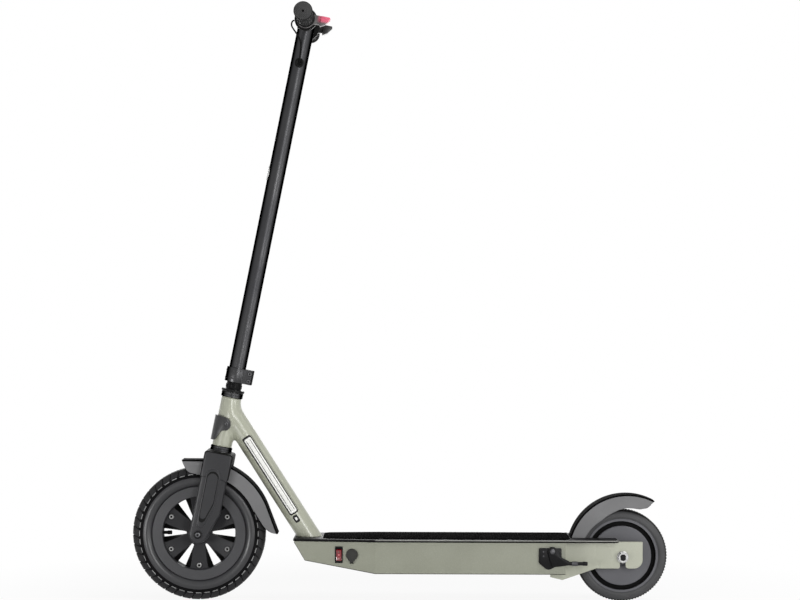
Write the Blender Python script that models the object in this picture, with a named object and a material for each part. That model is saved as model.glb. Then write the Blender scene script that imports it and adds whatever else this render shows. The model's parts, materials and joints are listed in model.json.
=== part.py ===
"""Electric kick scooter with a hub motor, as separate parts in metres, +Z up.

The front wheel is towards -X, the rider's left is -Y and the ground is z = 0.
Pieces that turn with the handlebar are laid out in a steering frame: its z runs
up the steering axis from beside the front axle, and its x runs rearwards.
"""

import math

import bmesh
import bpy
from mathutils import Matrix

# Fits between pieces
GAP = 0.0003
RUNNING_GAP = 0.0006
# Small broken edge of turned and moulded pieces, and bolt ends beyond their nuts
EDGE = 0.001
THREAD_PROUD = 0.002

# Overall layout
WHEELBASE = 0.7966
STEERING_TILT = math.radians(11.2)
AXLE_LEAD = 0.0086
BAR_HEIGHT = 0.9857
BAR_LENGTH = 0.420
DECK_HEIGHT = 0.1195
DECK_WIDTH = 0.164

# Front wheel
FRONT_RADIUS = 0.125
FRONT_TYRE_WIDTH = 0.050
FRONT_SHOULDER = 0.010
TYRE_WALL = 0.004
# Section of the sidewall, in from the tread's radius and from the tyre's full width
FRONT_SIDEWALL = ((0.031, 0.0015), (0.018, 0.0), (0.006, 0.003))
FRONT_CAVITY = 0.020
TUBE_PLAY = 0.0025
RIM_RADIUS = 0.088
RIM_LIP = 0.0025
RIM_TUCK = 0.005
RIM_FLANGE = 0.003
RIM_RING_HEIGHT = 0.019
SPOKE_FACE = 0.010
HUB_RADIUS = 0.019
HUB_CLEARANCE = 0.004
WINDOW_COUNT = 6
WINDOW_INNER = 0.024
WINDOW_TO_RING = 0.0015
WINDOW_FACE_HALF = 0.0185
WINDOW_MIDDLE_HALF = 0.0078
WINDOW_TIP_HALF = 0.0020
# How far a window's cutter runs past the spoke face, as a share of its depth
WINDOW_CUT = 1.2
VALVE_RADIUS = 0.0032
VALVE_REACH = 0.035
FRONT_AXLE_RADIUS = 0.005
FRONT_BEARING_RADIUS = 0.013
FRONT_BEARING_WIDTH = 0.008
AXLE_HEAD_RADIUS = 0.0075
FRONT_NUT_ACROSS = 0.015
FRONT_NUT_HEIGHT = 0.005
AXLE_HEAD_THICKNESS = 0.004

# Rear wheel and hub motor
REAR_RADIUS = 0.0862
REAR_TYRE_WIDTH = 0.045
REAR_SHOULDER = 0.0085
# Section of the sidewall, in from the tread's radius and from the tyre's full width
REAR_SIDEWALL = ((0.011, 0.0), (0.005, 0.0015), (0.0012, 0.0055))
MOTOR_RADIUS = 0.0697
MOTOR_TUCK = 0.0005
MOTOR_DISC_TO_EDGE = 0.0137
MOTOR_DISC_PROUD = 0.0013
MOTOR_RING_HEIGHT = 0.0057
MOTOR_GROOVE_DEPTH = 0.008
MOTOR_WALL = 0.004
MAGNET_TO_EDGE = 0.0117
STATOR_HALF_WIDTH = 0.0094
STATOR_TO_BEARING = 0.0026
COVER_EDGE_WIDTH = 0.0017
REAR_AXLE_RADIUS = 0.006
REAR_AXLE_FLATS = 0.010
REAR_SHOULDER_RADIUS = 0.008
REAR_BEARING_RADIUS = 0.016
REAR_BEARING_WIDTH = 0.008
REAR_NUT_ACROSS = 0.017
REAR_NUT_HEIGHT = 0.0085
REAR_WASHER_RADIUS = 0.011
REAR_WASHER_THICKNESS = 0.0018

# Fork and headset, along the steering axis
FORK_CLEARANCE = 0.004
LEG_THICKNESS = 0.016
LEG_HALF_WIDTH = 0.025
LEG_END_RADIUS = 0.017
LEG_TAPER_START = 0.045
LEG_BOSS_RADIUS = 0.009
CROWN_HEIGHT = 0.051
CROWN_OVER_FENDER = 0.0187
CROWN_HALF_WIDTH = 0.027
CROWN_STEP = 0.002
FORK_EDGE_ROUND = 0.003
CROWN_CORNER = 0.005
RIB_PROUD = 0.0015
RIB_TOP_AHEAD = 0.002
RIB_TOP_OVER_STEP = 0.006
RIB_TOP_RADIUS = 0.0136
# Lower edge of the raised rib in the steering frame, from its front round to its rear
RIB_FOOT = ((-0.0156, 0.020), (-0.0128, 0.0148), (-0.0062, 0.0140), (-0.0010, 0.0180),
            (0.0116, 0.056))
STEERER_RADIUS = 0.0127
STEERER_WALL = 0.0022
STEERER_OVER_CLAMP = 0.0105
HEAD_TUBE_OVER_CROWN = 0.0107
HEAD_TUBE_LENGTH = 0.0938
HEAD_TUBE_RADIUS = 0.0188
HEAD_TUBE_WALL = 0.0015
CUP_FLANGE = 0.0017
CUP_OVER_CROWN = 0.001
UPPER_CUP_HEIGHT = 0.0102
CUP_SKIRT = 0.008
CUP_SKIRT_WALL = 0.0012
CUP_WEB = 0.0012
CUP_RECESS_IN = 0.0009
LOCK_DISC_OVER_CUP = 0.0013
LOCK_DISC_THICKNESS = 0.0047
LOCKNUT_WALL = 0.0023

# Column and clamp
COLUMN_RADIUS = 0.016
COLUMN_CAP = 0.0014
CLAMP_OVER_CUP = 0.0197
CLAMP_HEIGHT = 0.0271
CLAMP_WALL = 0.0032
CLAMP_REACH = 0.0162
CLAMP_SLIT = 0.0025
CLAMP_BOLT_FROM_COLUMN = 0.0098
CLAMP_BOLT_INSET = 0.0064
CLAMP_BOLT_RADIUS = 0.0025
CLAMP_BOLT_HEAD = 0.0040
CLAMP_BOLT_HEAD_DEPTH = 0.0035
BADGE_HEIGHT = 0.027
BADGE_WIDTH = 0.018
BADGE_THICKNESS = 0.001
BADGE_DROP = 0.2927

# Handlebar, grips and thumb controls
BAR_RADIUS = 0.0111
BAR_WALL = 0.002
GRIP_LENGTH = 0.125
GRIP_WALL = 0.0044
GRIP_END_FLANGE = 0.0016
GRIP_FLANGE = 0.005
GRIP_END_WALL = 0.0035
GRIP_VENT_RADIUS = 0.0017
HOUSING_INNER_FACE = 0.057
HOUSING_WIDTH = 0.0125
HOUSING_WALL = 0.0101
THROTTLE_POD = 0.0042
PADDLE_HUB_WALL = 0.0061
PADDLE_WIDTH = 0.0134
PADDLE_PAD_WIDTH = 0.020
PADDLE_PAD_START = 0.0285
PADDLE_REACH = 0.0452
PADDLE_TOP = 0.0098
PADDLE_UNDER = 0.0100
PADDLE_TIP_SLOPE = 0.0072
PADDLE_TIP_DEPTH = 0.0142
PADDLE_EDGE_DEPTH = 0.0042
PADDLE_ARM_START = 0.004
POD_ANGLE = math.radians(75)
HOUSING_EDGE = 0.0015

# Brake lead and grommets
LEAD_RADIUS = 0.0015
GROMMET_DROP = 0.0779
GROMMET_BACK = 0.0012
GROMMET_RADIUS = 0.009
GROMMET_PROUD = 0.0016
GROMMET_NECK = 0.0055
GROMMET_BORE = 0.0020
# Way of the lead in the steering frame, measured from the middle of the bar
LEAD_ROUTE = (
    (-0.0210, -0.0635, -0.0062),
    (-0.0236, -0.0625, -0.0078),
    (-0.0251, -0.0575, -0.0118),
    (-0.0240, -0.0500, -0.0165),
    (-0.0199, -0.0420, -0.0208),
    (-0.0148, -0.0340, -0.0255),
    (-0.0094, -0.0265, -0.0310),
    (-0.0044, -0.0210, -0.0385),
    (-0.0016, -0.0186, -0.0480),
    (-0.0004, -0.0184, -0.0580),
    (0.0006, -0.0202, -0.0670),
    (0.0011, -0.0216, -0.0735),
    (0.0012, -0.0205, -0.0772),
    (0.0012, -0.0180, -0.0779),
    (0.0012, -0.0140, -0.0779),
)
LEAD_STEPS = 2

# Front fender, about the front axle
FRONT_FENDER_CLEARANCE = 0.0115
FENDER_WALL = 0.0025
FRONT_FENDER_SIDE = 0.0025
FRONT_SKIRT_LAP = 0.0125
VISOR_REACH = 0.0322
TAIL_ANGLE = math.radians(19.0)
TAIL_FLARE = math.radians(21.1)
TAIL_LENGTH = 0.0485
SKIRT_START_ANGLE = math.radians(89.0)
SKIRT_END_ANGLE = math.radians(27.0)
# Edge of the visor's side, back and down from its tip
VISOR_EDGE = ((0, 0), (0.0010, 0.0026), (0.0085, 0.0178), (0.0160, 0.0238))
# Edge of the tail's side, forward and up from its tip
TAIL_EDGE = ((0.0270, 0.0163), (0.0190, 0.0064), (0.0092, 0.0018), (0.0030, 0.0008))

# Frame tubes
DOWN_TUBE_RADIUS = 0.0205
DOWN_TUBE_WALL = 0.002
DOWN_TUBE_OVER_FOOT = 0.0696
DOWN_TUBE_TO_TIP = 0.0077
DOWN_TUBE_CLEARANCE = 0.0121
DOWN_TUBE_BELOW_DECK = 0.019
COVER_THICKNESS = 0.0045
# Edge of the wire cover from the side: how far back, as a share of the head tube's radius,
# and how far over the head tube's foot
COVER_EDGE = ((-0.729, 0.0568), (0.037, 0.0554), (0.330, 0.0528), (0.505, 0.0458),
              (0.505, 0.0378), (0.245, 0.0316), (-0.090, 0.0310), (-0.346, 0.0283),
              (-0.606, 0.0185), (-0.798, 0.0098))
COVER_TOP = 0.0578
COVER_TIP = 0.0088

# Deck and tray
DECK_THICKNESS = 0.0045
DECK_REAR_FROM_AXLE = 0.010
NOSE_KINK_FROM_TIP = 0.154
NOSE_TIP_WIDTH = 0.124
NOSE_CORNER = 0.006
WHEEL_SLOT_SIDE = 0.0028
WHEEL_SLOT_CLEARANCE = 0.006
TRAY_UNDER_LIP = 0.002
TRAY_UNDER_TIP_LIP = 0.00175
TRAY_TIP_INSET = 0.0010
TRAY_DEPTH = 0.0638
TRAY_STEP_DROP = 0.0407
TRAY_STEP_BACK = 0.0220
TRAY_REAR_FROM_TYRE = 0.0225
TRAY_WALL = 0.0025
MAT_MARGIN = 0.012
MAT_THICKNESS = 0.0017
MAT_TO_TUBE = 0.0029
MAT_TO_FENDER = 0.0015
MAT_CORNER = 0.010

# Rear dropouts
DROPOUT_OUTER = 0.053
DROPOUT_THICKNESS = 0.003
DROPOUT_FLANGE_WIDTH = 0.012
DROPOUT_REAR_FROM_AXLE = 0.0372
DROPOUT_BELOW_AXLE = 0.0214
DROPOUT_CORNER = 0.016
DROPOUT_SLOT = 0.0106
DROPOUT_HOOK_DROP = 0.0129
DROPOUT_HOOK_REACH = 0.0275
DROPOUT_HOOK_RISE = 0.0055
DROPOUT_POINT_REACH = 0.0046
DROPOUT_LEAD_IN = 0.0035
DROPOUT_SLOPE_END = 0.050

# Rear fender, about the rear axle
REAR_FENDER_CLEARANCE = 0.0237
REAR_FENDER_SHIFT_X = 0.0111
REAR_FENDER_SHIFT_Z = 0.0029
REAR_FENDER_SIDE = 0.0035
REAR_SKIRT_LAP = 0.0094
REAR_TAIL_ANGLE = math.radians(63)
# Lower edge of the side from the tail's tip forward: degrees round the axle, and over the tyre
REAR_SKIRT_EDGE = ((59.9, 0.0276), (62.1, 0.0162), (68.9, 0.0083), (76.9, 0.0062),
                   (84.5, 0.0048), (93.6, 0.0008), (102.5, -0.0033), (112.2, -0.0067))
REAR_SKIRT_BEND = math.radians(121)
REAR_HOLLOW_PAST = math.radians(8)
FENDER_FOOT_LENGTH = 0.008

# Battery, controller and electrical fittings
BATTERY_FROM_KINK = 0.0655
BATTERY_WIDTH = 0.070
BATTERY_HEIGHT = 0.048
BATTERY_TO_CONTROLLER = 0.017
BATTERY_SPACING = 0.004
CONTROLLER_SIZE = (0.066, 0.090, 0.035)
CONTROLLER_TO_WALL = 0.0085
SWITCH_FROM_TIP = 0.0859
SWITCH_BELOW_DECK = 0.0287
SWITCH_BEZEL = (0.0143, 0.031)
SWITCH_BODY = (0.0124, 0.0282)
SWITCH_WELL = (0.0104, 0.0232)
SWITCH_DEPTH = 0.014
SWITCH_PROUD = 0.0016
SWITCH_FLOOR = 0.002
ROCKER_DEPTH = 0.0055
ROCKER_PROUD = 0.0022
ROCKER_DIP = 0.0006
ROCKER_SKIRT = 0.0040
ROCKER_KEEL = 0.0015
ROCKER_KEEL_HALF = 0.004
ROCKER_TILT = math.radians(9.0)
CHARGE_FROM_TIP = 0.1103
CHARGE_BELOW_DECK = 0.0283
CHARGE_FLANGE_RADIUS = 0.0112
CHARGE_FLANGE = 0.0013
CHARGE_BODY_RADIUS = 0.0085
CHARGE_BORE = 0.0060
CHARGE_DEPTH = 0.016
CHARGE_FLOOR = 0.002
CAP_RADIUS = 0.0107
CAP_THICKNESS = 0.0027
CAP_PLUG = 0.0028
CAP_HINGE_DROP = 0.0152
CAP_TAB_HALF = 0.0030
CAP_EDGE = 0.0006
CAP_STRAP_INSET = 0.0002
GLAND_Y = 0.060
GLAND_BELOW_DECK = 0.0415
GLAND_RADIUS = 0.006
GLAND_NECK = 0.0042
GLAND_BORE = 0.0022
GLAND_TAIL = 0.004
GLAND_COLLAR = 0.004
GLAND_LENGTH = 0.009

# Kickstand
KICKSTAND_FROM_REAR = 0.0249
KICKSTAND_BELOW_DECK = 0.0199
BRACKET_THICKNESS = 0.003
BRACKET_FRONT = 0.0251
BRACKET_REAR = 0.0171
BRACKET_UP = 0.0058
BRACKET_SIDE_DROP = 0.0221
BRACKET_POINT_DROP = 0.0342
BRACKET_POINT = (-0.0100, -0.0040)
LEG_HUB_RADIUS = 0.0085
STAND_REACH = 0.0655
STAND_DROP = 0.0226
STAND_ROD_RADIUS = 0.0034
STAND_ROD_START = 0.020
# Edge of the leg's flat blade below its hub, from the pivot
STAND_BLADE = ((-0.0040, -0.0180), (0.0008, -0.0290), (0.0205, -0.0268), (0.0300, -0.0256),
               (0.0310, -0.0240), (0.0310, -0.0180), (0.0170, -0.0112))
STAND_COLLAR = (0.036, 0.047)
STAND_COLLAR_RADIUS = 0.0046
STAND_THICKNESS = 0.0070
STAND_BOLT_RADIUS = 0.0030
STAND_BOLT_HEAD = 0.0050
STAND_HEAD_HEIGHT = 0.0025
STAND_BOLT_TAIL = 0.003

# Steps round a full turn
FINE = 32
WHEEL_STEPS = 28
ROUND = 20
SMALL = 14

# Widths and radii that follow from the sizes above
RIM_FACE = FRONT_TYRE_WIDTH / 2 - RIM_TUCK
FRONT_TREAD_WIDTH = FRONT_TYRE_WIDTH - 2 * FRONT_SHOULDER
REAR_TREAD_WIDTH = REAR_TYRE_WIDTH - 2 * REAR_SHOULDER
MOTOR_WIDTH = REAR_TYRE_WIDTH - 2 * MOTOR_TUCK
RIM_BED_RADIUS = RIM_RADIUS - RIM_LIP
RIM_RING_INNER = RIM_RADIUS - RIM_RING_HEIGHT
WINDOW_OUTER = RIM_RING_INNER - WINDOW_TO_RING
VALVE_TIP = RIM_RADIUS - VALVE_REACH
MOTOR_DISC_RADIUS = MOTOR_RADIUS - MOTOR_DISC_TO_EDGE
MOTOR_GROOVE_OUTER = MOTOR_RADIUS - MOTOR_RING_HEIGHT
MAGNET_RADIUS = MOTOR_RADIUS - MAGNET_TO_EDGE
FRONT_FENDER_RADIUS = FRONT_RADIUS + FRONT_FENDER_CLEARANCE + FENDER_WALL
FRONT_FENDER_WIDTH = FRONT_TYRE_WIDTH + 2 * (FRONT_FENDER_SIDE + FENDER_WALL)
FRONT_SKIRT_RADIUS = FRONT_RADIUS - FRONT_SKIRT_LAP
REAR_FENDER_RADIUS = REAR_RADIUS + REAR_FENDER_CLEARANCE + FENDER_WALL
REAR_FENDER_WIDTH = REAR_TYRE_WIDTH + 2 * (REAR_FENDER_SIDE + FENDER_WALL)
REAR_SKIRT_RADIUS = REAR_RADIUS - REAR_SKIRT_LAP
WHEEL_SLOT_WIDTH = REAR_TYRE_WIDTH + 2 * WHEEL_SLOT_SIDE
LEG_INNER = FRONT_FENDER_WIDTH / 2 + FORK_CLEARANCE
LEG_OUTER = LEG_INNER + LEG_THICKNESS
CUP_RADIUS = HEAD_TUBE_RADIUS + CUP_FLANGE
CUP_RECESS_RADIUS = HEAD_TUBE_RADIUS - CUP_RECESS_IN
LOCK_DISC_RADIUS = CUP_RADIUS + LOCK_DISC_OVER_CUP
LOCKNUT_RADIUS = STEERER_RADIUS + GAP + LOCKNUT_WALL
COLUMN_WALL = COLUMN_RADIUS - STEERER_RADIUS - GAP
CLAMP_RADIUS = COLUMN_RADIUS + GAP + CLAMP_WALL
CLAMP_REAR = COLUMN_RADIUS + CLAMP_REACH
CLAMP_BOLT_BACK = COLUMN_RADIUS + CLAMP_BOLT_FROM_COLUMN
GRIP_RADIUS = BAR_RADIUS + GAP + GRIP_WALL
GRIP_END_RADIUS = GRIP_RADIUS + GRIP_END_FLANGE
HOUSING_RADIUS = BAR_RADIUS + GAP + HOUSING_WALL
PADDLE_HUB_RADIUS = BAR_RADIUS + GAP + PADDLE_HUB_WALL
TRAY_WIDTH = DECK_WIDTH - 2 * TRAY_UNDER_LIP
TRAY_TIP_WIDTH = NOSE_TIP_WIDTH - 2 * TRAY_UNDER_TIP_LIP

# Places along the steering axis that follow from them
CROWN_UNDER = FRONT_FENDER_RADIUS + GAP
CROWN_TOP = CROWN_UNDER + CROWN_OVER_FENDER
CROWN_LOW = CROWN_TOP - CROWN_HEIGHT
RIB_TOP = (-RIB_TOP_AHEAD, CROWN_LOW + RIB_TOP_OVER_STEP)
LOWER_CUP_LOW = CROWN_TOP + CUP_OVER_CROWN
HEAD_TUBE_LOW = CROWN_TOP + HEAD_TUBE_OVER_CROWN
HEAD_TUBE_HIGH = HEAD_TUBE_LOW + HEAD_TUBE_LENGTH
UPPER_CUP_HIGH = HEAD_TUBE_HIGH + UPPER_CUP_HEIGHT
CLAMP_LOW = UPPER_CUP_HIGH + CLAMP_OVER_CUP
CLAMP_HIGH = CLAMP_LOW + CLAMP_HEIGHT
STEERER_TOP = CLAMP_HIGH + STEERER_OVER_CLAMP
DOWN_TUBE_MEETS_HEAD = HEAD_TUBE_LOW + DOWN_TUBE_OVER_FOOT
COLUMN_TOP = BAR_HEIGHT + BAR_RADIUS + COLUMN_CAP
BADGE_PLACE = BAR_HEIGHT - BADGE_DROP

# Places of the axles, deck and tray, with the origin midway along on the ground
OVERALL_LENGTH = FRONT_RADIUS + WHEELBASE + REAR_RADIUS
FRONT_AXLE_X = FRONT_RADIUS - OVERALL_LENGTH / 2
REAR_AXLE_X = OVERALL_LENGTH / 2 - REAR_RADIUS
HEAD_X = FRONT_AXLE_X + AXLE_LEAD * math.cos(STEERING_TILT)
HEAD_Z = FRONT_RADIUS - AXLE_LEAD * math.sin(STEERING_TILT)
TUBE_TOP_X = HEAD_X + DOWN_TUBE_MEETS_HEAD * math.sin(STEERING_TILT)
TUBE_TOP_Z = HEAD_Z + DOWN_TUBE_MEETS_HEAD * math.cos(STEERING_TILT)
# The down tube leans so far that it clears the front fender
TUBE_TO_AXLE = FRONT_FENDER_RADIUS + DOWN_TUBE_CLEARANCE + DOWN_TUBE_RADIUS
TUBE_TOP_TO_AXLE = math.hypot(TUBE_TOP_X - FRONT_AXLE_X, TUBE_TOP_Z - FRONT_RADIUS)
LEAN = (math.asin(TUBE_TO_AXLE / TUBE_TOP_TO_AXLE)
        - math.atan2(TUBE_TOP_X - FRONT_AXLE_X, TUBE_TOP_Z - FRONT_RADIUS))
TUBE_FOOT_X = TUBE_TOP_X + (TUBE_TOP_Z - DECK_HEIGHT) * math.tan(LEAN)
DECK_UNDER = DECK_HEIGHT - DECK_THICKNESS
DECK_TIP_X = TUBE_FOOT_X - DOWN_TUBE_RADIUS - DOWN_TUBE_TO_TIP
DECK_REAR_X = REAR_AXLE_X - DECK_REAR_FROM_AXLE
NOSE_KINK_X = DECK_TIP_X + NOSE_KINK_FROM_TIP
TRAY_TOP = DECK_UNDER - GAP
TRAY_LOW = DECK_HEIGHT - TRAY_DEPTH
TRAY_TIP_X = DECK_TIP_X + TRAY_TIP_INSET
TRAY_REAR_X = REAR_AXLE_X - REAR_RADIUS - TRAY_REAR_FROM_TYRE


def arc(centre_x, centre_z, radius, start, end, steps):
    """Return points along an arc, with its angles in degrees."""
    points = []
    for i in range(steps + 1):
        angle = math.radians(start + (end - start) * i / steps)
        points.append((centre_x + radius * math.cos(angle),
                       centre_z + radius * math.sin(angle)))
    return points


def inset(outline, amount):
    """Return a closed outline, given anticlockwise, drawn in by an amount all round."""
    lines = []
    for (x0, z0), (x1, z1) in zip(outline, outline[1:] + outline[:1]):
        length = math.hypot(x1 - x0, z1 - z0)
        across = ((z0 - z1) / length, (x1 - x0) / length)
        lines.append((across, across[0] * x0 + across[1] * z0 + amount))
    points = []
    for ((a, b), c), ((d, e), f) in zip(lines[-1:] + lines[:-1], lines):
        area = a * e - b * d
        points.append(((c * e - b * f) / area, (a * f - c * d) / area))
    return points


def mirrored(points):
    """Return a profile given for one side, closed by its mirror across height 0."""
    return points + [(radius, -height) for radius, height in reversed(points)]


def paint(name, red, green, blue, roughness, metallic=0.0):
    """Return a plain material."""
    finish = bpy.data.materials.new(name)
    finish.use_nodes = True
    shader = finish.node_tree.nodes["Principled BSDF"]
    shader.inputs["Base Color"].default_value = (red, green, blue, 1)
    shader.inputs["Roughness"].default_value = roughness
    shader.inputs["Metallic"].default_value = metallic
    return finish


def frame(name, place, turn=(0, 0, 0), parent=None):
    """Return an empty that pieces are laid out in."""
    empty = bpy.data.objects.new(name, None)
    empty.location = place
    empty.rotation_euler = turn
    empty.parent = parent
    bpy.context.collection.objects.link(empty)
    return empty


def place(name, mesh, parent=None, finish=None, at=(0, 0, 0), turn=(0, 0, 0)):
    """Return a new object; one without a finish is a hidden guide or cutter."""
    piece = bpy.data.objects.new(name, mesh)
    piece.parent = parent
    piece.location = at
    piece.rotation_euler = turn
    bpy.context.collection.objects.link(piece)
    if finish:
        if not mesh.materials:
            mesh.materials.append(finish)
    else:
        piece.hide_render = True
        piece.display_type = "WIRE"
    return piece


def closed_mesh(mesh_edit, smooth):
    """Turn an edit mesh into a mesh with its faces pointing out."""
    bmesh.ops.recalc_face_normals(mesh_edit, faces=mesh_edit.faces)
    mesh = bpy.data.meshes.new("shape")
    mesh_edit.to_mesh(mesh)
    mesh_edit.free()
    if smooth:
        mesh.shade_smooth()
        mesh.set_sharp_from_angle(angle=math.radians(35))
    return mesh


def turned(profile, steps=ROUND, axis="Y", flat_down=False):
    """Return a mesh turned from a closed profile of (radius, height) points.

    With flat_down, a facet and not a corner faces down, and the radius is
    measured to the facets.
    """
    shape = bmesh.new()
    shift = 0.5 if flat_down else 0.0
    grow = 1 / math.cos(math.pi / steps) if flat_down else 1.0
    rings = []
    for radius, height in profile:
        if radius == 0:
            rings.append([shape.verts.new((0, 0, height))] * steps)
            continue
        ring = []
        for i in range(steps):
            angle = 2 * math.pi * (i + shift) / steps
            ring.append(shape.verts.new((radius * grow * math.cos(angle),
                                         radius * grow * math.sin(angle), height)))
        rings.append(ring)
    for low, high in zip(rings, rings[1:] + rings[:1]):
        for i in range(steps):
            j = (i + 1) % steps
            corners = list(dict.fromkeys((low[i], low[j], high[j], high[i])))
            if len(corners) > 2:
                shape.faces.new(corners)
    if axis == "Y":
        shape.transform(Matrix.Rotation(-math.pi / 2, 4, "X"))
    if axis == "X":
        shape.transform(Matrix.Rotation(math.pi / 2, 4, "Y"))
    return closed_mesh(shape, True)


def rod(radius, low, high, steps=SMALL, axis="Y"):
    """Return a solid cylinder."""
    return turned([(0, low), (radius, low), (radius, high), (0, high)], steps, axis)


def pipe(outer, inner, low, high, steps=ROUND, axis="Z"):
    """Return a tube that is open at both ends."""
    return turned([(inner, low), (outer, low), (outer, high), (inner, high)], steps, axis)


def loft(lower, upper, low, high, axis="Y"):
    """Return a solid between two outlines with as many points, along y, or along z or x."""
    shape = bmesh.new()
    rings = []
    for outline, height in ((lower, low), (upper, high)):
        ring = []
        for u, v in outline:
            if axis == "Y":
                spot = (u, height, v)
            elif axis == "Z":
                spot = (u, v, height)
            else:
                spot = (height, u, v)
            ring.append(shape.verts.new(spot))
        rings.append(ring)
    count = len(lower)
    for i in range(count):
        j = (i + 1) % count
        shape.faces.new((rings[0][i], rings[0][j], rings[1][j], rings[1][i]))
    shape.faces.new(rings[0])
    shape.faces.new(rings[1])
    return closed_mesh(shape, False)


def prism(outline, low, high, axis="Y"):
    """Return an outline extruded along an axis."""
    return loft(outline, outline, low, high, axis)


def box(low, high):
    """Return a box between two corners."""
    outline = [(low[0], low[2]), (high[0], low[2]), (high[0], high[2]), (low[0], high[2])]
    return prism(outline, low[1], high[1])


def apply_tool(piece, tool, action):
    """Cut, join or intersect a piece with a guide object."""
    step = piece.modifiers.new(action.title(), "BOOLEAN")
    step.operation = action
    step.object = tool


def cut(piece, *tools):
    """Cut guides out of a piece."""
    for tool in tools:
        apply_tool(piece, tool, "DIFFERENCE")


def join(piece, *tools):
    """Join guides to a piece as one solid."""
    for tool in tools:
        apply_tool(piece, tool, "UNION")


def soften(piece, width, steps=2, angle=40):
    """Round a piece's edges over a small width."""
    step = piece.modifiers.new("Bevel", "BEVEL")
    step.width = width
    step.segments = steps
    step.limit_method = "ANGLE"
    step.angle_limit = math.radians(angle)


def hex_nut(name, across, low, high, bore, parent, finish, turn=(0, 0, 0)):
    """Place a six-sided nut along y with a round bore."""
    corner = across / 2 / math.cos(math.pi / 6)
    nut = place(name, rod(corner, low, high, 6), parent, finish, turn=turn)
    hole = rod(bore, low - across, high + across)
    cut(nut, place(name + "_bore", hole, parent, turn=turn))
    return nut


def deck_half_width(x, tip, full):
    """Return half the width of the deck or tray at x, which tapers along the nose."""
    share = (x - DECK_TIP_X) / NOSE_KINK_FROM_TIP
    return tip + (full - tip) * min(1.0, max(0.0, share))


def nose_turn():
    """Return how far the tray's nose walls turn in from straight ahead."""
    return math.atan2(TRAY_WIDTH / 2 - TRAY_TIP_WIDTH / 2, NOSE_KINK_FROM_TIP)


def rear_fender_front():
    """Return how far behind the rear axle the fender meets the deck."""
    rise = DECK_HEIGHT + GAP - REAR_RADIUS - REAR_FENDER_SHIFT_Z
    return REAR_FENDER_SHIFT_X - math.sqrt(REAR_FENDER_RADIUS ** 2 - rise ** 2)


def build_deck(finish):
    """Build the deck plate, the tray under it and the grip mat."""
    tip, full = NOSE_TIP_WIDTH / 2, DECK_WIDTH / 2
    slot = WHEEL_SLOT_WIDTH / 2
    reach = REAR_RADIUS + WHEEL_SLOT_CLEARANCE
    slot_front = REAR_AXLE_X - math.sqrt(reach ** 2 - (DECK_HEIGHT - REAR_RADIUS) ** 2)
    half = [(slot_front, slot), (DECK_REAR_X, slot), (DECK_REAR_X, full - NOSE_CORNER),
            (DECK_REAR_X - NOSE_CORNER, full), (NOSE_KINK_X, full),
            (DECK_TIP_X + NOSE_CORNER, deck_half_width(DECK_TIP_X + NOSE_CORNER, tip, full)),
            (DECK_TIP_X, tip - NOSE_CORNER)]
    outline = half + [(x, -y) for x, y in reversed(half)]
    plate = place("deck_plate", prism(outline, DECK_UNDER, DECK_HEIGHT, "Z"),
                  finish=finish["frame"])
    hole = rod(DOWN_TUBE_RADIUS + GAP, -TRAY_DEPTH, TRAY_DEPTH, ROUND, "Z")
    cut(plate, place("deck_tube_hole", hole, DOWN_TUBE_FOOT))

    side = [(TRAY_TIP_X, TRAY_TOP), (DECK_TIP_X + TRAY_STEP_BACK, DECK_HEIGHT - TRAY_STEP_DROP),
            (NOSE_KINK_X, TRAY_LOW), (TRAY_REAR_X, TRAY_LOW), (TRAY_REAR_X, TRAY_TOP)]
    wall = TRAY_WALL
    hollow = inset(side, wall)
    slope = (side[1][0] - side[0][0]) / (side[0][1] - side[1][1])
    hollow[0] = (hollow[0][0] - 2 * wall * slope, hollow[0][1] + 2 * wall)
    hollow[4] = (hollow[4][0], hollow[4][1] + 2 * wall)
    tray = place("deck_tray", tapered_block(side, 0.0), finish=finish["frame"])
    cut(tray, place("tray_hollow", tapered_block(hollow, wall)))

    start = TUBE_FOOT_X + DOWN_TUBE_RADIUS / math.cos(LEAN) + MAT_TO_TUBE
    end = REAR_AXLE_X + rear_fender_front() - MAT_TO_FENDER
    corner = MAT_CORNER
    wide = full - MAT_MARGIN
    near_tip = deck_half_width(start + corner, tip, full) - MAT_MARGIN
    half = [(end, wide - corner), (end - corner, wide), (NOSE_KINK_X, wide),
            (start + corner, near_tip), (start, near_tip - corner)]
    outline = half + [(x, -y) for x, y in reversed(half)]
    low = DECK_HEIGHT + GAP
    place("grip_mat", prism(outline, low, low + MAT_THICKNESS, "Z"), finish=finish["rubber"])
    return tray


def tapered_block(outline, wall):
    """Return the outline as a block across the tray, drawn in along the nose."""
    outline = outline + [(NOSE_KINK_X, max(z for _, z in outline))]
    shape = bmesh.new()
    sides = []
    for sign in (-1, 1):
        ring = []
        for x, z in outline:
            half = deck_half_width(x, TRAY_TIP_WIDTH / 2, TRAY_WIDTH / 2) - wall
            ring.append(shape.verts.new((x, sign * half, z)))
        tip, step, kink_low, rear_low, rear_top, kink_top = ring
        shape.faces.new((tip, step, kink_low, kink_top))
        shape.faces.new((kink_low, rear_low, rear_top, kink_top))
        sides.append(ring)
    for i in range(len(outline)):
        j = (i + 1) % len(outline)
        shape.faces.new((sides[0][i], sides[0][j], sides[1][j], sides[1][i]))
    return closed_mesh(shape, False)


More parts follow.
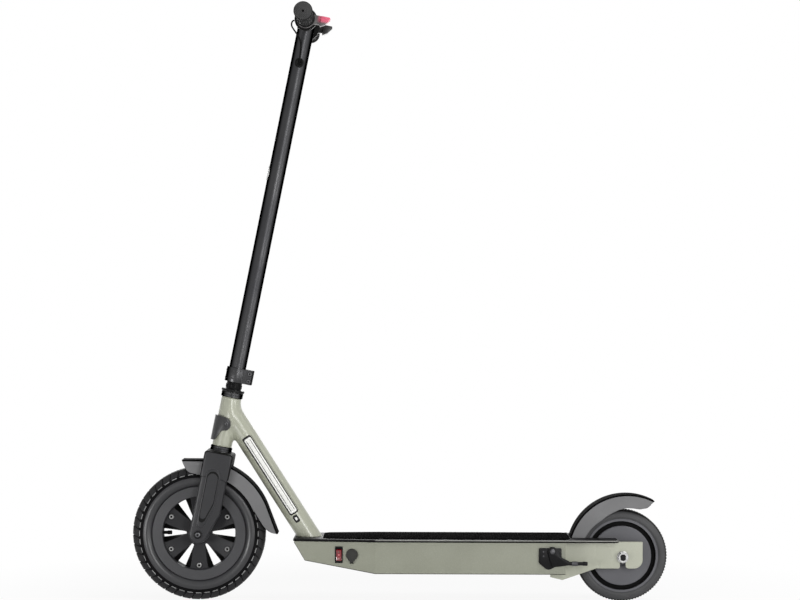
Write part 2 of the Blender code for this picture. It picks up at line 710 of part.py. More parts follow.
def build_frame_tubes(finish, head):
    """Build the head tube, the down tube and the cover of the wire hole."""
    place("head_tube", pipe(HEAD_TUBE_RADIUS, HEAD_TUBE_RADIUS - HEAD_TUBE_WALL,
                            HEAD_TUBE_LOW, HEAD_TUBE_HIGH), head, finish["frame"])
    length = (TUBE_TOP_Z - DECK_HEIGHT) / math.cos(LEAN)
    tube = place("down_tube", pipe(DOWN_TUBE_RADIUS, DOWN_TUBE_RADIUS - DOWN_TUBE_WALL,
                                   -DOWN_TUBE_BELOW_DECK, length), DOWN_TUBE_FOOT,
                 finish["frame"])
    cut(tube, place("down_tube_cope", rod(HEAD_TUBE_RADIUS + GAP, 0, BAR_HEIGHT, ROUND, "Z"),
                    head))

    front = HEAD_TUBE_RADIUS + GAP + COVER_THICKNESS
    ring = pipe(front, HEAD_TUBE_RADIUS + GAP, HEAD_TUBE_LOW, HEAD_TUBE_HIGH)
    cover = place("wire_cover", ring, head, finish["black"])
    side = [(-2, COVER_TOP)] + list(COVER_EDGE) + [(-2, COVER_TIP)]
    outline = [(share * HEAD_TUBE_RADIUS, HEAD_TUBE_LOW + rise) for share, rise in side]
    apply_tool(cover, place("wire_cover_side", prism(outline, -front, front), head), "INTERSECT")
    cope = rod(DOWN_TUBE_RADIUS + GAP, 0, length, ROUND, "Z")
    cut(cover, place("wire_cover_cope", cope, DOWN_TUBE_FOOT))


def build_headset(finish, head, steering):
    """Build the cups, bearings, steerer and flanged locknut on the steering axis."""
    bore = STEERER_RADIUS + GAP
    skirt_outer = HEAD_TUBE_RADIUS - HEAD_TUBE_WALL - GAP
    skirt_inner = skirt_outer - CUP_SKIRT_WALL
    bearing_outer = CUP_RECESS_RADIUS - GAP
    low, high = LOWER_CUP_LOW, HEAD_TUBE_LOW - GAP
    web = high - CUP_WEB
    cup = [(CUP_RECESS_RADIUS, low), (CUP_RADIUS, low), (CUP_RADIUS, high),
           (skirt_outer, high), (skirt_outer, high + CUP_SKIRT),
           (skirt_inner, high + CUP_SKIRT), (skirt_inner, web), (CUP_RECESS_RADIUS, web)]
    place("headset_lower_cup", turned(cup, axis="Z"), head, finish["metal"])
    place("headset_lower_bearing", pipe(bearing_outer, bore, CROWN_TOP + GAP, web - GAP),
          steering, finish["steel"])

    low, high = HEAD_TUBE_HIGH + GAP, UPPER_CUP_HIGH
    web = low + CUP_WEB
    cup = [(CUP_RECESS_RADIUS, high), (CUP_RADIUS, high), (CUP_RADIUS, low),
           (skirt_outer, low), (skirt_outer, low - CUP_SKIRT),
           (skirt_inner, low - CUP_SKIRT), (skirt_inner, web), (CUP_RECESS_RADIUS, web)]
    place("headset_upper_cup", turned(cup, axis="Z"), head, finish["metal"])
    bearing_top = high + GAP
    place("headset_upper_bearing", pipe(bearing_outer, bore, web + GAP, bearing_top),
          steering, finish["steel"])

    disc_low = bearing_top + GAP
    disc_high = disc_low + LOCK_DISC_THICKNESS
    nut = [(bore, disc_low), (LOCK_DISC_RADIUS, disc_low), (LOCK_DISC_RADIUS, disc_high),
           (LOCKNUT_RADIUS, disc_high), (LOCKNUT_RADIUS, CLAMP_LOW - RUNNING_GAP),
           (bore, CLAMP_LOW - RUNNING_GAP)]
    place("headset_locknut", turned(nut, axis="Z"), steering, finish["metal"])
    place("steerer_tube", pipe(STEERER_RADIUS, STEERER_RADIUS - STEERER_WALL,
                               CROWN_UNDER, STEERER_TOP), steering, finish["steel"])


def leg_outline():
    """Return the side view of the fork, from the crown down round the axle."""
    back = LEG_HALF_WIDTH + AXLE_LEAD
    reach = math.hypot(back, LEG_TAPER_START)
    end = math.atan2(LEG_TAPER_START, back) - math.acos(LEG_END_RADIUS / reach)
    corner = CROWN_CORNER
    points = arc(-AXLE_LEAD, 0, LEG_END_RADIUS, 180, 360 + math.degrees(end), 10)
    points += [(LEG_HALF_WIDTH, LEG_TAPER_START), (LEG_HALF_WIDTH, CROWN_LOW),
               (CROWN_HALF_WIDTH, CROWN_LOW + CROWN_STEP)]
    points += arc(CROWN_HALF_WIDTH - corner, CROWN_TOP - corner, corner, 0, 90, 3)
    points += arc(corner - CROWN_HALF_WIDTH, CROWN_TOP - corner, corner, 90, 180, 3)
    points += [(-CROWN_HALF_WIDTH, CROWN_LOW + CROWN_STEP), (-LEG_HALF_WIDTH, CROWN_LOW)]
    return points


def build_fork(finish, steering, front):
    """Build the fork with its raised ribs, and the front axle and nut."""
    fork = place("fork", prism(leg_outline(), -LEG_OUTER, LEG_OUTER), steering, finish["dark"])
    soften(fork, FORK_EDGE_ROUND)
    rib = arc(*RIB_TOP, RIB_TOP_RADIUS, 0, 180, 6) + list(RIB_FOOT)
    join(fork, place("fork_ribs", prism(rib, -LEG_OUTER - RIB_PROUD, LEG_OUTER + RIB_PROUD),
                     steering))
    between = box((-2 * LEG_HALF_WIDTH, -LEG_INNER, -2 * LEG_END_RADIUS),
                  (2 * LEG_HALF_WIDTH, LEG_INNER, CROWN_UNDER))
    cut(fork, place("fork_gap", between, steering))
    boss_end = RIM_FACE + GAP
    for side in (-1, 1):
        name = "left" if side < 0 else "right"
        low, high = sorted((side * boss_end, side * (LEG_INNER + EDGE)))
        join(fork, place("fork_boss_" + name, rod(LEG_BOSS_RADIUS, low, high), steering,
                         at=(-AXLE_LEAD, 0, 0)))
    across = 2 * LEG_OUTER
    cut(fork, place("fork_axle_hole", rod(FRONT_AXLE_RADIUS + GAP, -across, across), steering,
                    at=(-AXLE_LEAD, 0, 0)),
        place("fork_steerer_hole", rod(STEERER_RADIUS + GAP, CROWN_LOW, HEAD_TUBE_LOW, ROUND,
                                       "Z"), steering))

    face = LEG_OUTER + GAP
    head = face + AXLE_HEAD_THICKNESS
    end = face + FRONT_NUT_HEIGHT + THREAD_PROUD
    axle = [(0, -head), (AXLE_HEAD_RADIUS - EDGE, -head), (AXLE_HEAD_RADIUS, -head + EDGE),
            (AXLE_HEAD_RADIUS, -face), (FRONT_AXLE_RADIUS, -face), (FRONT_AXLE_RADIUS, end),
            (0, end)]
    place("front_axle", turned(axle, SMALL), front, finish["steel"])
    hex_nut("front_axle_nut", FRONT_NUT_ACROSS, face, face + FRONT_NUT_HEIGHT,
            FRONT_AXLE_RADIUS + GAP, front, finish["steel"])


def build_column(finish, steering, bar):
    """Build the column, its clamp with two bolts, the badge and the grommets."""
    top = COLUMN_TOP
    inner = COLUMN_RADIUS - COLUMN_WALL
    profile = [(inner, CLAMP_LOW), (COLUMN_RADIUS, CLAMP_LOW), (COLUMN_RADIUS, top - EDGE),
               (COLUMN_RADIUS - EDGE, top), (0, top), (0, top - COLUMN_WALL / 2),
               (inner, top - COLUMN_WALL / 2)]
    column = place("steering_column", turned(profile, axis="Z"), steering, finish["column"])
    drop = BAR_HEIGHT - GROMMET_DROP
    across = 2 * COLUMN_RADIUS
    cut(column, place("column_bar_hole", rod(BAR_RADIUS + GAP, -across, across, ROUND), bar),
        place("column_lead_holes", rod(GROMMET_NECK + GAP, -across, across), steering,
              at=(GROMMET_BACK, 0, drop)))

    slit = CLAMP_SLIT / 2
    bore = COLUMN_RADIUS + GAP
    edge = math.degrees(math.asin(slit / bore))
    outline = [(CLAMP_REAR, slit), (CLAMP_REAR, CLAMP_RADIUS)]
    outline += arc(0, 0, CLAMP_RADIUS, 90, 270, 12)
    outline += [(CLAMP_REAR, -CLAMP_RADIUS), (CLAMP_REAR, -slit)]
    outline += arc(0, 0, bore, 360 - edge, edge, 24)
    clamp = place("column_clamp", prism(outline, CLAMP_LOW, CLAMP_HIGH, "Z"), steering,
                  finish["column"])
    for name, height in (("upper", CLAMP_HIGH - CLAMP_BOLT_INSET),
                         ("lower", CLAMP_LOW + CLAMP_BOLT_INSET)):
        spot = (CLAMP_BOLT_BACK, 0, height)
        seat = -CLAMP_RADIUS + CLAMP_BOLT_HEAD_DEPTH
        cut(clamp, place("clamp_hole_" + name, rod(CLAMP_BOLT_RADIUS + GAP, -across, across, 12),
                         steering, at=spot),
            place("clamp_seat_" + name, rod(CLAMP_BOLT_HEAD + GAP, -across, seat), steering,
                  at=spot))
        bolt = [(0, -CLAMP_RADIUS + GAP), (CLAMP_BOLT_HEAD, -CLAMP_RADIUS + GAP),
                (CLAMP_BOLT_HEAD, seat - GAP), (CLAMP_BOLT_RADIUS, seat - GAP),
                (CLAMP_BOLT_RADIUS, CLAMP_RADIUS), (0, CLAMP_RADIUS)]
        place("clamp_bolt_" + name, turned(bolt, 12), steering, finish["steel"], at=spot)

    badge = place("column_badge", pipe(COLUMN_RADIUS + GAP + BADGE_THICKNESS,
                                       COLUMN_RADIUS + GAP, BADGE_PLACE - BADGE_HEIGHT,
                                       BADGE_PLACE + BADGE_HEIGHT), steering, finish["white"])
    oval = []
    for y, z in arc(0, 0, 1, 0, 360, 20)[:-1]:
        oval.append((y * BADGE_WIDTH / 2, BADGE_PLACE + z * BADGE_HEIGHT / 2))
    apply_tool(badge, place("badge_oval", prism(oval, -across, 0, "X"), steering), "INTERSECT")

    for name, side in (("left", -1), ("right", 1)):
        face = COLUMN_RADIUS + GROMMET_PROUD
        profile = [(GROMMET_BORE, GROMMET_NECK), (GROMMET_RADIUS, GROMMET_NECK),
                   (GROMMET_RADIUS, face - EDGE), (GROMMET_RADIUS - EDGE, face),
                   (GROMMET_BORE, face)]
        turn = (0, 0, 0) if side > 0 else (math.pi, 0, 0)
        spot = (GROMMET_BACK, 0, drop)
        grommet = place("lead_grommet_" + name, turned(profile, SMALL), steering,
                        finish["rubber"], spot, turn)
        cope = rod(COLUMN_RADIUS + GAP, drop - across, drop + across, ROUND, "Z")
        cut(grommet, place("grommet_cope_" + name, cope, steering))
        neck = pipe(GROMMET_NECK, GROMMET_BORE, inner + GAP, face - EDGE / 2, SMALL, "Y")
        join(grommet, place("grommet_neck_" + name, neck, steering, at=spot, turn=turn))


def pod_outline(radius, pod):
    """Return a round outline that swells by pod at its lower side."""
    points = []
    for i in range(ROUND):
        angle = 2 * math.pi * i / ROUND
        below = max(0.0, math.cos(angle + POD_ANGLE))
        reach = radius + pod * below ** 2
        points.append((reach * math.cos(angle), reach * math.sin(angle)))
    return points


def paddle_side(start):
    """Return the side view of a thumb paddle from the hub or pad start to its tip."""
    tip, top = PADDLE_REACH, PADDLE_TOP
    return [(tip - EDGE, top), (start, top), (start, -PADDLE_UNDER),
            (tip - PADDLE_TIP_SLOPE, top - PADDLE_TIP_DEPTH), (tip, top - PADDLE_EDGE_DEPTH),
            (tip, top - EDGE)]


def build_bar(finish, bar, brake, throttle):
    """Build the handlebar tube, the grips, both control housings and both paddles."""
    end = BAR_LENGTH / 2
    tube_end = end - GRIP_END_WALL - GAP
    place("handlebar", pipe(BAR_RADIUS, BAR_RADIUS - BAR_WALL, -tube_end, tube_end,
                            ROUND, "Y"), bar, finish["column"])
    start = end - GRIP_LENGTH
    bore = BAR_RADIUS + GAP
    grip = [(bore, start), (GRIP_END_RADIUS, start), (GRIP_END_RADIUS, start + GRIP_FLANGE),
            (GRIP_RADIUS, start + GRIP_FLANGE + EDGE), (GRIP_RADIUS, end - GRIP_FLANGE - EDGE),
            (GRIP_END_RADIUS, end - GRIP_FLANGE), (GRIP_END_RADIUS, end - EDGE),
            (GRIP_END_RADIUS - EDGE, end), (GRIP_VENT_RADIUS, end),
            (GRIP_VENT_RADIUS, end - GRIP_END_WALL), (bore, end - GRIP_END_WALL)]
    for name, turn in (("left", (math.pi, 0, 0)), ("right", (0, 0, 0))):
        place("grip_" + name, turned(grip), bar, finish["rubber"], turn=turn)

    face = HOUSING_INNER_FACE
    controls = (("brake", -1, 0.0, brake, "grey"),
                ("throttle", 1, THROTTLE_POD, throttle, "black"))
    for name, side, pod, joint, colour in controls:
        low, high = sorted((side * face, side * (face + HOUSING_WIDTH)))
        housing = place(name + "_housing", prism(pod_outline(HOUSING_RADIUS, pod), low, high), bar,
                        finish["black"])
        soften(housing, HOUSING_EDGE, 1, 60)
        cut(housing, place(name + "_housing_bore", rod(bore, -end, end, ROUND), bar))
        hub_start = face + HOUSING_WIDTH + RUNNING_GAP
        low, high = sorted((side * hub_start, side * (hub_start + PADDLE_WIDTH)))
        paddle = place(name + "_paddle", rod(PADDLE_HUB_RADIUS, low, high, ROUND), joint,
                       finish[colour])
        join(paddle, place(name + "_paddle_arm", prism(paddle_side(PADDLE_ARM_START), low, high),
                           joint))
        middle = (low + high) / 2
        half = PADDLE_PAD_WIDTH / 2
        pad = prism(paddle_side(PADDLE_PAD_START), middle - half, middle + half)
        join(paddle, place(name + "_paddle_pad", pad, joint))
        cut(paddle, place(name + "_paddle_bore", rod(bore, -end, end, ROUND), joint))


def smooth_route(points, steps):
    """Return points on a smooth curve through the given ones."""
    ends = [points[0]] + list(points) + [points[-1]]
    route = []
    for a, b, c, d in zip(ends, ends[1:], ends[2:], ends[3:]):
        for i in range(steps):
            t = i / steps
            spot = []
            for p, q, r, s in zip(a, b, c, d):
                spot.append(0.5 * (2 * q + (r - p) * t + (2 * p - 5 * q + 4 * r - s) * t ** 2
                                   + (3 * q - p - 3 * r + s) * t ** 3))
            route.append(tuple(spot))
    route.append(points[-1])
    return route


def build_lead(finish, bar):
    """Build the brake lead from its housing to the grommet in the column."""
    curve = bpy.data.curves.new("brake_lead", "CURVE")
    curve.dimensions = "3D"
    curve.bevel_depth = LEAD_RADIUS
    curve.bevel_resolution = 2
    curve.use_fill_caps = True
    route = smooth_route(LEAD_ROUTE, LEAD_STEPS)
    spline = curve.splines.new("POLY")
    spline.points.add(len(route) - 1)
    for point, spot in zip(spline.points, route):
        point.co = (*spot, 1)
    place("brake_lead", curve, bar, finish["rubber"])


def fender_shell(name, outline, hollow, width, parent, finish):
    """Return a fender: a side outline across its width, hollowed from below."""
    shell = place(name, prism(outline, -width / 2, width / 2), parent, finish)
    inside = width / 2 - FENDER_WALL
    cut(shell, place(name + "_hollow", prism(hollow, -inside, inside), parent))
    return shell


def build_front_fender(finish, front):
    """Build the front fender with its flat visor and its flared tail."""
    outer, skirt, wall = FRONT_FENDER_RADIUS, FRONT_SKIRT_RADIUS, FENDER_WALL
    tail = math.degrees(TAIL_ANGLE)
    run = (math.sin(TAIL_FLARE), -math.cos(TAIL_FLARE))
    corner = arc(0, 0, outer, tail, tail, 1)[0]
    tail_end = (corner[0] + TAIL_LENGTH * run[0], corner[1] + TAIL_LENGTH * run[1])
    outline = arc(0, 0, outer, tail, 90, 14)
    outline += [(-VISOR_REACH + x, outer - z) for x, z in VISOR_EDGE]
    outline += arc(0, 0, skirt, math.degrees(SKIRT_START_ANGLE),
                   math.degrees(SKIRT_END_ANGLE), 10)
    outline += [(tail_end[0] - x, tail_end[1] + z) for x, z in TAIL_EDGE]
    outline += [tail_end]
    inner = outer - wall
    past = 2 * outer
    corner = arc(0, 0, inner, tail, tail, 1)[0]
    hollow = arc(0, 0, inner, tail, 90, 14)
    hollow += [(-outer, inner), (-outer, -outer)]
    hollow += [(corner[0] + past * run[0], corner[1] + past * run[1])]
    fender_shell("front_fender", outline, hollow, FRONT_FENDER_WIDTH, front, finish["fender"])


def build_front_wheel(finish, wheel):
    """Build the two bolted rim halves, tyre, inner tube with valve, and bearings."""
    step = GAP / 2
    bearing_seat = RIM_FACE - FRONT_BEARING_WIDTH
    spacer = FRONT_AXLE_RADIUS + HUB_CLEARANCE
    half = [(spacer, step), (RIM_BED_RADIUS, step),
            (RIM_BED_RADIUS, RIM_FACE - RIM_FLANGE), (RIM_RADIUS, RIM_FACE - RIM_FLANGE),
            (RIM_RADIUS, RIM_FACE), (RIM_RING_INNER, RIM_FACE), (RIM_RING_INNER, SPOKE_FACE),
            (HUB_RADIUS, SPOKE_FACE), (HUB_RADIUS, RIM_FACE),
            (FRONT_BEARING_RADIUS + GAP, RIM_FACE), (FRONT_BEARING_RADIUS + GAP, bearing_seat),
            (spacer, bearing_seat)]
    tip, near = WINDOW_TIP_HALF, WINDOW_MIDDLE_HALF
    far = near + WINDOW_CUT * (WINDOW_FACE_HALF - near)
    narrow = [(WINDOW_INNER, -tip), (WINDOW_OUTER, -near), (WINDOW_OUTER, near),
              (WINDOW_INNER, tip)]
    past = [(WINDOW_INNER, -tip), (WINDOW_OUTER, -far), (WINDOW_OUTER, far),
            (WINDOW_INNER, tip)]
    valve_hole = place("valve_hole", rod(VALVE_RADIUS + GAP, VALVE_TIP, FRONT_RADIUS, 12, "X"),
                       wheel, turn=(0, 0, math.pi))
    for name, side in (("left", -1), ("right", 1)):
        profile = [(radius, side * height) for radius, height in half]
        rim = place("front_rim_" + name, turned(profile, WHEEL_STEPS), wheel, finish["dark"])
        for i in range(WINDOW_COUNT):
            angle = 2 * math.pi * i / WINDOW_COUNT
            wedge = loft(narrow, past, 0, side * WINDOW_CUT * SPOKE_FACE)
            guide = place("window_%s_%d" % (name, i), wedge, wheel, turn=(0, angle, 0))
            cut(rim, guide)
        cut(rim, valve_hole)
        low, high = sorted((side * (bearing_seat + GAP), side * RIM_FACE))
        place("front_bearing_" + name, pipe(FRONT_BEARING_RADIUS, FRONT_AXLE_RADIUS + GAP,
                                            low, high, SMALL, "Y"), wheel, finish["steel"])

    tread, wide, flange = FRONT_TREAD_WIDTH / 2, FRONT_TYRE_WIDTH / 2, RIM_FACE - RIM_FLANGE
    top, bed, wall = FRONT_RADIUS, RIM_BED_RADIUS + GAP, TYRE_WALL
    bead = flange - GAP
    outer = [(bed, bead), (RIM_RADIUS + GAP, bead), (RIM_RADIUS + GAP, RIM_FACE - EDGE)]
    outer += [(top - drop, wide - tuck) for drop, tuck in FRONT_SIDEWALL] + [(top, tread)]
    inner = [(bed, bead - wall), (RIM_RADIUS + wall, bead - wall / 2),
             (top - FRONT_CAVITY, wide - wall), (top - wall, tread - wall / 2)]
    across = list(reversed(inner)) + outer
    profile = across + [(radius, -height) for radius, height in reversed(across)]
    place("front_tyre", turned(profile, FINE, flat_down=True), wheel, finish["tyre"])

    centre = (bed + top - wall) / 2
    tall = (top - wall - bed) / 2 - GAP
    (low, narrow), (high, full) = inner[1:3]
    half_tube = narrow + (full - narrow) * (centre - low) / (high - low) - TUBE_PLAY
    section = []
    for u, v in arc(0, 0, 1, 0, 360, 10)[:-1]:
        section.append((centre + tall * u, half_tube * v))
    tube = place("front_inner_tube", turned(section, WHEEL_STEPS), wheel, finish["rubber"])
    join(tube, place("valve_stem", rod(VALVE_RADIUS, VALVE_TIP, centre, 12, "X"), wheel,
                     turn=(0, 0, math.pi)))


def build_rear_wheel(finish, wheel):
    """Build the hub motor, its fixed axle with nuts, and the solid tyre."""
    half = MOTOR_WIDTH / 2
    face = half + MOTOR_DISC_PROUD
    wall = MOTOR_WALL
    floor = half - MOTOR_GROOVE_DEPTH
    seat = REAR_BEARING_RADIUS + GAP
    boss = seat + wall
    bearing_in = STATOR_HALF_WIDTH + STATOR_TO_BEARING
    bearing_out = bearing_in + REAR_BEARING_WIDTH
    neck = REAR_SHOULDER_RADIUS + RUNNING_GAP
    disc = [(MOTOR_DISC_RADIUS - wall, floor - wall), (MOTOR_DISC_RADIUS - wall, face - wall),
            (boss, face - wall), (boss, bearing_in), (seat, bearing_in),
            (seat, bearing_out + GAP), (neck, bearing_out + GAP), (neck, face),
            (MOTOR_DISC_RADIUS, face), (MOTOR_DISC_RADIUS, floor), (MOTOR_GROOVE_OUTER, floor)]
    cover_edge = MOTOR_GROOVE_OUTER + COVER_EDGE_WIDTH
    shell = [(MOTOR_RADIUS, -half), (MOTOR_RADIUS, half), (cover_edge + GAP, half),
             (cover_edge + GAP, floor - wall - GAP), (MAGNET_RADIUS, floor - wall - GAP),
             (MAGNET_RADIUS, -floor + wall)]
    shell += [(radius, -height) for radius, height in disc]
    shell += [(MOTOR_GROOVE_OUTER, -half)]
    place("motor_shell", turned(shell, WHEEL_STEPS), wheel, finish["motor"])
    cover = [(cover_edge, floor - wall)] + disc[:-1] + [(cover_edge, floor)]
    place("motor_cover", turned(cover, WHEEL_STEPS), wheel, finish["dark"])
    for name, side in (("left", -1), ("right", 1)):
        low, high = sorted((side * bearing_in, side * bearing_out))
        place("rear_bearing_" + name, pipe(REAR_BEARING_RADIUS, REAR_SHOULDER_RADIUS + GAP,
                                           low, high, SMALL, "Y"), wheel, finish["steel"])
    place("motor_stator", pipe(MAGNET_RADIUS - RUNNING_GAP, REAR_SHOULDER_RADIUS + GAP,
                               -STATOR_HALF_WIDTH, STATOR_HALF_WIDTH, ROUND, "Y"), wheel,
          finish["steel"])

    tread, wide = REAR_TREAD_WIDTH / 2, REAR_TYRE_WIDTH / 2
    tyre = [(MOTOR_RADIUS + GAP, half)]
    tyre += [(REAR_RADIUS - drop, wide - tuck) for drop, tuck in REAR_SIDEWALL]
    tyre += [(REAR_RADIUS, tread)]
    place("rear_tyre", turned(mirrored(tyre), FINE, flat_down=True), wheel, finish["tyre"])

    inside = DROPOUT_OUTER - DROPOUT_THICKNESS - GAP
    end = DROPOUT_OUTER + REAR_NUT_HEIGHT + THREAD_PROUD
    profile = [(0, end), (REAR_AXLE_RADIUS - EDGE, end), (REAR_AXLE_RADIUS, end - EDGE),
               (REAR_AXLE_RADIUS, inside), (REAR_SHOULDER_RADIUS, inside)]
    axle = place("rear_axle", turned(mirrored(profile), SMALL), wheel, finish["steel"])
    flat = REAR_AXLE_FLATS / 2
    for i, side in enumerate((-1, 1)):
        for j, way in enumerate((-1, 1)):
            x_low, x_high = sorted((side * flat, side * 2 * flat))
            y_low, y_high = sorted((way * inside, way * 2 * end))
            guide = box((x_low, y_low, -2 * flat), (x_high, y_high, 2 * flat))
            cut(axle, place("axle_flat_%d%d" % (i, j), guide, wheel))
    for name, turn in (("left", (math.pi, 0, 0)), ("right", (0, 0, 0))):
        low = DROPOUT_OUTER + GAP
        nut = hex_nut("rear_nut_" + name, REAR_NUT_ACROSS, low, DROPOUT_OUTER + REAR_NUT_HEIGHT,
                      REAR_AXLE_RADIUS + GAP, wheel, finish["steel"], turn)
        washer = pipe(REAR_WASHER_RADIUS, REAR_AXLE_RADIUS + GAP, low,
                      low + REAR_WASHER_THICKNESS, SMALL, "Y")
        join(nut, place("rear_washer_" + name, washer, wheel, turn=turn))


def build_dropouts(finish):
    """Build the plates that hold the rear axle, each with a flange under the deck."""
    axle_x, axle_z = REAR_AXLE_X, REAR_RADIUS
    front = TRAY_REAR_X + GAP
    rear = axle_x + DROPOUT_REAR_FROM_AXLE
    slot = DROPOUT_SLOT / 2
    low = axle_z - DROPOUT_BELOW_AXLE
    hook = TRAY_LOW - DROPOUT_HOOK_DROP
    outline = [(front, TRAY_TOP), (rear, TRAY_TOP)]
    outline += arc(rear - DROPOUT_CORNER, low + DROPOUT_CORNER, DROPOUT_CORNER, 0, -90, 5)
    outline += [(axle_x + slot + DROPOUT_LEAD_IN, low), (axle_x + slot, low + DROPOUT_LEAD_IN),
                (axle_x + slot, axle_z + REAR_AXLE_RADIUS + GAP),
                (axle_x - slot, axle_z + REAR_AXLE_RADIUS + GAP), (axle_x - slot, low),
                (axle_x - DROPOUT_SLOPE_END, low), (front - DROPOUT_POINT_REACH, hook),
                (front - DROPOUT_HOOK_REACH, hook + DROPOUT_HOOK_RISE),
                (front - DROPOUT_HOOK_REACH, TRAY_LOW - GAP), (front, TRAY_LOW - GAP)]
    for name, side in (("left", -1), ("right", 1)):
        inside = side * (DROPOUT_OUTER - DROPOUT_THICKNESS)
        outside = side * DROPOUT_OUTER
        low_y, high_y = sorted((inside, outside))
        plate = place("dropout_" + name, prism(outline, low_y, high_y), finish=finish["frame"])
        edge = side * (DROPOUT_OUTER - DROPOUT_FLANGE_WIDTH)
        low_y, high_y = sorted((edge, side * (DROPOUT_OUTER - EDGE)))
        flange = box((front + EDGE, low_y, TRAY_TOP - DROPOUT_THICKNESS),
                     (rear - EDGE, high_y, TRAY_TOP))
        join(plate, place("dropout_flange_" + name, flange))


def build_rear_fender(finish, wheel):
    """Build the rear fender, which stands on the deck in front of the wheel."""
    x0, z0, radius = REAR_FENDER_SHIFT_X, REAR_FENDER_SHIFT_Z, REAR_FENDER_RADIUS
    foot = DECK_HEIGHT + GAP - REAR_RADIUS
    start = math.degrees(math.asin((foot - z0) / radius))
    tail = math.degrees(REAR_TAIL_ANGLE)
    skirt = math.degrees(math.asin(foot / REAR_SKIRT_RADIUS))
    outline = arc(x0, z0, radius, 180 - start, tail, 18)
    for angle, over in REAR_SKIRT_EDGE:
        outline += arc(0, 0, REAR_RADIUS + over, angle, angle, 1)[:1]
    outline += arc(0, 0, REAR_SKIRT_RADIUS, math.degrees(REAR_SKIRT_BEND), 180 - skirt, 6)
    inner = radius - FENDER_WALL
    low = foot - FENDER_FOOT_LENGTH
    start = math.degrees(math.asin((low - z0) / inner))
    hollow = arc(x0, z0, inner, 180 - start, tail - math.degrees(REAR_HOLLOW_PAST), 18)
    hollow += [(radius, REAR_SKIRT_RADIUS), (radius, low)]
    shell = fender_shell("rear_fender", outline, hollow, REAR_FENDER_WIDTH, wheel,
                         finish["fender"])
    inside = REAR_FENDER_WIDTH / 2 - FENDER_WALL / 2
    front = rear_fender_front() + FENDER_WALL / 2
    base = box((front, -inside, foot), (front + FENDER_FOOT_LENGTH, inside, foot + FENDER_WALL))
    join(shell, place("fender_foot", base, wheel))


def build_power(finish):
    """Build the two battery packs and the speed controller inside the tray."""
    floor = TRAY_LOW + TRAY_WALL + GAP
    length, width, height = CONTROLLER_SIZE
    case_front = TRAY_REAR_X - TRAY_WALL - CONTROLLER_TO_WALL - length
    battery_front = NOSE_KINK_X + BATTERY_FROM_KINK
    battery_rear = case_front - BATTERY_TO_CONTROLLER
    for name, side in (("left", -1), ("right", 1)):
        near = side * BATTERY_SPACING / 2
        low_y, high_y = sorted((near, near + side * BATTERY_WIDTH))
        pack = box((battery_front, low_y, floor),
                   (battery_rear, high_y, floor + BATTERY_HEIGHT))
        place("battery_" + name, pack, finish=finish["wrap"])
    case = box((case_front, -width / 2, floor),
               (case_front + length, width / 2, floor + height))
    place("speed_controller", case, finish=finish["steel"])


def nose_frame(name, from_tip, below_deck):
    """Return a frame on the left nose wall, with x along it and y into the tray."""
    x, z = DECK_TIP_X + from_tip, DECK_HEIGHT - below_deck
    half = deck_half_width(x, TRAY_TIP_WIDTH / 2, TRAY_WIDTH / 2)
    return frame(name, (x, -half, z), (0, 0, -nose_turn()))


def build_switch(finish, tray):
    """Build the power switch bezel and its rocker in the left nose wall."""
    wall_face = nose_frame("switch_frame", SWITCH_FROM_TIP, SWITCH_BELOW_DECK)
    half_x, half_z = SWITCH_BODY[0] / 2, SWITCH_BODY[1] / 2
    through = 2 * TRAY_WALL
    hole = box((-half_x - GAP, -through, -half_z - GAP), (half_x + GAP, through, half_z + GAP))
    cut(tray, place("switch_hole", hole, wall_face))
    bezel = box((-SWITCH_BEZEL[0] / 2, -SWITCH_PROUD - GAP, -SWITCH_BEZEL[1] / 2),
                (SWITCH_BEZEL[0] / 2, -GAP, SWITCH_BEZEL[1] / 2))
    housing = place("switch_housing", bezel, wall_face, finish["black"])
    body = box((-half_x, -SWITCH_PROUD, -half_z), (half_x, SWITCH_DEPTH, half_z))
    join(housing, place("switch_body", body, wall_face))
    well_x, well_z = SWITCH_WELL[0] / 2, SWITCH_WELL[1] / 2
    floor = SWITCH_DEPTH - SWITCH_FLOOR
    cavity = box((-well_x, -SWITCH_DEPTH, -well_z), (well_x, floor, well_z))
    cut(housing, place("switch_well", cavity, wall_face))
    pivot = frame("rocker_axis", (0, ROCKER_DEPTH, 0), parent=wall_face)
    face = ROCKER_DEPTH + SWITCH_PROUD
    half = well_z - RUNNING_GAP
    side = [(-face - ROCKER_PROUD, half - EDGE), (-face + ROCKER_DIP, 0),
            (-face - ROCKER_PROUD, EDGE - half), (ROCKER_SKIRT - face, -half),
            (ROCKER_KEEL, -ROCKER_KEEL_HALF), (ROCKER_KEEL, ROCKER_KEEL_HALF),
            (ROCKER_SKIRT - face, half)]
    wide = well_x - GAP
    place("power_rocker", prism(side, -wide, wide, "X"), pivot, finish["red"],
          turn=(ROCKER_TILT, 0, 0))


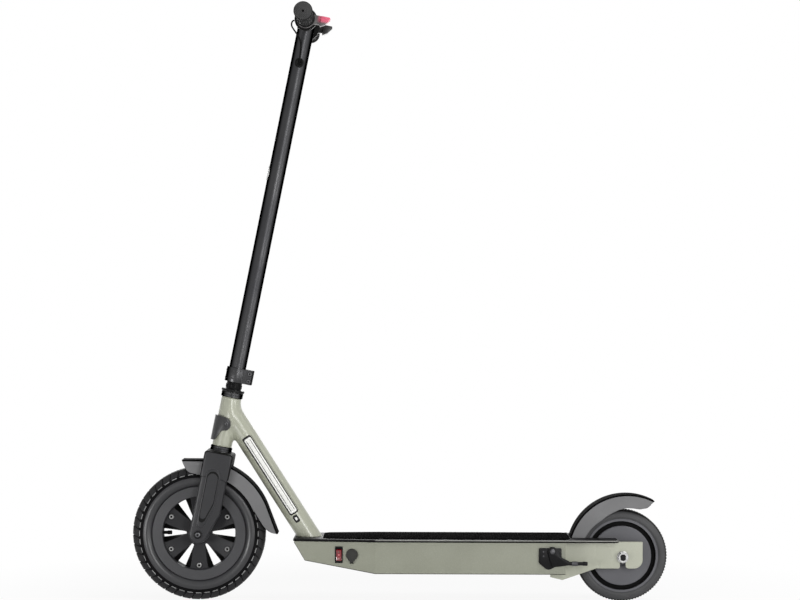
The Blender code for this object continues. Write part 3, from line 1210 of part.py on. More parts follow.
def build_charge_port(finish, tray):
    """Build the charging socket in the left nose wall and its hinged cap."""
    wall_face = nose_frame("charge_frame", CHARGE_FROM_TIP, CHARGE_BELOW_DECK)
    hole = rod(CHARGE_BODY_RADIUS + GAP, -2 * TRAY_WALL, 2 * TRAY_WALL)
    cut(tray, place("charge_hole", hole, wall_face))
    outer = -GAP - CHARGE_FLANGE
    profile = [(0, CHARGE_DEPTH), (CHARGE_BODY_RADIUS, CHARGE_DEPTH), (CHARGE_BODY_RADIUS, -GAP),
               (CHARGE_FLANGE_RADIUS, -GAP), (CHARGE_FLANGE_RADIUS, outer), (CHARGE_BORE, outer),
               (CHARGE_BORE, CHARGE_DEPTH - CHARGE_FLOOR), (0, CHARGE_DEPTH - CHARGE_FLOOR)]
    socket = place("charge_socket", turned(profile, SMALL), wall_face, finish["black"])
    tab = box((-CAP_TAB_HALF, outer + CAP_STRAP_INSET, -CAP_HINGE_DROP - CAP_TAB_HALF),
              (CAP_TAB_HALF, -GAP - CAP_STRAP_INSET, -CHARGE_BORE - 2 * EDGE))
    join(socket, place("charge_tab", tab, wall_face))
    axis_y = outer - GAP - CAP_THICKNESS / 2
    hinge = frame("charge_cap_axis", (0, axis_y, -CAP_HINGE_DROP), parent=wall_face)
    half = CAP_THICKNESS / 2
    plug, end = CHARGE_BORE - RUNNING_GAP, half + CAP_PLUG
    profile = [(0, end), (plug - CAP_EDGE, end), (plug, end - CAP_EDGE), (plug, half),
               (CAP_RADIUS, half), (CAP_RADIUS, CAP_EDGE - half), (CAP_RADIUS - CAP_EDGE, -half),
               (0, -half)]
    cap = place("charge_cap", turned(profile, 24), hinge, finish["rubber"],
                at=(0, 0, CAP_HINGE_DROP))
    strap = box((-CAP_TAB_HALF, -half + CAP_STRAP_INSET, 0),
                (CAP_TAB_HALF, half - CAP_STRAP_INSET, CAP_HINGE_DROP - CAP_RADIUS + 2 * EDGE))
    join(cap, place("charge_strap", strap, hinge),
         place("charge_knuckle", rod(half, -CAP_TAB_HALF, CAP_TAB_HALF, 12, "X"), hinge))


def build_gland(finish, tray):
    """Build the gland for the motor lead in the tray's rear wall."""
    spot = (TRAY_REAR_X, GLAND_Y, DECK_HEIGHT - GLAND_BELOW_DECK)
    through = TRAY_WALL + GLAND_TAIL
    cut(tray, place("gland_hole", rod(GLAND_NECK + GAP, -through, through, SMALL, "X"), at=spot))
    profile = [(GLAND_BORE, -through), (GLAND_NECK, -through), (GLAND_NECK, GAP),
               (GLAND_RADIUS, GAP), (GLAND_RADIUS, GLAND_COLLAR), (GLAND_NECK, GLAND_LENGTH),
               (GLAND_BORE, GLAND_LENGTH)]
    place("motor_lead_gland", turned(profile, SMALL, "X"), finish=finish["rubber"], at=spot)


def build_kickstand(finish, tray):
    """Build the kickstand's bracket, pivot bolt and folded leg on the left side."""
    face = -TRAY_WIDTH / 2 - GAP
    pivot = frame("kickstand_axis", (TRAY_REAR_X - KICKSTAND_FROM_REAR, face,
                                     DECK_HEIGHT - KICKSTAND_BELOW_DECK))
    bracket = [(-BRACKET_FRONT, BRACKET_UP), (BRACKET_REAR, BRACKET_UP),
               (BRACKET_REAR, -BRACKET_SIDE_DROP), (BRACKET_POINT[1], -BRACKET_POINT_DROP),
               (BRACKET_POINT[0], -BRACKET_POINT_DROP), (-BRACKET_FRONT, -BRACKET_SIDE_DROP)]
    plate = place("kickstand_bracket", prism(bracket, -BRACKET_THICKNESS, 0), pivot,
                  finish["metal"])
    bore = STAND_BOLT_RADIUS + GAP
    through = 2 * (BRACKET_THICKNESS + TRAY_WALL)
    cut(plate, place("bracket_hole", rod(bore, -through, through), pivot))
    cut(tray, place("stand_bolt_hole", rod(bore, -through, through), pivot))
    inner = -BRACKET_THICKNESS - GAP
    outer = inner - STAND_THICKNESS
    blade = arc(0, 0, LEG_HUB_RADIUS, 60, 200, 8) + list(STAND_BLADE)
    leg = place("kickstand_leg", prism(blade, outer, inner), pivot, finish["metal"])
    line = Matrix.Translation((0, (outer + inner) / 2, -STAND_DROP))
    shaft = rod(STAND_ROD_RADIUS, STAND_ROD_START, STAND_REACH, 12, "X")
    shaft.transform(line)
    collar = rod(STAND_COLLAR_RADIUS, *STAND_COLLAR, 12, "X")
    collar.transform(line)
    join(leg, place("stand_rod", shaft, pivot), place("stand_collar", collar, pivot))
    cut(leg, place("stand_bore", rod(bore, 2 * outer, -outer), pivot))
    head, tail = outer - GAP - STAND_HEAD_HEIGHT, TRAY_WALL + STAND_BOLT_TAIL
    bolt = [(0, head), (STAND_BOLT_HEAD - EDGE, head), (STAND_BOLT_HEAD, head + EDGE),
            (STAND_BOLT_HEAD, outer - GAP), (STAND_BOLT_RADIUS, outer - GAP),
            (STAND_BOLT_RADIUS, tail), (0, tail)]
    place("kickstand_bolt", turned(bolt, 16), pivot, finish["steel"])


def finishes():
    """Return the plain colours of the scooter by name."""
    return {
        "frame": paint("sage_paint", 0.40, 0.41, 0.33, 0.40),
        "column": paint("satin_black_paint", 0.012, 0.012, 0.012, 0.35),
        "dark": paint("dark_grey_paint", 0.035, 0.035, 0.037, 0.45),
        "fender": paint("grey_plastic", 0.070, 0.070, 0.072, 0.50),
        "motor": paint("dark_grey_steel", 0.035, 0.035, 0.037, 0.45),
        "black": paint("black_plastic", 0.010, 0.010, 0.010, 0.45),
        "metal": paint("black_metal", 0.010, 0.010, 0.010, 0.40),
        "wrap": paint("battery_wrap", 0.010, 0.010, 0.010, 0.40),
        "grey": paint("pale_grey_plastic", 0.25, 0.25, 0.25, 0.45),
        "rubber": paint("black_rubber", 0.012, 0.012, 0.012, 0.80),
        "tyre": paint("tyre_rubber", 0.030, 0.030, 0.031, 0.80),
        "steel": paint("bright_steel", 0.55, 0.55, 0.55, 0.30, 1.0),
        "red": paint("red_rocker", 0.50, 0.01, 0.02, 0.35),
        "white": paint("white_badge", 0.80, 0.80, 0.80, 0.40),
    }


for old in list(bpy.data.objects):
    bpy.data.objects.remove(old)

FINISH = finishes()
HEAD = frame("head_axis", (HEAD_X, 0, HEAD_Z), (0, STEERING_TILT, 0))
STEERING = frame("steering_axis", (HEAD_X, 0, HEAD_Z), (0, STEERING_TILT, 0))
FRONT = frame("front_axle_frame", (-AXLE_LEAD, 0, 0), (0, -STEERING_TILT, 0), STEERING)
FRONT_WHEEL = frame("front_wheel_axis", (-AXLE_LEAD, 0, 0), (0, -STEERING_TILT, 0), STEERING)
REAR_WHEEL = frame("rear_wheel_axis", (REAR_AXLE_X, 0, REAR_RADIUS))
BAR = frame("bar_frame", (0, 0, BAR_HEIGHT), parent=STEERING)
BRAKE = frame("brake_paddle_axis", (0, 0, BAR_HEIGHT), parent=STEERING)
THROTTLE = frame("throttle_paddle_axis", (0, 0, BAR_HEIGHT), parent=STEERING)
DOWN_TUBE_FOOT = frame("down_tube_axis", (TUBE_FOOT_X, 0, DECK_HEIGHT), (0, -LEAN, 0))

TRAY = build_deck(FINISH)
build_frame_tubes(FINISH, HEAD)
build_headset(FINISH, HEAD, STEERING)
build_fork(FINISH, STEERING, FRONT)
build_column(FINISH, STEERING, BAR)
build_bar(FINISH, BAR, BRAKE, THROTTLE)
build_lead(FINISH, BAR)
build_front_fender(FINISH, FRONT)
build_front_wheel(FINISH, FRONT_WHEEL)
build_rear_wheel(FINISH, REAR_WHEEL)
build_dropouts(FINISH)
build_rear_fender(FINISH, REAR_WHEEL)
build_power(FINISH)
build_switch(FINISH, TRAY)
build_charge_port(FINISH, TRAY)
build_gland(FINISH, TRAY)
build_kickstand(FINISH, TRAY)
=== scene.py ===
"""Looks of an electric kick scooter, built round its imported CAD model.

Lengths are in metres in the CAD's frame: +Z up, the front wheel towards -X, the
rider's left at -Y and the ground at z = 0. Each sub-assembly is a class that holds
its sizes, builds its meshes and dresses them in finishes from the wardrobe.
"""

import json
import logging
import math
from abc import ABC, abstractmethod
from collections.abc import Callable, Iterable, Sequence
from dataclasses import asdict, dataclass, field
from enum import Enum
from typing import Any

import bmesh
import bpy
import numpy as np
from mathutils import Matrix, Vector

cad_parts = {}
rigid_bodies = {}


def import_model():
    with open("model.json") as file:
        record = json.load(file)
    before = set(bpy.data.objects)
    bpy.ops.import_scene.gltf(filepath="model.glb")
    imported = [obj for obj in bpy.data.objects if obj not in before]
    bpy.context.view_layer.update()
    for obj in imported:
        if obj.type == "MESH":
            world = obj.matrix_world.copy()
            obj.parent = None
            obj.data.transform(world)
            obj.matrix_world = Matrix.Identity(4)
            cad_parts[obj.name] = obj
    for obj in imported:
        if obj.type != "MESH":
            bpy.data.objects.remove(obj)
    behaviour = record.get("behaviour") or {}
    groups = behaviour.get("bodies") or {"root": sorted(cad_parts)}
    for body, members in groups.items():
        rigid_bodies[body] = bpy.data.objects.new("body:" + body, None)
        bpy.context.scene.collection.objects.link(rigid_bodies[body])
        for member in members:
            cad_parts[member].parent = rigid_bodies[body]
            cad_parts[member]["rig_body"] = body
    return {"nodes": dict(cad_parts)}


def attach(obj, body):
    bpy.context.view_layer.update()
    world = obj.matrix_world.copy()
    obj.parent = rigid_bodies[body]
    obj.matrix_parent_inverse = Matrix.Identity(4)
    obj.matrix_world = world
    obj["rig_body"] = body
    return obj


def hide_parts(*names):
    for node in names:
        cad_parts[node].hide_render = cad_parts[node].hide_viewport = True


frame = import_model()

LOG = logging.getLogger("scooter")
Pair = tuple[float, float]
Triple = tuple[float, float, float]
Profile = Sequence[Pair]
Heads = Sequence[tuple[Triple, Triple]]
Mesh = bpy.types.Mesh
Item = bpy.types.Object
Node = bpy.types.Node
Socket = bpy.types.NodeSocket
STILL = Matrix.Identity(4)


class Axis(Enum):
    """The axis that a shape is turned round or drawn along."""

    X = 0
    Y = 1
    Z = 2


class Side(Enum):
    """A side of the scooter, with the sign of its y."""

    LEFT = -1
    RIGHT = 1

    @property
    def tag(self) -> str:
        """The side's word in the names of pieces and nodes."""
        return self.name.lower()

    @property
    def way(self) -> Triple:
        """The direction that points out on this side."""
        return (0.0, float(self.value), 0.0)

    @property
    def turn(self) -> Matrix:
        """What turns a piece made for the right round the X axis to this side."""
        return Matrix.Rotation(0 if self is Side.RIGHT else math.pi, 4, "X")

    def span(self, first: float, second: float) -> Pair:
        """Return two distances from the middle plane as a rising range of y."""
        low, high = sorted((self.value * first, self.value * second))
        return low, high

    def mirror(self, points: Profile) -> list[Pair]:
        """Return (radius, y) points made for the right on this side."""
        return [(r, self.value * y) for r, y in points]


class Look(Enum):
    """The finishes that the pieces wear."""

    TRAY_ENAMEL = "dusty_sage_enamel"
    SAGE_ENAMEL = "sage_enamel"
    BLACK_ENAMEL = "satin_black_enamel"
    GREY_ENAMEL = "dark_grey_enamel"
    WEB_ENAMEL = "rim_web_enamel"
    LUG_RUBBER = "tread_lug_rubber"
    TREAD_RUBBER = "tyre_tread_rubber"
    RIM_ENAMEL = "rim_ring_enamel"
    WELL_ENAMEL = "rim_well_enamel"
    DECK_ENAMEL = "deck_black_enamel"
    RUBBED_ENAMEL = "deck_rubbed_enamel"
    MOTOR_ENAMEL = "motor_grey_enamel"
    FENDER_PLASTIC = "grey_moulded_plastic"
    FENDER_CREST = "dark_moulded_plastic"
    BLACK_PLASTIC = "black_moulded_plastic"
    COVER_PLASTIC = "wire_cover_plastic"
    THUMB_PLASTIC = "thumb_pad_plastic"
    TIPPED_PLASTIC = "red_tipped_plastic"
    BLACK_STEEL = "black_oxide_steel"
    DULL_STEEL = "phosphated_steel"
    BRIGHT_STEEL = "zinc_plated_steel"
    SEAL_RUBBER = "black_seal_rubber"
    GRIP_RUBBER = "grip_rubber"
    GRIP_FACE = "grip_end_rubber"
    MAT_RUBBER = "deck_mat_rubber"
    STUD_RUBBER = "scuffed_stud_rubber"
    CAP_RUBBER = "dark_grey_cap_rubber"
    FRONT_TYRE = "front_tyre_rubber"
    SCUFFED_RUBBER = "scuffed_lug_rubber"
    REAR_TYRE = "rear_tyre_rubber"
    LIT_ROCKER = "lit_red_acrylic"
    WHITE_VINYL = "white_vinyl_film"
    BLACK_VINYL = "black_vinyl_film"
    GREY_VINYL = "grey_vinyl_film"
    BADGE_ENAMEL = "white_badge_enamel"
    CELL_WRAP = "heat_shrink_wrap"


# ---------------------------------------------------------------- places

def at(x: float, y: float, z: float, turn: float = 0.0, axis: str = "Y") -> Matrix:
    """Return a place, turned by some degrees round one axis of its own."""
    return Matrix.Translation((x, y, z)) @ Matrix.Rotation(math.radians(turn), 4, axis)


def nose_place(x: float, y: float, z: float) -> Matrix:
    """Return a frame on the left nose wall: x runs along it and y into the tray."""
    return at(x, y, z, -7.3084, "Z")


BAR_HEIGHT = 0.9857
ROCKER_TILT = 9.0
FRONT_AXLE: Triple = (-0.3789, 0.0, 0.125)
REAR_AXLE: Triple = (0.4177, 0.0, 0.0862)
STEERING = at(-0.3704638, 0.0, 0.1233296, 11.2)
BAR = STEERING @ Matrix.Translation((0, 0, BAR_HEIGHT))
FRONT = Matrix.Translation(FRONT_AXLE)
REAR = Matrix.Translation(REAR_AXLE)
TUBE = at(-0.1713113, 0.0, 0.1195, -32.757)
ROCKER = nose_place(-0.1129117, -0.0658111, 0.0908) @ at(0, 0, 0, ROCKER_TILT, "X")
# Two painted highlights on the rocker's face, glowing as hot spots: one at its middle and one
# below
ROCKER_HIGHLIGHT_SPOTS = tuple(tuple(ROCKER @ Vector((0.0, -0.0078, z))) for z in (0.0006, -0.0060))


# ---------------------------------------------------------------- finishes

def linear(colour: str) -> tuple[float, float, float, float]:
    """Turn an sRGB hex colour into the linear one that Blender's sockets take.

    Args:
        colour: The colour as "#RRGGBB".

    Returns:
        Linear red, green, blue and full opacity.
    """
    shares = [int(colour[i:i + 2], 16) / 255 for i in (1, 3, 5)]
    straight = [s / 12.92 if s <= 0.04045 else ((s + 0.055) / 1.055) ** 2.4 for s in shares]
    return straight[0], straight[1], straight[2], 1.0


def per_mm(size: float) -> float:
    """Return the texture scale at which a pattern repeats about every size millimetres."""
    return 1000.0 / size


@dataclass
class Wiring:
    """Adds nodes to a tree and wires them up."""

    tree: bpy.types.NodeTree

    def wire(self, node: Node, inputs: dict[Any, Any]) -> None:
        """Set or link a node's inputs.

        Args:
            node: The node.
            inputs: A value, or an output socket to link, for each input's name or number.
        """
        for key, value in inputs.items():
            if isinstance(value, Socket):
                self.tree.links.new(value, node.inputs[key])
            else:
                node.inputs[key].default_value = value

    def add(self, kind: str, inputs: dict[Any, Any] | None = None, **settings: Any) -> Node:
        """Add a node.

        Args:
            kind: The node's type name.
            inputs: What goes into its inputs, as in wire.
            settings: The node's own properties.

        Returns:
            The new node.
        """
        node = self.tree.nodes.new(kind)
        for key, value in settings.items():
            setattr(node, key, value)
        self.wire(node, inputs or {})
        return node

    def math(self, operation: str, *values: float | Socket) -> Socket:
        """Return the result of a sum on numbers."""
        return self.add("ShaderNodeMath", dict(enumerate(values)),
                        operation=operation).outputs[0]

    def vector(self, operation: str, *values: Triple | Socket) -> Socket:
        """Return the result of a sum on vectors, which is a number for some of them."""
        node = self.add("ShaderNodeVectorMath", dict(enumerate(values)), operation=operation)
        return node.outputs[operation in ("LENGTH", "DISTANCE", "DOT_PRODUCT")]

    def noise(self, place: Socket, size_mm: float, detail: float, **more: float) -> Socket:
        """Return clouds of about a size."""
        return self.add("ShaderNodeTexNoise", {"Vector": place, "Scale": per_mm(size_mm),
                                               "Detail": detail, **more}).outputs[0]

    def cells(self, place: Socket, size_mm: float) -> Socket:
        """Return how far a point is from the middle of its cell."""
        return self.add("ShaderNodeTexVoronoi", {
            "Vector": place, "Scale": per_mm(size_mm)}).outputs["Distance"]

    def ramp(self, value: Socket, low: float, high: float, start: float = 0.0,
             end: float = 1.0, smooth: bool = False) -> Socket:
        """Map a value from one range to another.

        Args:
            value: The value.
            low: Where it gives start.
            high: Where it gives end.
            start: The first result.
            end: The last result.
            smooth: Whether both ends are eased.

        Returns:
            The result.
        """
        return self.add("ShaderNodeMapRange", {
            "Value": value, "From Min": low, "From Max": high, "To Min": start, "To Max": end},
            interpolation_type="SMOOTHSTEP" if smooth else "LINEAR").outputs[0]

    def mix(self, share: Socket, first: Socket | str, second: str) -> Socket:
        """Lay one colour over another.

        Args:
            share: How much of the second shows.
            first: The colour below, as a socket or as "#RRGGBB".
            second: The colour on top, as "#RRGGBB".

        Returns:
            The mixed colour.
        """
        return self.add("ShaderNodeMix", {
            0: share, 6: linear(first) if isinstance(first, str) else first, 7: linear(second)},
            data_type="RGBA").outputs[2]


@dataclass
class Skin(Wiring):
    """The wiring of a material, with its shader and object coordinates."""

    shader: Node = field(init=False)
    place: Socket = field(init=False)

    def __post_init__(self) -> None:
        """Find the shader and add the coordinates."""
        self.shader = self.tree.nodes["Principled BSDF"]
        self.place = self.add("ShaderNodeTexCoord").outputs["Object"]


@dataclass(frozen=True)
class Finish:
    """A surface with soft patches of colour, a fine grain and uneven gloss.

    Heights of the relief are in millimetres, as are all pattern sizes.
    """

    slot: str
    colour: str
    tint: str
    roughness: float
    patch_mm: float = 70.0
    grain_mm: float = 2.0
    grain_depth_mm: float = 0.02
    gloss_spread: float = 0.06
    specular: float = 0.5
    metallic: float = 0.0
    edge: str = "#FFFFFF"

    def build(self, name: str) -> bpy.types.Material:
        """Make the material.

        Args:
            name: What the material is called.

        Returns:
            The new node material.
        """
        material = bpy.data.materials.new(name)
        material.use_nodes = True
        skin = Skin(material.node_tree)
        patches = skin.noise(skin.place, self.patch_mm, 4.0)
        colour = skin.mix(skin.ramp(patches, 0.35, 0.68), self.colour, self.tint)
        gloss = skin.ramp(patches, 0.3, 0.7, max(0.05, self.roughness - self.gloss_spread),
                          min(1.0, self.roughness + self.gloss_spread))
        grain = skin.noise(skin.place, self.grain_mm, 3.0)
        height = self.relief(skin, skin.math("MULTIPLY", grain, self.grain_depth_mm))
        bump = skin.add("ShaderNodeBump", {"Strength": 1.0, "Distance": 0.001, "Height": height})
        skin.wire(skin.shader, {
            "Base Color": self.tone(skin, colour), "Roughness": gloss,
            "Normal": bump.outputs["Normal"], "Metallic": self.metallic,
            "Specular IOR Level": self.specular, "Specular Tint": linear(self.edge)})
        self.light(skin)
        return material

    def tone(self, skin: Skin, colour: Socket) -> Socket:
        """Return the colour as it is; other finishes lay their pattern over it."""
        return colour

    def relief(self, skin: Skin, height: Socket) -> Socket:
        """Return the grain's height as it is; other finishes add theirs to it."""
        return height

    def light(self, skin: Skin) -> None:
        """Leave the shader as it is; a finish with light or a clear coat sets it here."""


@dataclass(frozen=True)
class PowderCoat(Finish):
    """Baked powder enamel: a soft orange-peel skin with fine flecks in the colour."""

    fleck: str = "#FFFFFF"
    fleck_mm: float = 1.6
    fleck_share: float = 0.10
    peel_mm: float = 5.0
    peel_depth_mm: float = 0.03
    coat: float = 0.0

    def tone(self, skin: Skin, colour: Socket) -> Socket:
        """Sprinkle the flecks over the colour."""
        near = skin.ramp(skin.cells(skin.place, self.fleck_mm), 0.45, 0.10, end=self.fleck_share)
        return skin.mix(near, colour, self.fleck)

    def relief(self, skin: Skin, height: Socket) -> Socket:
        """Add the peel's slow waves to the grain."""
        waves = skin.noise(skin.place, self.peel_mm, 1.0)
        return skin.math("MULTIPLY_ADD", waves, self.peel_depth_mm, height)

    def light(self, skin: Skin) -> None:
        """Set the thin clear layer that the flow of the powder leaves on top."""
        skin.wire(skin.shader, {"Coat Weight": self.coat, "Coat Roughness": 0.22})


@dataclass(frozen=True)
class SatinCoat(PowderCoat):
    """Satin enamel with painted shade towards its outline, where the surface turns from the eye.
    """

    turned_from: float = 0.10
    turned_to: float = 0.45

    def tone(self, skin: Skin, colour: Socket) -> Socket:
        """Paint shade over the colour where the surface turns away.

        Args:
            skin: The material's wiring.
            colour: The colour so far.

        Returns:
            The dimmed colour.
        """
        facing = skin.add("ShaderNodeLayerWeight", {"Blend": 0.5}).outputs["Facing"]
        share = skin.ramp(facing, self.turned_from, self.turned_to, smooth=True)
        return skin.mix(share, super().tone(skin, colour), self.edge)


@dataclass(frozen=True)
class SparkedPlastic(Finish):
    """Plastic from a spark-eroded mould: an even fine stipple and faint flow lines."""

    stipple_mm: float = 1.5
    stipple_depth_mm: float = 0.05
    flow_mm: float = 26.0

    def relief(self, skin: Skin, height: Socket) -> Socket:
        """Add the mould's stipple to the grain."""
        pits = skin.cells(skin.place, self.stipple_mm)
        return skin.math("MULTIPLY_ADD", pits, self.stipple_depth_mm, height)

    def tone(self, skin: Skin, colour: Socket) -> Socket:
        """Lay the faint streaks of the melt's flow over the colour."""
        streaks = skin.noise(skin.place, self.flow_mm, 5.0, Distortion=1.6)
        return skin.mix(skin.ramp(streaks, 0.5, 0.75, end=0.35), colour, self.tint)


@dataclass(frozen=True)
class TyreRubber(Finish):
    """Cured tyre rubber: moulded rings round the axle, and a patchy band towards the tread,
    which is dust on most tyres and black painted shade on the rear one.
    """

    axle: Triple = (0.0, 0.0, 0.0)
    ring_mm: float = 2.6
    ring_depth_mm: float = 0.10
    ring_from: float = 0.090
    ring_to: float = 0.104
    ring_fade: float = 0.002
    dust: str = "#6A675F"
    dust_mm: float = 14.0
    dust_from: float = 0.112
    dust_to: float = 0.125
    dust_share: float = 0.25

    def radius(self, skin: Skin) -> Socket:
        """Return how far a point is from the axle's line."""
        centred = skin.vector("SUBTRACT", skin.place, self.axle)
        return skin.vector("LENGTH", skin.vector("MULTIPLY", centred, (1.0, 0.0, 1.0)))

    def relief(self, skin: Skin, height: Socket) -> Socket:
        """Add fine rings to the grain over one band of the sidewall.

        Args:
            skin: The material's wiring.
            height: The height so far, in millimetres.

        Returns:
            The height with the rings.
        """
        radius = self.radius(skin)
        turns = skin.math("MULTIPLY", radius, 2 * math.pi * per_mm(self.ring_mm))
        away = skin.math("SUBTRACT", radius, (self.ring_from + self.ring_to) / 2)
        half = (self.ring_to - self.ring_from) / 2
        band = skin.ramp(skin.math("ABSOLUTE", away), half, half - self.ring_fade,
                         end=self.ring_depth_mm)
        return skin.math("MULTIPLY_ADD", skin.math("SINE", turns), band, height)

    def tone(self, skin: Skin, colour: Socket) -> Socket:
        """Lay a patchy band over the colour where the tyre meets the road: dust, and on the rear
        tyre black painted shade.

        Args:
            skin: The material's wiring.
            colour: The colour so far.

        Returns:
            The dusty colour.
        """
        near = skin.ramp(self.radius(skin), self.dust_from, self.dust_to, end=self.dust_share)
        cloud = skin.noise(skin.place, self.dust_mm, 6.0)
        return skin.mix(skin.math("MULTIPLY", near, cloud), colour, self.dust)


@dataclass(frozen=True)
class KnurledRubber(Finish):
    """Soft rubber with a raised diamond pattern moulded into it."""

    pitch_mm: float = 3.2
    knurl_depth_mm: float = 0.25
    turn: Triple = (0.0, 0.0, math.radians(45))

    def relief(self, skin: Skin, height: Socket) -> Socket:
        """Add the diamonds to the grain.

        Args:
            skin: The material's wiring.
            height: The height so far, in millimetres.

        Returns:
            The height with the diamonds.
        """
        scale = (2 * math.pi * per_mm(self.pitch_mm),) * 3
        turned_place = skin.add("ShaderNodeMapping", {
            "Vector": skin.place, "Rotation": self.turn, "Scale": scale}).outputs[0]
        parts = skin.add("ShaderNodeSeparateXYZ", {0: turned_place}).outputs
        waves = [skin.math("SINE", part) for part in parts]
        other = skin.math("ADD", skin.math("MULTIPLY", waves[0], waves[1]), waves[2])
        return skin.math("MULTIPLY_ADD", other, self.knurl_depth_mm, height)


@dataclass(frozen=True)
class DrawnMetal(Finish):
    """Bare or plated metal with the fine lines that drawing or turning leaves."""

    line_mm: Triple = (0.5, 12.0, 0.5)
    line_depth_mm: float = 0.012
    stain: str = "#4A4640"
    stain_mm: float = 7.0
    stain_share: float = 0.25

    def relief(self, skin: Skin, height: Socket) -> Socket:
        """Add the drawn lines to the grain.

        Args:
            skin: The material's wiring.
            height: The height so far, in millimetres.

        Returns:
            The height with the lines.
        """
        stretched = skin.add("ShaderNodeMapping", {
            "Vector": skin.place, "Scale": tuple(map(per_mm, self.line_mm))}).outputs[0]
        lines = skin.noise(stretched, 1000.0, 3.0)
        return skin.math("MULTIPLY_ADD", lines, self.line_depth_mm, height)

    def tone(self, skin: Skin, colour: Socket) -> Socket:
        """Lay thin stains over the colour."""
        spots = skin.noise(skin.place, self.stain_mm, 6.0, Roughness=0.65)
        return skin.mix(skin.ramp(spots, 0.55, 0.8, end=self.stain_share), colour, self.stain)


@dataclass(frozen=True)
class LitAcrylic(Finish):
    """Clear-coloured acrylic that glows dimly, with painted highlights glowing as brighter hot
    spots.
    """

    glow: str = "#FF3A48"
    core: str = "#FFC2C8"
    lamps: tuple[Triple, ...] = ()
    lamp_radius: float = 0.0026
    core_radius: float = 0.0005
    faintest: float = 0.04
    strength: float = 0.6

    def light(self, skin: Skin) -> None:
        """Make the acrylic glow, most round each painted highlight and palest at its middle.

        Args:
            skin: The material's wiring.
        """
        near = [skin.ramp(skin.vector("DISTANCE", skin.place, highlight_spot), self.lamp_radius,
                          self.core_radius, smooth=True) for highlight_spot in self.lamps]
        nearest = skin.math("MAXIMUM", *near)
        skin.wire(skin.shader, {
            "Emission Color": skin.mix(nearest, self.glow, self.core),
            "Emission Strength": skin.ramp(nearest, 0.0, 1.0, self.faintest, self.strength),
            "Coat Weight": 0.6, "Coat Roughness": 0.08})


@dataclass(frozen=True)
class TippedPlastic(SparkedPlastic):
    """Two-shot plastic: one colour at the root and another at the upper tip."""

    tip: str = "#F0708A"
    back: Pair = (0.020, 0.030)
    up: Pair = (-0.0045, 0.0030)

    def tone(self, skin: Skin, colour: Socket) -> Socket:
        """Blend the tip's colour in, by the place in the handlebar's frame.

        Args:
            skin: The material's wiring.
            colour: The colour so far.

        Returns:
            The two-coloured result.
        """
        centred = skin.vector("SUBTRACT", skin.place, tuple(BAR.translation))
        shares = [skin.ramp(skin.vector("DOT_PRODUCT", centred, tuple(BAR.col[axis.value][:3])),
                            *ends, smooth=True)
                  for axis, ends in ((Axis.X, self.back), (Axis.Z, self.up))]
        return skin.mix(skin.math("MULTIPLY", *shares), super().tone(skin, colour), self.tip)


@dataclass(frozen=True)
class PrintedFilm(Finish):
    """Printed vinyl film: even colour with tiny pinholes and a soft skin."""

    speck: str = "#8A8A86"
    speck_mm: float = 2.2

    def tone(self, skin: Skin, colour: Socket) -> Socket:
        """Sprinkle pinholes over the colour."""
        dots = skin.noise(skin.place, self.speck_mm, 4.0)
        return skin.mix(skin.ramp(dots, 0.62, 0.72, end=0.3), colour, self.speck)


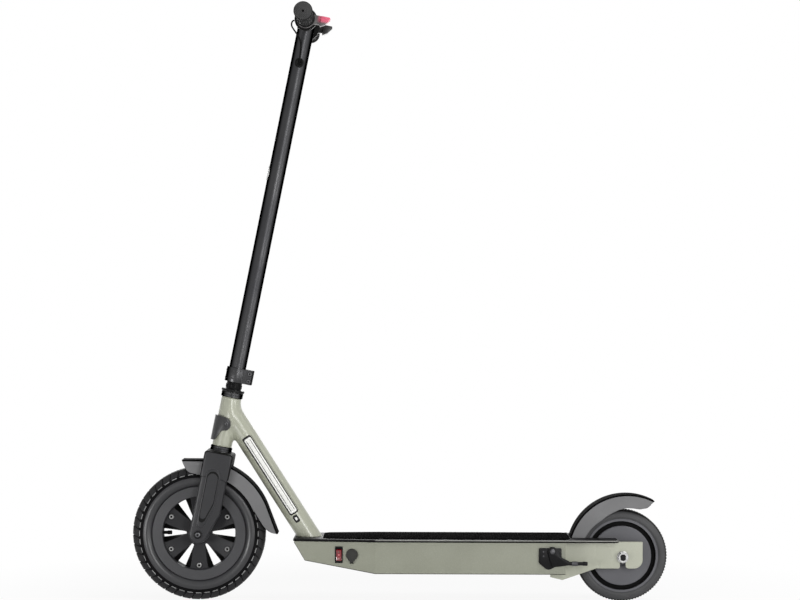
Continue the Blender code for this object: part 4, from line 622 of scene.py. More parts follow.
FINISHES: dict[Look, Finish] = {
    # Satin powder enamel on steel: a soft broad sheen over a greenish grey
    Look.SAGE_ENAMEL: PowderCoat("sage_paint", "#A8AA99", "#A0A291", 0.32, fleck="#D8DACB",
                                 fleck_share=0.14, coat=0.35),
    # The same enamel on the tray, made darker as painted shade on its flat sides
    Look.TRAY_ENAMEL: PowderCoat("sage_paint", "#8E9081", "#868879", 0.36, fleck="#C0C2B4",
                                 fleck_share=0.14, coat=0.2, specular=0.45),
    # Satin black enamel: near black, with one long soft highlight down a tube, and painted shade
    # towards its outline
    Look.BLACK_ENAMEL: SatinCoat("satin_black_paint", "#404041", "#3A3A3C", 0.38,
                                 fleck="#4C4C4E", fleck_share=0.2, metallic=1.0,
                                 edge="#060606", peel_depth_mm=0.015, grain_depth_mm=0.008),
    # The deck plate's black enamel: dull, with hardly any sheen along its edge
    Look.DECK_ENAMEL: PowderCoat("satin_black_paint", "#101010", "#0B0B0B", 0.50,
                                 fleck="#2A2A28", fleck_share=0.2, specular=0.10),
    # The plate's long edges: a pale grey line, painted as the highlight where the edge catches
    # the light
    Look.RUBBED_ENAMEL: PowderCoat("satin_black_paint", "#8C8C88", "#7C7C78", 0.50,
                                   fleck="#A0A09C", fleck_share=0.2, specular=0.3),
    # Dark grey enamel on the cast fork: duller, with a slightly coarser skin
    Look.GREY_ENAMEL: PowderCoat("dark_grey_paint", "#303032", "#2A2A2C", 0.34,
                                 fleck="#454547", fleck_share=0.2, peel_depth_mm=0.04,
                                 specular=0.25),
    # The rim's webs, deep between the spokes: the same enamel, darker as painted shade
    Look.WEB_ENAMEL: PowderCoat("dark_grey_paint", "#262628", "#202022", 0.46,
                                fleck="#343436", fleck_share=0.2, specular=0.2),
    # The rim's outer ring: the same enamel, lighter as painted light
    Look.RIM_ENAMEL: PowderCoat("dark_grey_paint", "#424244", "#3A3A3C", 0.40,
                                fleck="#505052", fleck_share=0.2, specular=0.28),
    # The walls of the rim's windows and the fork's turned edges: near black and hardly shining,
    # as painted shade
    Look.WELL_ENAMEL: PowderCoat("dark_grey_paint", "#080808", "#0B0B0B", 0.60,
                                 fleck="#1A1A1B", fleck_share=0.2, specular=0.06),
    # The motor's cover: the same enamel, a shade bluer and lighter
    Look.MOTOR_ENAMEL: PowderCoat("dark_grey_steel", "#5A5A5E", "#545458", 0.44,
                                  fleck="#66666A", fleck_share=0.2, specular=0.3),
    # Moulded polypropylene fenders: mid grey with a fine even stipple
    Look.FENDER_PLASTIC: SparkedPlastic("grey_plastic", "#707071", "#676768", 0.40,
                                        specular=0.35),
    # The fenders' crest: black and dead matt, as painted shade along the top, so that it reads
    # as one dark line
    Look.FENDER_CREST: SparkedPlastic("grey_plastic", "#0A0A0A", "#070707", 0.8,
                                      specular=0.01),
    # Glass-filled nylon of the control mounts and switch: black and slightly shiny; it is also
    # the painted shade in the fork hood's lines
    Look.BLACK_PLASTIC: SparkedPlastic("black_plastic", "#101010", "#0B0B0B", 0.44,
                                       specular=0.10),
    # The wire cover: the same nylon in a lighter grey, with a satin skin
    Look.COVER_PLASTIC: SparkedPlastic("black_plastic", "#363637", "#2E2E2F", 0.38,
                                       specular=0.3),
    # The throttle's thumb pad: dark and polished by the thumb
    Look.THUMB_PLASTIC: SparkedPlastic("pale_grey_plastic", "#151515", "#101010", 0.34,
                                       specular=0.4),
    # The brake's two-shot thumb pad: grey at the root, soft red at its upper tip
    Look.TIPPED_PLASTIC: TippedPlastic("pale_grey_plastic", "#6A6868", "#625F5F", 0.42,
                                       specular=0.3),
    # Black-oxided steel: dark and slightly oily, rubbed paler in thin lines
    Look.BLACK_STEEL: DrawnMetal("black_metal", "#101011", "#161617", 0.40, stain="#222020",
                                 specular=0.12, line_depth_mm=0.02),
    # Phosphated steel of the small screws: grey and dull, with fine turning lines
    Look.DULL_STEEL: DrawnMetal("bright_steel", "#5C5C5E", "#4C4C4E", 0.46, metallic=1.0,
                                patch_mm=9.0, stain="#2E2C2A"),
    # Zinc-plated fasteners: bright, with fine turning lines and small dull stains
    Look.BRIGHT_STEEL: DrawnMetal("bright_steel", "#9A9A99", "#808080", 0.34, metallic=1.0,
                                  patch_mm=9.0, stain="#6E6A62"),
    # Seals, grommets and the lead's sheath: dead matt black; the same black is laid as painted
    # shade in the screws' sockets, the motor's groove, along the tray's lower edges and on the
    # plate's lower edge
    Look.SEAL_RUBBER: Finish("black_rubber", "#0D0D0D", "#090909", 0.70, grain_mm=1.4,
                             grain_depth_mm=0.04, specular=0.08),
    # The grips: black rubber whose diamonds break up the light
    Look.GRIP_RUBBER: KnurledRubber("black_rubber", "#111111", "#0C0C0C", 0.62,
                                    specular=0.12),
    # The grips' end faces: chalky grey, with finer and deeper diamonds
    Look.GRIP_FACE: KnurledRubber("black_rubber", "#4E4E4E", "#3A3A3A", 0.62, pitch_mm=2.8,
                                  turn=(0.0, math.radians(45), 0.0), knurl_depth_mm=0.35,
                                  specular=0.2),
    # Grit-faced deck mat: black with a coarse sparkle; the grit is drawn at 2.4 mm to show
    Look.MAT_RUBBER: PowderCoat("black_rubber", "#040404", "#080808", 0.9, fleck="#4A4A4A",
                                fleck_mm=3.6, fleck_share=0.20, grain_mm=2.4,
                                grain_depth_mm=0.35, specular=0.002),
    # The mat's stud tops: black too, with a few pale flecks as painted highlights
    Look.STUD_RUBBER: PowderCoat("black_rubber", "#141414", "#0C0C0C", 0.8, fleck="#8A8A87",
                                 fleck_mm=5.0, fleck_share=0.14, grain_mm=0.8,
                                 grain_depth_mm=0.05, specular=0.002),
    # The charging cap: soft dark grey rubber with a dry bloom
    Look.CAP_RUBBER: Finish("black_rubber", "#363634", "#2E2E2C", 0.64, grain_mm=1.6,
                            grain_depth_mm=0.03, specular=0.2),
    # The front tyre's sidewall: dark and smooth, with a soft ring of light on its bulge
    Look.FRONT_TYRE: TyreRubber("tyre_rubber", "#303032", "#28282A", 0.34, axle=FRONT_AXLE,
                                ring_depth_mm=0.03, dust_share=0.0, specular=0.40),
    # The lugs' tops, paler than the grooves between them, whose black is painted shade
    Look.LUG_RUBBER: TyreRubber("tyre_rubber", "#242426", "#1C1C1E", 0.50, axle=FRONT_AXLE,
                                ring_depth_mm=0.0, dust_share=0.1, specular=0.15),
    # The ground of both treads: dull and black, as painted shade between the lugs and blocks
    Look.TREAD_RUBBER: TyreRubber("tyre_rubber", "#0E0E0F", "#0A0A0B", 0.60,
                                  axle=FRONT_AXLE, ring_depth_mm=0.0, dust_from=0.118,
                                  dust_to=0.126, dust_share=0.15, specular=0.05),
    # Short pale bars at the tread lugs' inner ends, painted as highlights where they catch the
    # light
    Look.SCUFFED_RUBBER: TyreRubber("tyre_rubber", "#8C8C8C", "#6A6A6A", 0.6,
                                    axle=FRONT_AXLE, specular=0.2),
    # The solid rear tyre: mid grey and dry, with moulded rings and a black shoulder of painted
    # shade
    Look.REAR_TYRE: TyreRubber("tyre_rubber", "#464647", "#3E3E3F", 0.55, axle=REAR_AXLE,
                               ring_from=0.0715, ring_to=0.081, ring_depth_mm=0.05,
                               dust="#0A0A0A", dust_from=0.0815, dust_to=0.0850,
                               dust_share=0.95, specular=0.25),
    # The switch's rocker: deep red and glossy, with two painted highlights glowing as soft hot
    # spots inside
    Look.LIT_ROCKER: LitAcrylic("red_rocker", "#7A0818", "#5E0612", 0.22,
                                lamps=ROCKER_HIGHLIGHT_SPOTS),
    # The decal's three films: chalk white, black and a thin greenish grey line
    Look.WHITE_VINYL: PrintedFilm("white_badge", "#F0F0EC", "#E8E8E4", 0.40),
    Look.BLACK_VINYL: PrintedFilm("white_badge", "#121212", "#1A1A1A", 0.42, speck="#3A3A38",
                                  specular=0.2),
    Look.GREY_VINYL: PrintedFilm("white_badge", "#6C6E64", "#62645A", 0.42),
    # The column's badge: white enamel, smooth and glossy
    Look.BADGE_ENAMEL: Finish("white_badge", "#E8E8E6", "#DCDCDA", 0.28, patch_mm=12.0,
                              grain_depth_mm=0.01),
    # Heat-shrunk film over the cells: dark blue and crinkled
    Look.CELL_WRAP: Finish("battery_wrap", "#14324A", "#0E2638", 0.30, grain_mm=9.0,
                           grain_depth_mm=0.5, patch_mm=40.0),
}


@dataclass
class Wardrobe:
    """Builds each finish once, when it is first worn."""

    made: dict[Look, bpy.types.Material] = field(default_factory=dict)

    def material(self, look: Look) -> bpy.types.Material:
        """Return the look's material.

        Args:
            look: The finish that is wanted.

        Returns:
            Its material, made on the first call.
        """
        if look not in self.made:
            self.made[look] = FINISHES[look].build(look.value)
        return self.made[look]

    def hang(self, mesh: Mesh, looks: Iterable[Look]) -> None:
        """Give a mesh its materials in place of those that it has.

        Args:
            mesh: The mesh.
            looks: Its finishes, in the order of its faces' numbers.
        """
        numbers = [face.material_index for face in mesh.polygons]
        mesh.materials.clear()
        for look in looks:
            mesh.materials.append(self.material(look))
        mesh.polygons.foreach_set("material_index", numbers)


WARDROBE = Wardrobe()


# ---------------------------------------------------------------- shapes

def area_normal(ring: list[Vector]) -> Vector:
    """Return a face's normal, as long as twice the face's area."""
    return sum(((a - ring[0]).cross(b - ring[0]) for a, b in zip(ring[1:], ring[2:])), Vector())


@dataclass
class Shape:
    """Corners and faces of a piece before it is dressed.

    A face's number in wears says which of the piece's looks it has.
    """

    corners: list[Triple]
    faces: list[tuple[int, ...]]
    wears: list[int] = field(default_factory=list)

    def __post_init__(self) -> None:
        """Give every face the first look where none are given."""
        self.wears = self.wears or [0] * len(self.faces)

    def moved(self, place: Matrix) -> "Shape":
        """Return the shape moved by a matrix."""
        corners = [tuple(place @ Vector(corner)) for corner in self.corners]
        return Shape(corners, list(self.faces), list(self.wears))

    def worn(self, number: int) -> "Shape":
        """Return the shape with one look all over."""
        return Shape(self.corners, self.faces, [number] * len(self.faces))

    def where(self, holds: Callable[[list[Vector]], bool], number: int) -> "Shape":
        """Give a look to the faces for whose corners a test holds.

        Args:
            holds: The test.
            number: The look's number.

        Returns:
            The shape with those faces changed.
        """
        wears = [number if holds([Vector(self.corners[i]) for i in face]) else old
                 for face, old in zip(self.faces, self.wears)]
        return Shape(self.corners, self.faces, wears)

    def painted(self, number: int, low: Triple, high: Triple) -> "Shape":
        """Give a look to the faces whose middles lie in a box.

        Args:
            number: The look's number.
            low: The box's lowest corner.
            high: The box's highest corner.

        Returns:
            The shape with those faces changed.
        """
        def inside(ring: list[Vector]) -> bool:
            """Return whether the middle of a face is in the box."""
            middle = sum(ring, Vector()) / len(ring)
            return all(a <= m <= b for a, m, b in zip(low, middle, high))

        return self.where(inside, number)

    def edged(self, number: int, axis: Axis, most: float = 0.75) -> "Shape":
        """Give a look to the faces that are turned away from an axis.

        Args:
            number: The look's number.
            axis: The axis that plain faces look along.
            most: The largest part of such a face's normal along the axis.

        Returns:
            The shape with those faces changed.
        """
        def away(ring: list[Vector]) -> bool:
            """Return whether a face's normal is off the axis."""
            normal = area_normal(ring)
            return abs(normal[axis.value]) < most * normal.length

        return self.where(away, number)

    def mesh(self, name: str) -> Mesh:
        """Return the shape as a Blender mesh.

        Args:
            name: What the mesh is called.

        Returns:
            The new mesh, not yet dressed.
        """
        made = bpy.data.meshes.new(name)
        made.from_pydata(self.corners, [], self.faces)
        made.polygons.foreach_set("material_index", self.wears)
        return made

    @classmethod
    def of(cls, mesh: Mesh) -> "Shape":
        """Return the shape of a Blender mesh.

        Args:
            mesh: The mesh.

        Returns:
            Its corners, faces and looks' numbers.
        """
        return cls([tuple(v.co) for v in mesh.vertices],
                   [tuple(p.vertices) for p in mesh.polygons],
                   [p.material_index for p in mesh.polygons])


def joined(*shapes: Shape) -> Shape:
    """Return several shapes as one, each still a shell of its own.

    Args:
        shapes: The shapes to put together.

    Returns:
        One shape with all their faces.
    """
    corners: list[Triple] = []
    faces: list[tuple[int, ...]] = []
    wears: list[int] = []
    for shape in shapes:
        start = len(corners)
        corners += shape.corners
        faces += [tuple(start + i for i in face) for face in shape.faces]
        wears += shape.wears
    return Shape(corners, faces, wears)


def shown(name: str, data: bpy.types.ID) -> Item:
    """Add an object to the scene.

    Args:
        name: What the object is called.
        data: Its mesh, light or camera.

    Returns:
        The new object, unturned at the origin.
    """
    item = bpy.data.objects.new(name, data)
    bpy.context.scene.collection.objects.link(item)
    return item


def worked_out(item: Item) -> Mesh:
    """Return a new plain mesh of what an object's modifiers make of it."""
    graph = bpy.context.evaluated_depsgraph_get()
    return bpy.data.meshes.new_from_object(item.evaluated_get(graph))


def discard(*items: Item) -> None:
    """Remove objects from the file, and their meshes with them."""
    meshes = [item.data for item in items]
    bpy.data.batch_remove([*items, *meshes])


def modelled(shape: Shape, kind: str, tool: Shape | None = None, **settings: Any) -> Shape:
    """Run one of Blender's modifiers over a shape.

    Args:
        shape: The shape to change.
        kind: The modifier's type name.
        tool: The other shape of a Boolean.
        settings: The modifier's properties.

    Returns:
        The changed shape.
    """
    worked = []
    for name, part in (("worked", shape), ("tool", tool)):
        if part is None:
            continue
        mesh = part.mesh(name)
        for _ in range(4):
            mesh.materials.append(None)
        straighten(mesh)
        worked.append(shown(name, mesh))
    step = worked[0].modifiers.new("step", kind)
    if tool is not None:
        step.object = worked[1]
    for key, value in settings.items():
        setattr(step, key, value)
    changed = worked_out(worked[0])
    result = Shape.of(changed)
    bpy.data.meshes.remove(changed)
    discard(*worked)
    return result


def combined(shape: Shape, operation: str, tools: Iterable[Shape]) -> Shape:
    """Run an exact Boolean with each of several tools in turn.

    Args:
        shape: The shape to change.
        operation: Blender's name of the operation.
        tools: The other shapes.

    Returns:
        The changed shape.
    """
    for tool in tools:
        shape = modelled(shape, "BOOLEAN", tool, operation=operation, solver="EXACT")
    return shape


def cut(shape: Shape, *tools: Shape) -> Shape:
    """Return a shape with tools cut out of it."""
    return combined(shape, "DIFFERENCE", tools)


def fused(shape: Shape, *tools: Shape) -> Shape:
    """Return a shape fused with others into one solid."""
    return combined(shape, "UNION", tools)


def shared(shape: Shape, *tools: Shape) -> Shape:
    """Return what a shape has in common with others."""
    return combined(shape, "INTERSECT", tools)


def softened(shape: Shape, width: float, steps: int = 2, angle: float = 30.0) -> Shape:
    """Round a shape's edges.

    Args:
        shape: The shape to soften.
        width: The rounding's width.
        steps: Facets across the rounding.
        angle: The smallest bend, in degrees, that is rounded.

    Returns:
        The softened shape.
    """
    return modelled(shape, "BEVEL", width=width, segments=steps, limit_method="ANGLE",
                    angle_limit=math.radians(angle), use_clamp_overlap=True)


def straighten(mesh: Mesh) -> None:
    """Merge doubled corners and point a closed mesh's faces outwards.

    Args:
        mesh: The mesh, which is changed.
    """
    edit = bmesh.new()
    edit.from_mesh(mesh)
    bmesh.ops.remove_doubles(edit, verts=edit.verts, dist=1e-7)
    bmesh.ops.recalc_face_normals(edit, faces=edit.faces)
    edit.to_mesh(mesh)
    edit.free()


def refined(node: str, width: float = 0.0, steps: int = 2, angle: float = 30.0) -> Shape:
    """Take a copy of a CAD node with whole flat faces and softened edges.

    Args:
        node: The CAD node's name.
        width: The rounding's width, or 0 for sharp edges.
        steps: Facets across the rounding.
        angle: The smallest bend, in degrees, that is rounded.

    Returns:
        The node's shape, where the node is.
    """
    edit = bmesh.new()
    edit.from_mesh(frame["nodes"][node].data)
    bmesh.ops.remove_doubles(edit, verts=edit.verts, dist=1e-6)
    bmesh.ops.dissolve_limit(edit, angle_limit=math.radians(0.6), use_dissolve_boundaries=False,
                             verts=edit.verts, edges=edit.edges)
    mesh = bpy.data.meshes.new("copy")
    edit.to_mesh(mesh)
    edit.free()
    shape = Shape.of(mesh).worn(0)
    bpy.data.meshes.remove(mesh)
    return softened(shape, width, steps, angle) if width else shape


def arc(x: float, z: float, radius: float, start: float, end: float,
        steps: int) -> list[Pair]:
    """Return points along an arc.

    Args:
        x: The centre's first coordinate.
        z: The centre's second coordinate.
        radius: The arc's radius.
        start: Its first angle, in degrees.
        end: Its last angle, in degrees.
        steps: How many pieces it is cut into.

    Returns:
        Its points, both ends among them.
    """
    angles = np.radians(np.linspace(start, end, steps + 1))
    return [(x + radius * math.cos(a), z + radius * math.sin(a)) for a in angles]


def eased(points: Profile, radius: float, steps: int = 3) -> list[Pair]:
    """Round the corners of a closed outline. A point on the axis, at 0, stays.

    Args:
        points: The outline's corners.
        radius: How far the rounding reaches along each side.
        steps: Facets at each corner.

    Returns:
        The rounded outline.
    """
    smooth: list[Pair] = []
    for before, here, after in zip([*points[-1:], *points[:-1]], points,
                                   [*points[1:], *points[:1]]):
        if here[0] == 0:
            smooth.append(here)
            continue
        p, a, b = np.array(here), np.array(before), np.array(after)
        first, last = np.linalg.norm(a - p), np.linalg.norm(b - p)
        reach = min(radius, 0.45 * first, 0.45 * last)
        start, end = p + (a - p) * reach / first, p + (b - p) * reach / last
        for t in np.linspace(0, 1, steps + 1):
            spot = (1 - t) ** 2 * start + 2 * t * (1 - t) * p + t ** 2 * end
            smooth.append((float(spot[0]), float(spot[1])))
    return smooth


def curved(points: Sequence[Sequence[float]], steps: int) -> list[tuple[float, ...]]:
    """Return points on a smooth curve through the given ones.

    Args:
        points: What the curve passes through.
        steps: Pieces between each two of them.

    Returns:
        The curve's points.
    """
    known = np.array([points[0], *points, points[-1]], float)
    route: list[tuple[float, ...]] = []
    for a, b, c, d in zip(known, known[1:], known[2:], known[3:]):
        for t in np.arange(steps) / steps:
            spot = 0.5 * (2 * b + (c - a) * t + (2 * a - 5 * b + 4 * c - d) * t ** 2
                          + (3 * b - a - 3 * c + d) * t ** 3)
            route.append(tuple(float(s) for s in spot))
    route.append(tuple(float(s) for s in known[-1]))
    return route


def laid(axis: Axis, u: float, v: float, along: float) -> Triple:
    """Return a point of an outline (u, v) at a height along an axis."""
    return ((along, u, v), (u, along, v), (u, v, along))[axis.value]


def turned(profile: Profile, steps: int = 96, axis: Axis = Axis.Y,
           wears: Sequence[int] = ()) -> Shape:
    """Turn a closed profile round an axis.

    Args:
        profile: Its (radius, height) points.
        steps: Facets round the full turn.
        axis: The axis it is turned round.
        wears: A look's number for each side of the profile, if they differ.

    Returns:
        The turned shape, with closed poles.
    """
    corners: list[Triple] = []
    rings: list[list[int]] = []
    for radius, height in profile:
        if radius == 0:
            rings.append([len(corners)] * steps)
            corners.append(laid(axis, 0, 0, height))
            continue
        rings.append(list(range(len(corners), len(corners) + steps)))
        for i in range(steps):
            angle = 2 * math.pi * i / steps
            corners.append(laid(axis, radius * math.cos(angle), radius * math.sin(angle),
                                height))
    faces, numbers = [], []
    for k, (low, high) in enumerate(zip(rings, rings[1:] + rings[:1])):
        for i in range(steps):
            j = (i + 1) % steps
            face = tuple(dict.fromkeys((low[i], low[j], high[j], high[i])))
            if len(face) > 2:
                faces.append(face)
                numbers.append(wears[k] if wears else 0)
    return Shape(corners, faces, numbers)


def lofted(rings: Sequence[Sequence[Triple]], closed: bool = False,
           wears: Sequence[int] = ()) -> Shape:
    """Join rings with as many points each into a skin.

    Args:
        rings: The rings in order; each is a closed loop.
        closed: Whether the last ring joins the first; if not, both ends are capped.
        wears: A look's number for each side of a ring, if they differ.

    Returns:
        The closed shape.
    """
    count = len(rings[0])
    corners = [tuple(map(float, spot)) for ring in rings for spot in ring]
    faces, numbers = [], []
    for k in range(len(rings) - (0 if closed else 1)):
        low, high = k * count, ((k + 1) % len(rings)) * count
        for i in range(count):
            j = (i + 1) % count
            faces.append((low + i, low + j, high + j, high + i))
            numbers.append(wears[i] if wears else 0)
    if not closed:
        faces += [tuple(range(count)), tuple(range(len(corners) - count, len(corners)))]
        numbers += [numbers[0], numbers[0]]
    return Shape(corners, faces, numbers)


def rod(radius: float, low: float, high: float, steps: int, axis: Axis = Axis.Y) -> Shape:
    """Return a plain round rod along an axis."""
    return turned([(0, low), (radius, low), (radius, high), (0, high)], steps, axis)


def beyond(profile: Profile, radius: float) -> list[int]:
    """Return 1 for each side of a closed profile whose middle is past a radius, else 0."""
    return [int((a[0] + b[0]) / 2 > radius) for a, b in zip(profile, profile[1:] + profile[:1])]


def drawn(outline: Profile, low: float, high: float, axis: Axis = Axis.Y) -> Shape:
    """Draw an outline out along an axis.

    Args:
        outline: The closed outline's points.
        low: Where the shape starts.
        high: Where it ends.
        axis: The axis it is drawn along.

    Returns:
        The closed shape.
    """
    return lofted([[laid(axis, u, v, along) for u, v in outline] for along in (low, high)])


def block(low: Triple, high: Triple) -> Shape:
    """Return a box between two corners."""
    outline = [(low[0], low[2]), (high[0], low[2]), (high[0], high[2]), (low[0], high[2])]
    return drawn(outline, low[1], high[1])


def swept(path: Sequence[Sequence[float]], radius: float, sides: int = 12,
          closed: bool = False) -> Shape:
    """Draw a round section along a path.

    Args:
        path: The points of its middle line.
        radius: The section's radius.
        sides: Facets round the section.
        closed: Whether the path joins up with its start.

    Returns:
        The tube, capped unless it is closed.
    """
    spots = np.array(path, float)
    if closed:
        ways = np.roll(spots, -1, 0) - np.roll(spots, 1, 0)
    else:
        ways = np.gradient(spots, axis=0)
    across = Vector((0.0, 0.0, 1.0)).cross(Vector(ways[0]))
    if across.length < 1e-6:
        across = Vector((1.0, 0.0, 0.0))
    rings = []
    for spot, way in zip(spots, ways):
        ahead = Vector(way).normalized()
        across = (across - across.dot(ahead) * ahead).normalized()
        up = ahead.cross(across)
        rings.append([tuple(Vector(spot) + radius * (math.cos(a) * across + math.sin(a) * up))
                      for a in np.linspace(0, 2 * math.pi, sides, endpoint=False)])
    return lofted(rings, closed)


# ---------------------------------------------------------------- Geometry Nodes

SOCKET_KINDS = {int: "NodeSocketInt", float: "NodeSocketFloat", tuple: "NodeSocketVector"}
HEAD_SIDES = 28
SHANK_SHARE = 0.65  # how much of a screw head is straight before it domes


@dataclass(frozen=True)
class Recipe(ABC):
    """A Geometry Nodes tree with a named input for each of its fields."""

    @abstractmethod
    def copies(self, wiring: Wiring, inputs: Any) -> Socket:
        """Wire up the instances and return their socket."""

    def tree(self) -> bpy.types.NodeTree:
        """Build the tree, which ends in plain geometry that wears its finish.

        Returns:
            The tree.
        """
        tree = bpy.data.node_groups.new(type(self).__name__, "GeometryNodeTree")
        tree.interface.new_socket("Geometry", in_out="OUTPUT", socket_type="NodeSocketGeometry")
        kinds = {name: SOCKET_KINDS[type(value)] for name, value in asdict(self).items()}
        kinds = {"Geometry": "NodeSocketGeometry", **kinds, "Finish": "NodeSocketMaterial"}
        for label, kind in kinds.items():
            tree.interface.new_socket(label, in_out="INPUT", socket_type=kind)
        wiring = Wiring(tree)
        inputs = wiring.add("NodeGroupInput").outputs
        real = wiring.add("GeometryNodeRealizeInstances", {0: self.copies(wiring, inputs)})
        dressed = wiring.add("GeometryNodeSetMaterial", {
            "Geometry": real.outputs[0], "Material": inputs["Finish"]})
        wiring.add("NodeGroupOutput", {0: dressed.outputs[0]})
        return tree

    def seed(self, name: str, base: Shape) -> Mesh:
        """Return the mesh that goes into the tree."""
        return base.mesh(name)

    def grown(self, name: str, base: Shape, look: Look) -> Mesh:
        """Run the tree on a shape and keep the result as a plain mesh.

        Args:
            name: What the mesh is called.
            base: The shape that goes into the tree.
            look: The finish that the tree sets.

        Returns:
            The plain mesh.
        """
        item = shown(name, self.seed(name, base))
        step = item.modifiers.new("grow", "NODES")
        step.node_group = self.tree()
        settings = {**asdict(self), "Finish": WARDROBE.material(look)}
        for socket in step.node_group.interface.items_tree:
            if socket.in_out == "INPUT" and socket.name in settings:
                step[socket.identifier] = settings[socket.name]
        mesh = worked_out(item)
        discard(item)
        return mesh


@dataclass(frozen=True)
class CopiesRound(Recipe):
    """Sets copies of a shape evenly round an axis through the origin."""

    count: int
    axis: Triple = (0.0, 1.0, 0.0)
    first: float = 0.0

    def copies(self, wiring: Wiring, inputs: Any) -> Socket:
        """Set a copy on points at the origin, each turned a step further.

        Args:
            wiring: The tree's wiring.
            inputs: The tree's inputs.

        Returns:
            The copies.
        """
        points = wiring.add("GeometryNodePoints", {"Count": inputs["count"]}).outputs[0]
        number = wiring.add("GeometryNodeInputIndex").outputs[0]
        share = wiring.math("DIVIDE", number, inputs["count"])
        angle = wiring.math("MULTIPLY_ADD", share, 2 * math.pi, inputs["first"])
        turn = wiring.add("FunctionNodeAxisAngleToRotation", {
            "Axis": inputs["axis"], "Angle": angle}).outputs[0]
        return wiring.add("GeometryNodeInstanceOnPoints", {
            "Points": points, "Instance": inputs["Geometry"], "Rotation": turn}).outputs[0]


@dataclass(frozen=True)
class SocketScrews(Recipe):
    """Sets a screw head with a hexagon socket on each corner of a shape.

    The corner's "facing" attribute says which way the head points.
    """

    radius: float
    height: float
    socket: float
    depth: float
    dome: float = 0.8

    @property
    def top(self) -> float:
        """How far the head's face is above its middle."""
        return self.height * (1 - SHANK_SHARE / 2)

    def copies(self, wiring: Wiring, inputs: Any) -> Socket:
        """Set a domed head with a socket cut out of it on each corner.

        Args:
            wiring: The tree's wiring.
            inputs: The tree's inputs.

        Returns:
            The screws.
        """
        shank = wiring.math("MULTIPLY", inputs["height"], SHANK_SHARE)
        rise = wiring.math("MULTIPLY", inputs["height"], 1 - SHANK_SHARE)
        body = wiring.add("GeometryNodeMeshCylinder", {
            "Vertices": HEAD_SIDES, "Radius": inputs["radius"], "Depth": shank}).outputs
        crown = wiring.add("GeometryNodeExtrudeMesh", {
            "Mesh": body["Mesh"], "Selection": body["Top"], "Offset Scale": rise},
            mode="FACES").outputs
        head = wiring.add("GeometryNodeScaleElements", {
            "Geometry": crown["Mesh"], "Selection": crown["Top"], "Scale": inputs["dome"]},
            domain="FACE").outputs[0]
        bit = wiring.add("GeometryNodeMeshCylinder", {
            "Vertices": 6, "Radius": inputs["socket"],
            "Depth": wiring.math("MULTIPLY", inputs["depth"], 2.0)}).outputs["Mesh"]
        top = wiring.math("MULTIPLY_ADD", shank, 0.5, rise)
        lift = wiring.add("ShaderNodeCombineXYZ", {2: top}).outputs[0]
        raised = wiring.add("GeometryNodeTransform", {
            "Geometry": bit, "Translation": lift}).outputs[0]
        screw = wiring.add("GeometryNodeMeshBoolean", {"Mesh 1": head, "Mesh 2": raised},
                           operation="DIFFERENCE", solver="EXACT").outputs[0]
        facing = wiring.add("GeometryNodeInputNamedAttribute", {"Name": "facing"},
                            data_type="FLOAT_VECTOR").outputs[0]
        turn = wiring.add("FunctionNodeAlignRotationToVector", {"Vector": facing},
                          axis="Z").outputs[0]
        return wiring.add("GeometryNodeInstanceOnPoints", {
            "Points": inputs["Geometry"], "Instance": screw, "Rotation": turn}).outputs[0]

    def seed(self, name: str, base: Shape) -> Mesh:
        """Turn a shape's pairs of corners into screw places.

        Args:
            name: What the mesh is called.
            base: Corners in pairs: where a head is, and which way it points.

        Returns:
            A mesh with a corner and its "facing" for each screw.
        """
        mesh = bpy.data.meshes.new(name)
        mesh.from_pydata(base.corners[0::2], [], [])
        facing = mesh.attributes.new("facing", "FLOAT_VECTOR", "POINT")
        facing.data.foreach_set("vector", np.array(base.corners[1::2], np.float32).ravel())
        return mesh


@dataclass(frozen=True)
class MatStuds(Recipe):
    """Sets staggered studs over a flat outline, wherever the outline is under them."""

    pitch: float
    radius: float
    height: float
    length: float
    width: float
    middle: Triple

    def copies(self, wiring: Wiring, inputs: Any) -> Socket:
        """Set studs on a grid with every other row shifted, where it is over the outline.

        Args:
            wiring: The tree's wiring.
            inputs: The tree's inputs.

        Returns:
            The studs.
        """
        counts = [wiring.math("ROUND", wiring.math("DIVIDE", inputs[size], inputs["pitch"]))
                  for size in ("length", "width")]
        grid = wiring.add("GeometryNodeMeshGrid", {
            "Size X": inputs["length"], "Size Y": inputs["width"], "Vertices X": counts[0],
            "Vertices Y": counts[1]}).outputs[0]
        number = wiring.add("GeometryNodeInputIndex").outputs[0]
        row = wiring.math("FLOOR", wiring.math("DIVIDE", number, counts[1]))
        half = wiring.math("MULTIPLY", inputs["pitch"], 0.5)
        shift = wiring.math("MULTIPLY", wiring.math("MODULO", row, 2.0), half)
        sideways = wiring.add("ShaderNodeCombineXYZ", {1: shift}).outputs[0]
        placed = wiring.add("GeometryNodeSetPosition", {
            "Geometry": grid,
            "Offset": wiring.vector("ADD", sideways, inputs["middle"])}).outputs[0]
        over = wiring.add("GeometryNodeRaycast", {
            "Target Geometry": inputs["Geometry"], "Ray Direction": (0.0, 0.0, -1.0),
            "Ray Length": 0.01}).outputs["Is Hit"]
        stud = wiring.add("GeometryNodeMeshCone", {
            "Vertices": 6, "Radius Top": wiring.math("MULTIPLY", inputs["radius"], 0.6),
            "Radius Bottom": inputs["radius"], "Depth": inputs["height"]}).outputs[0]
        return wiring.add("GeometryNodeInstanceOnPoints", {
            "Points": placed, "Selection": over, "Instance": stud}).outputs[0]


# ---------------------------------------------------------------- pieces

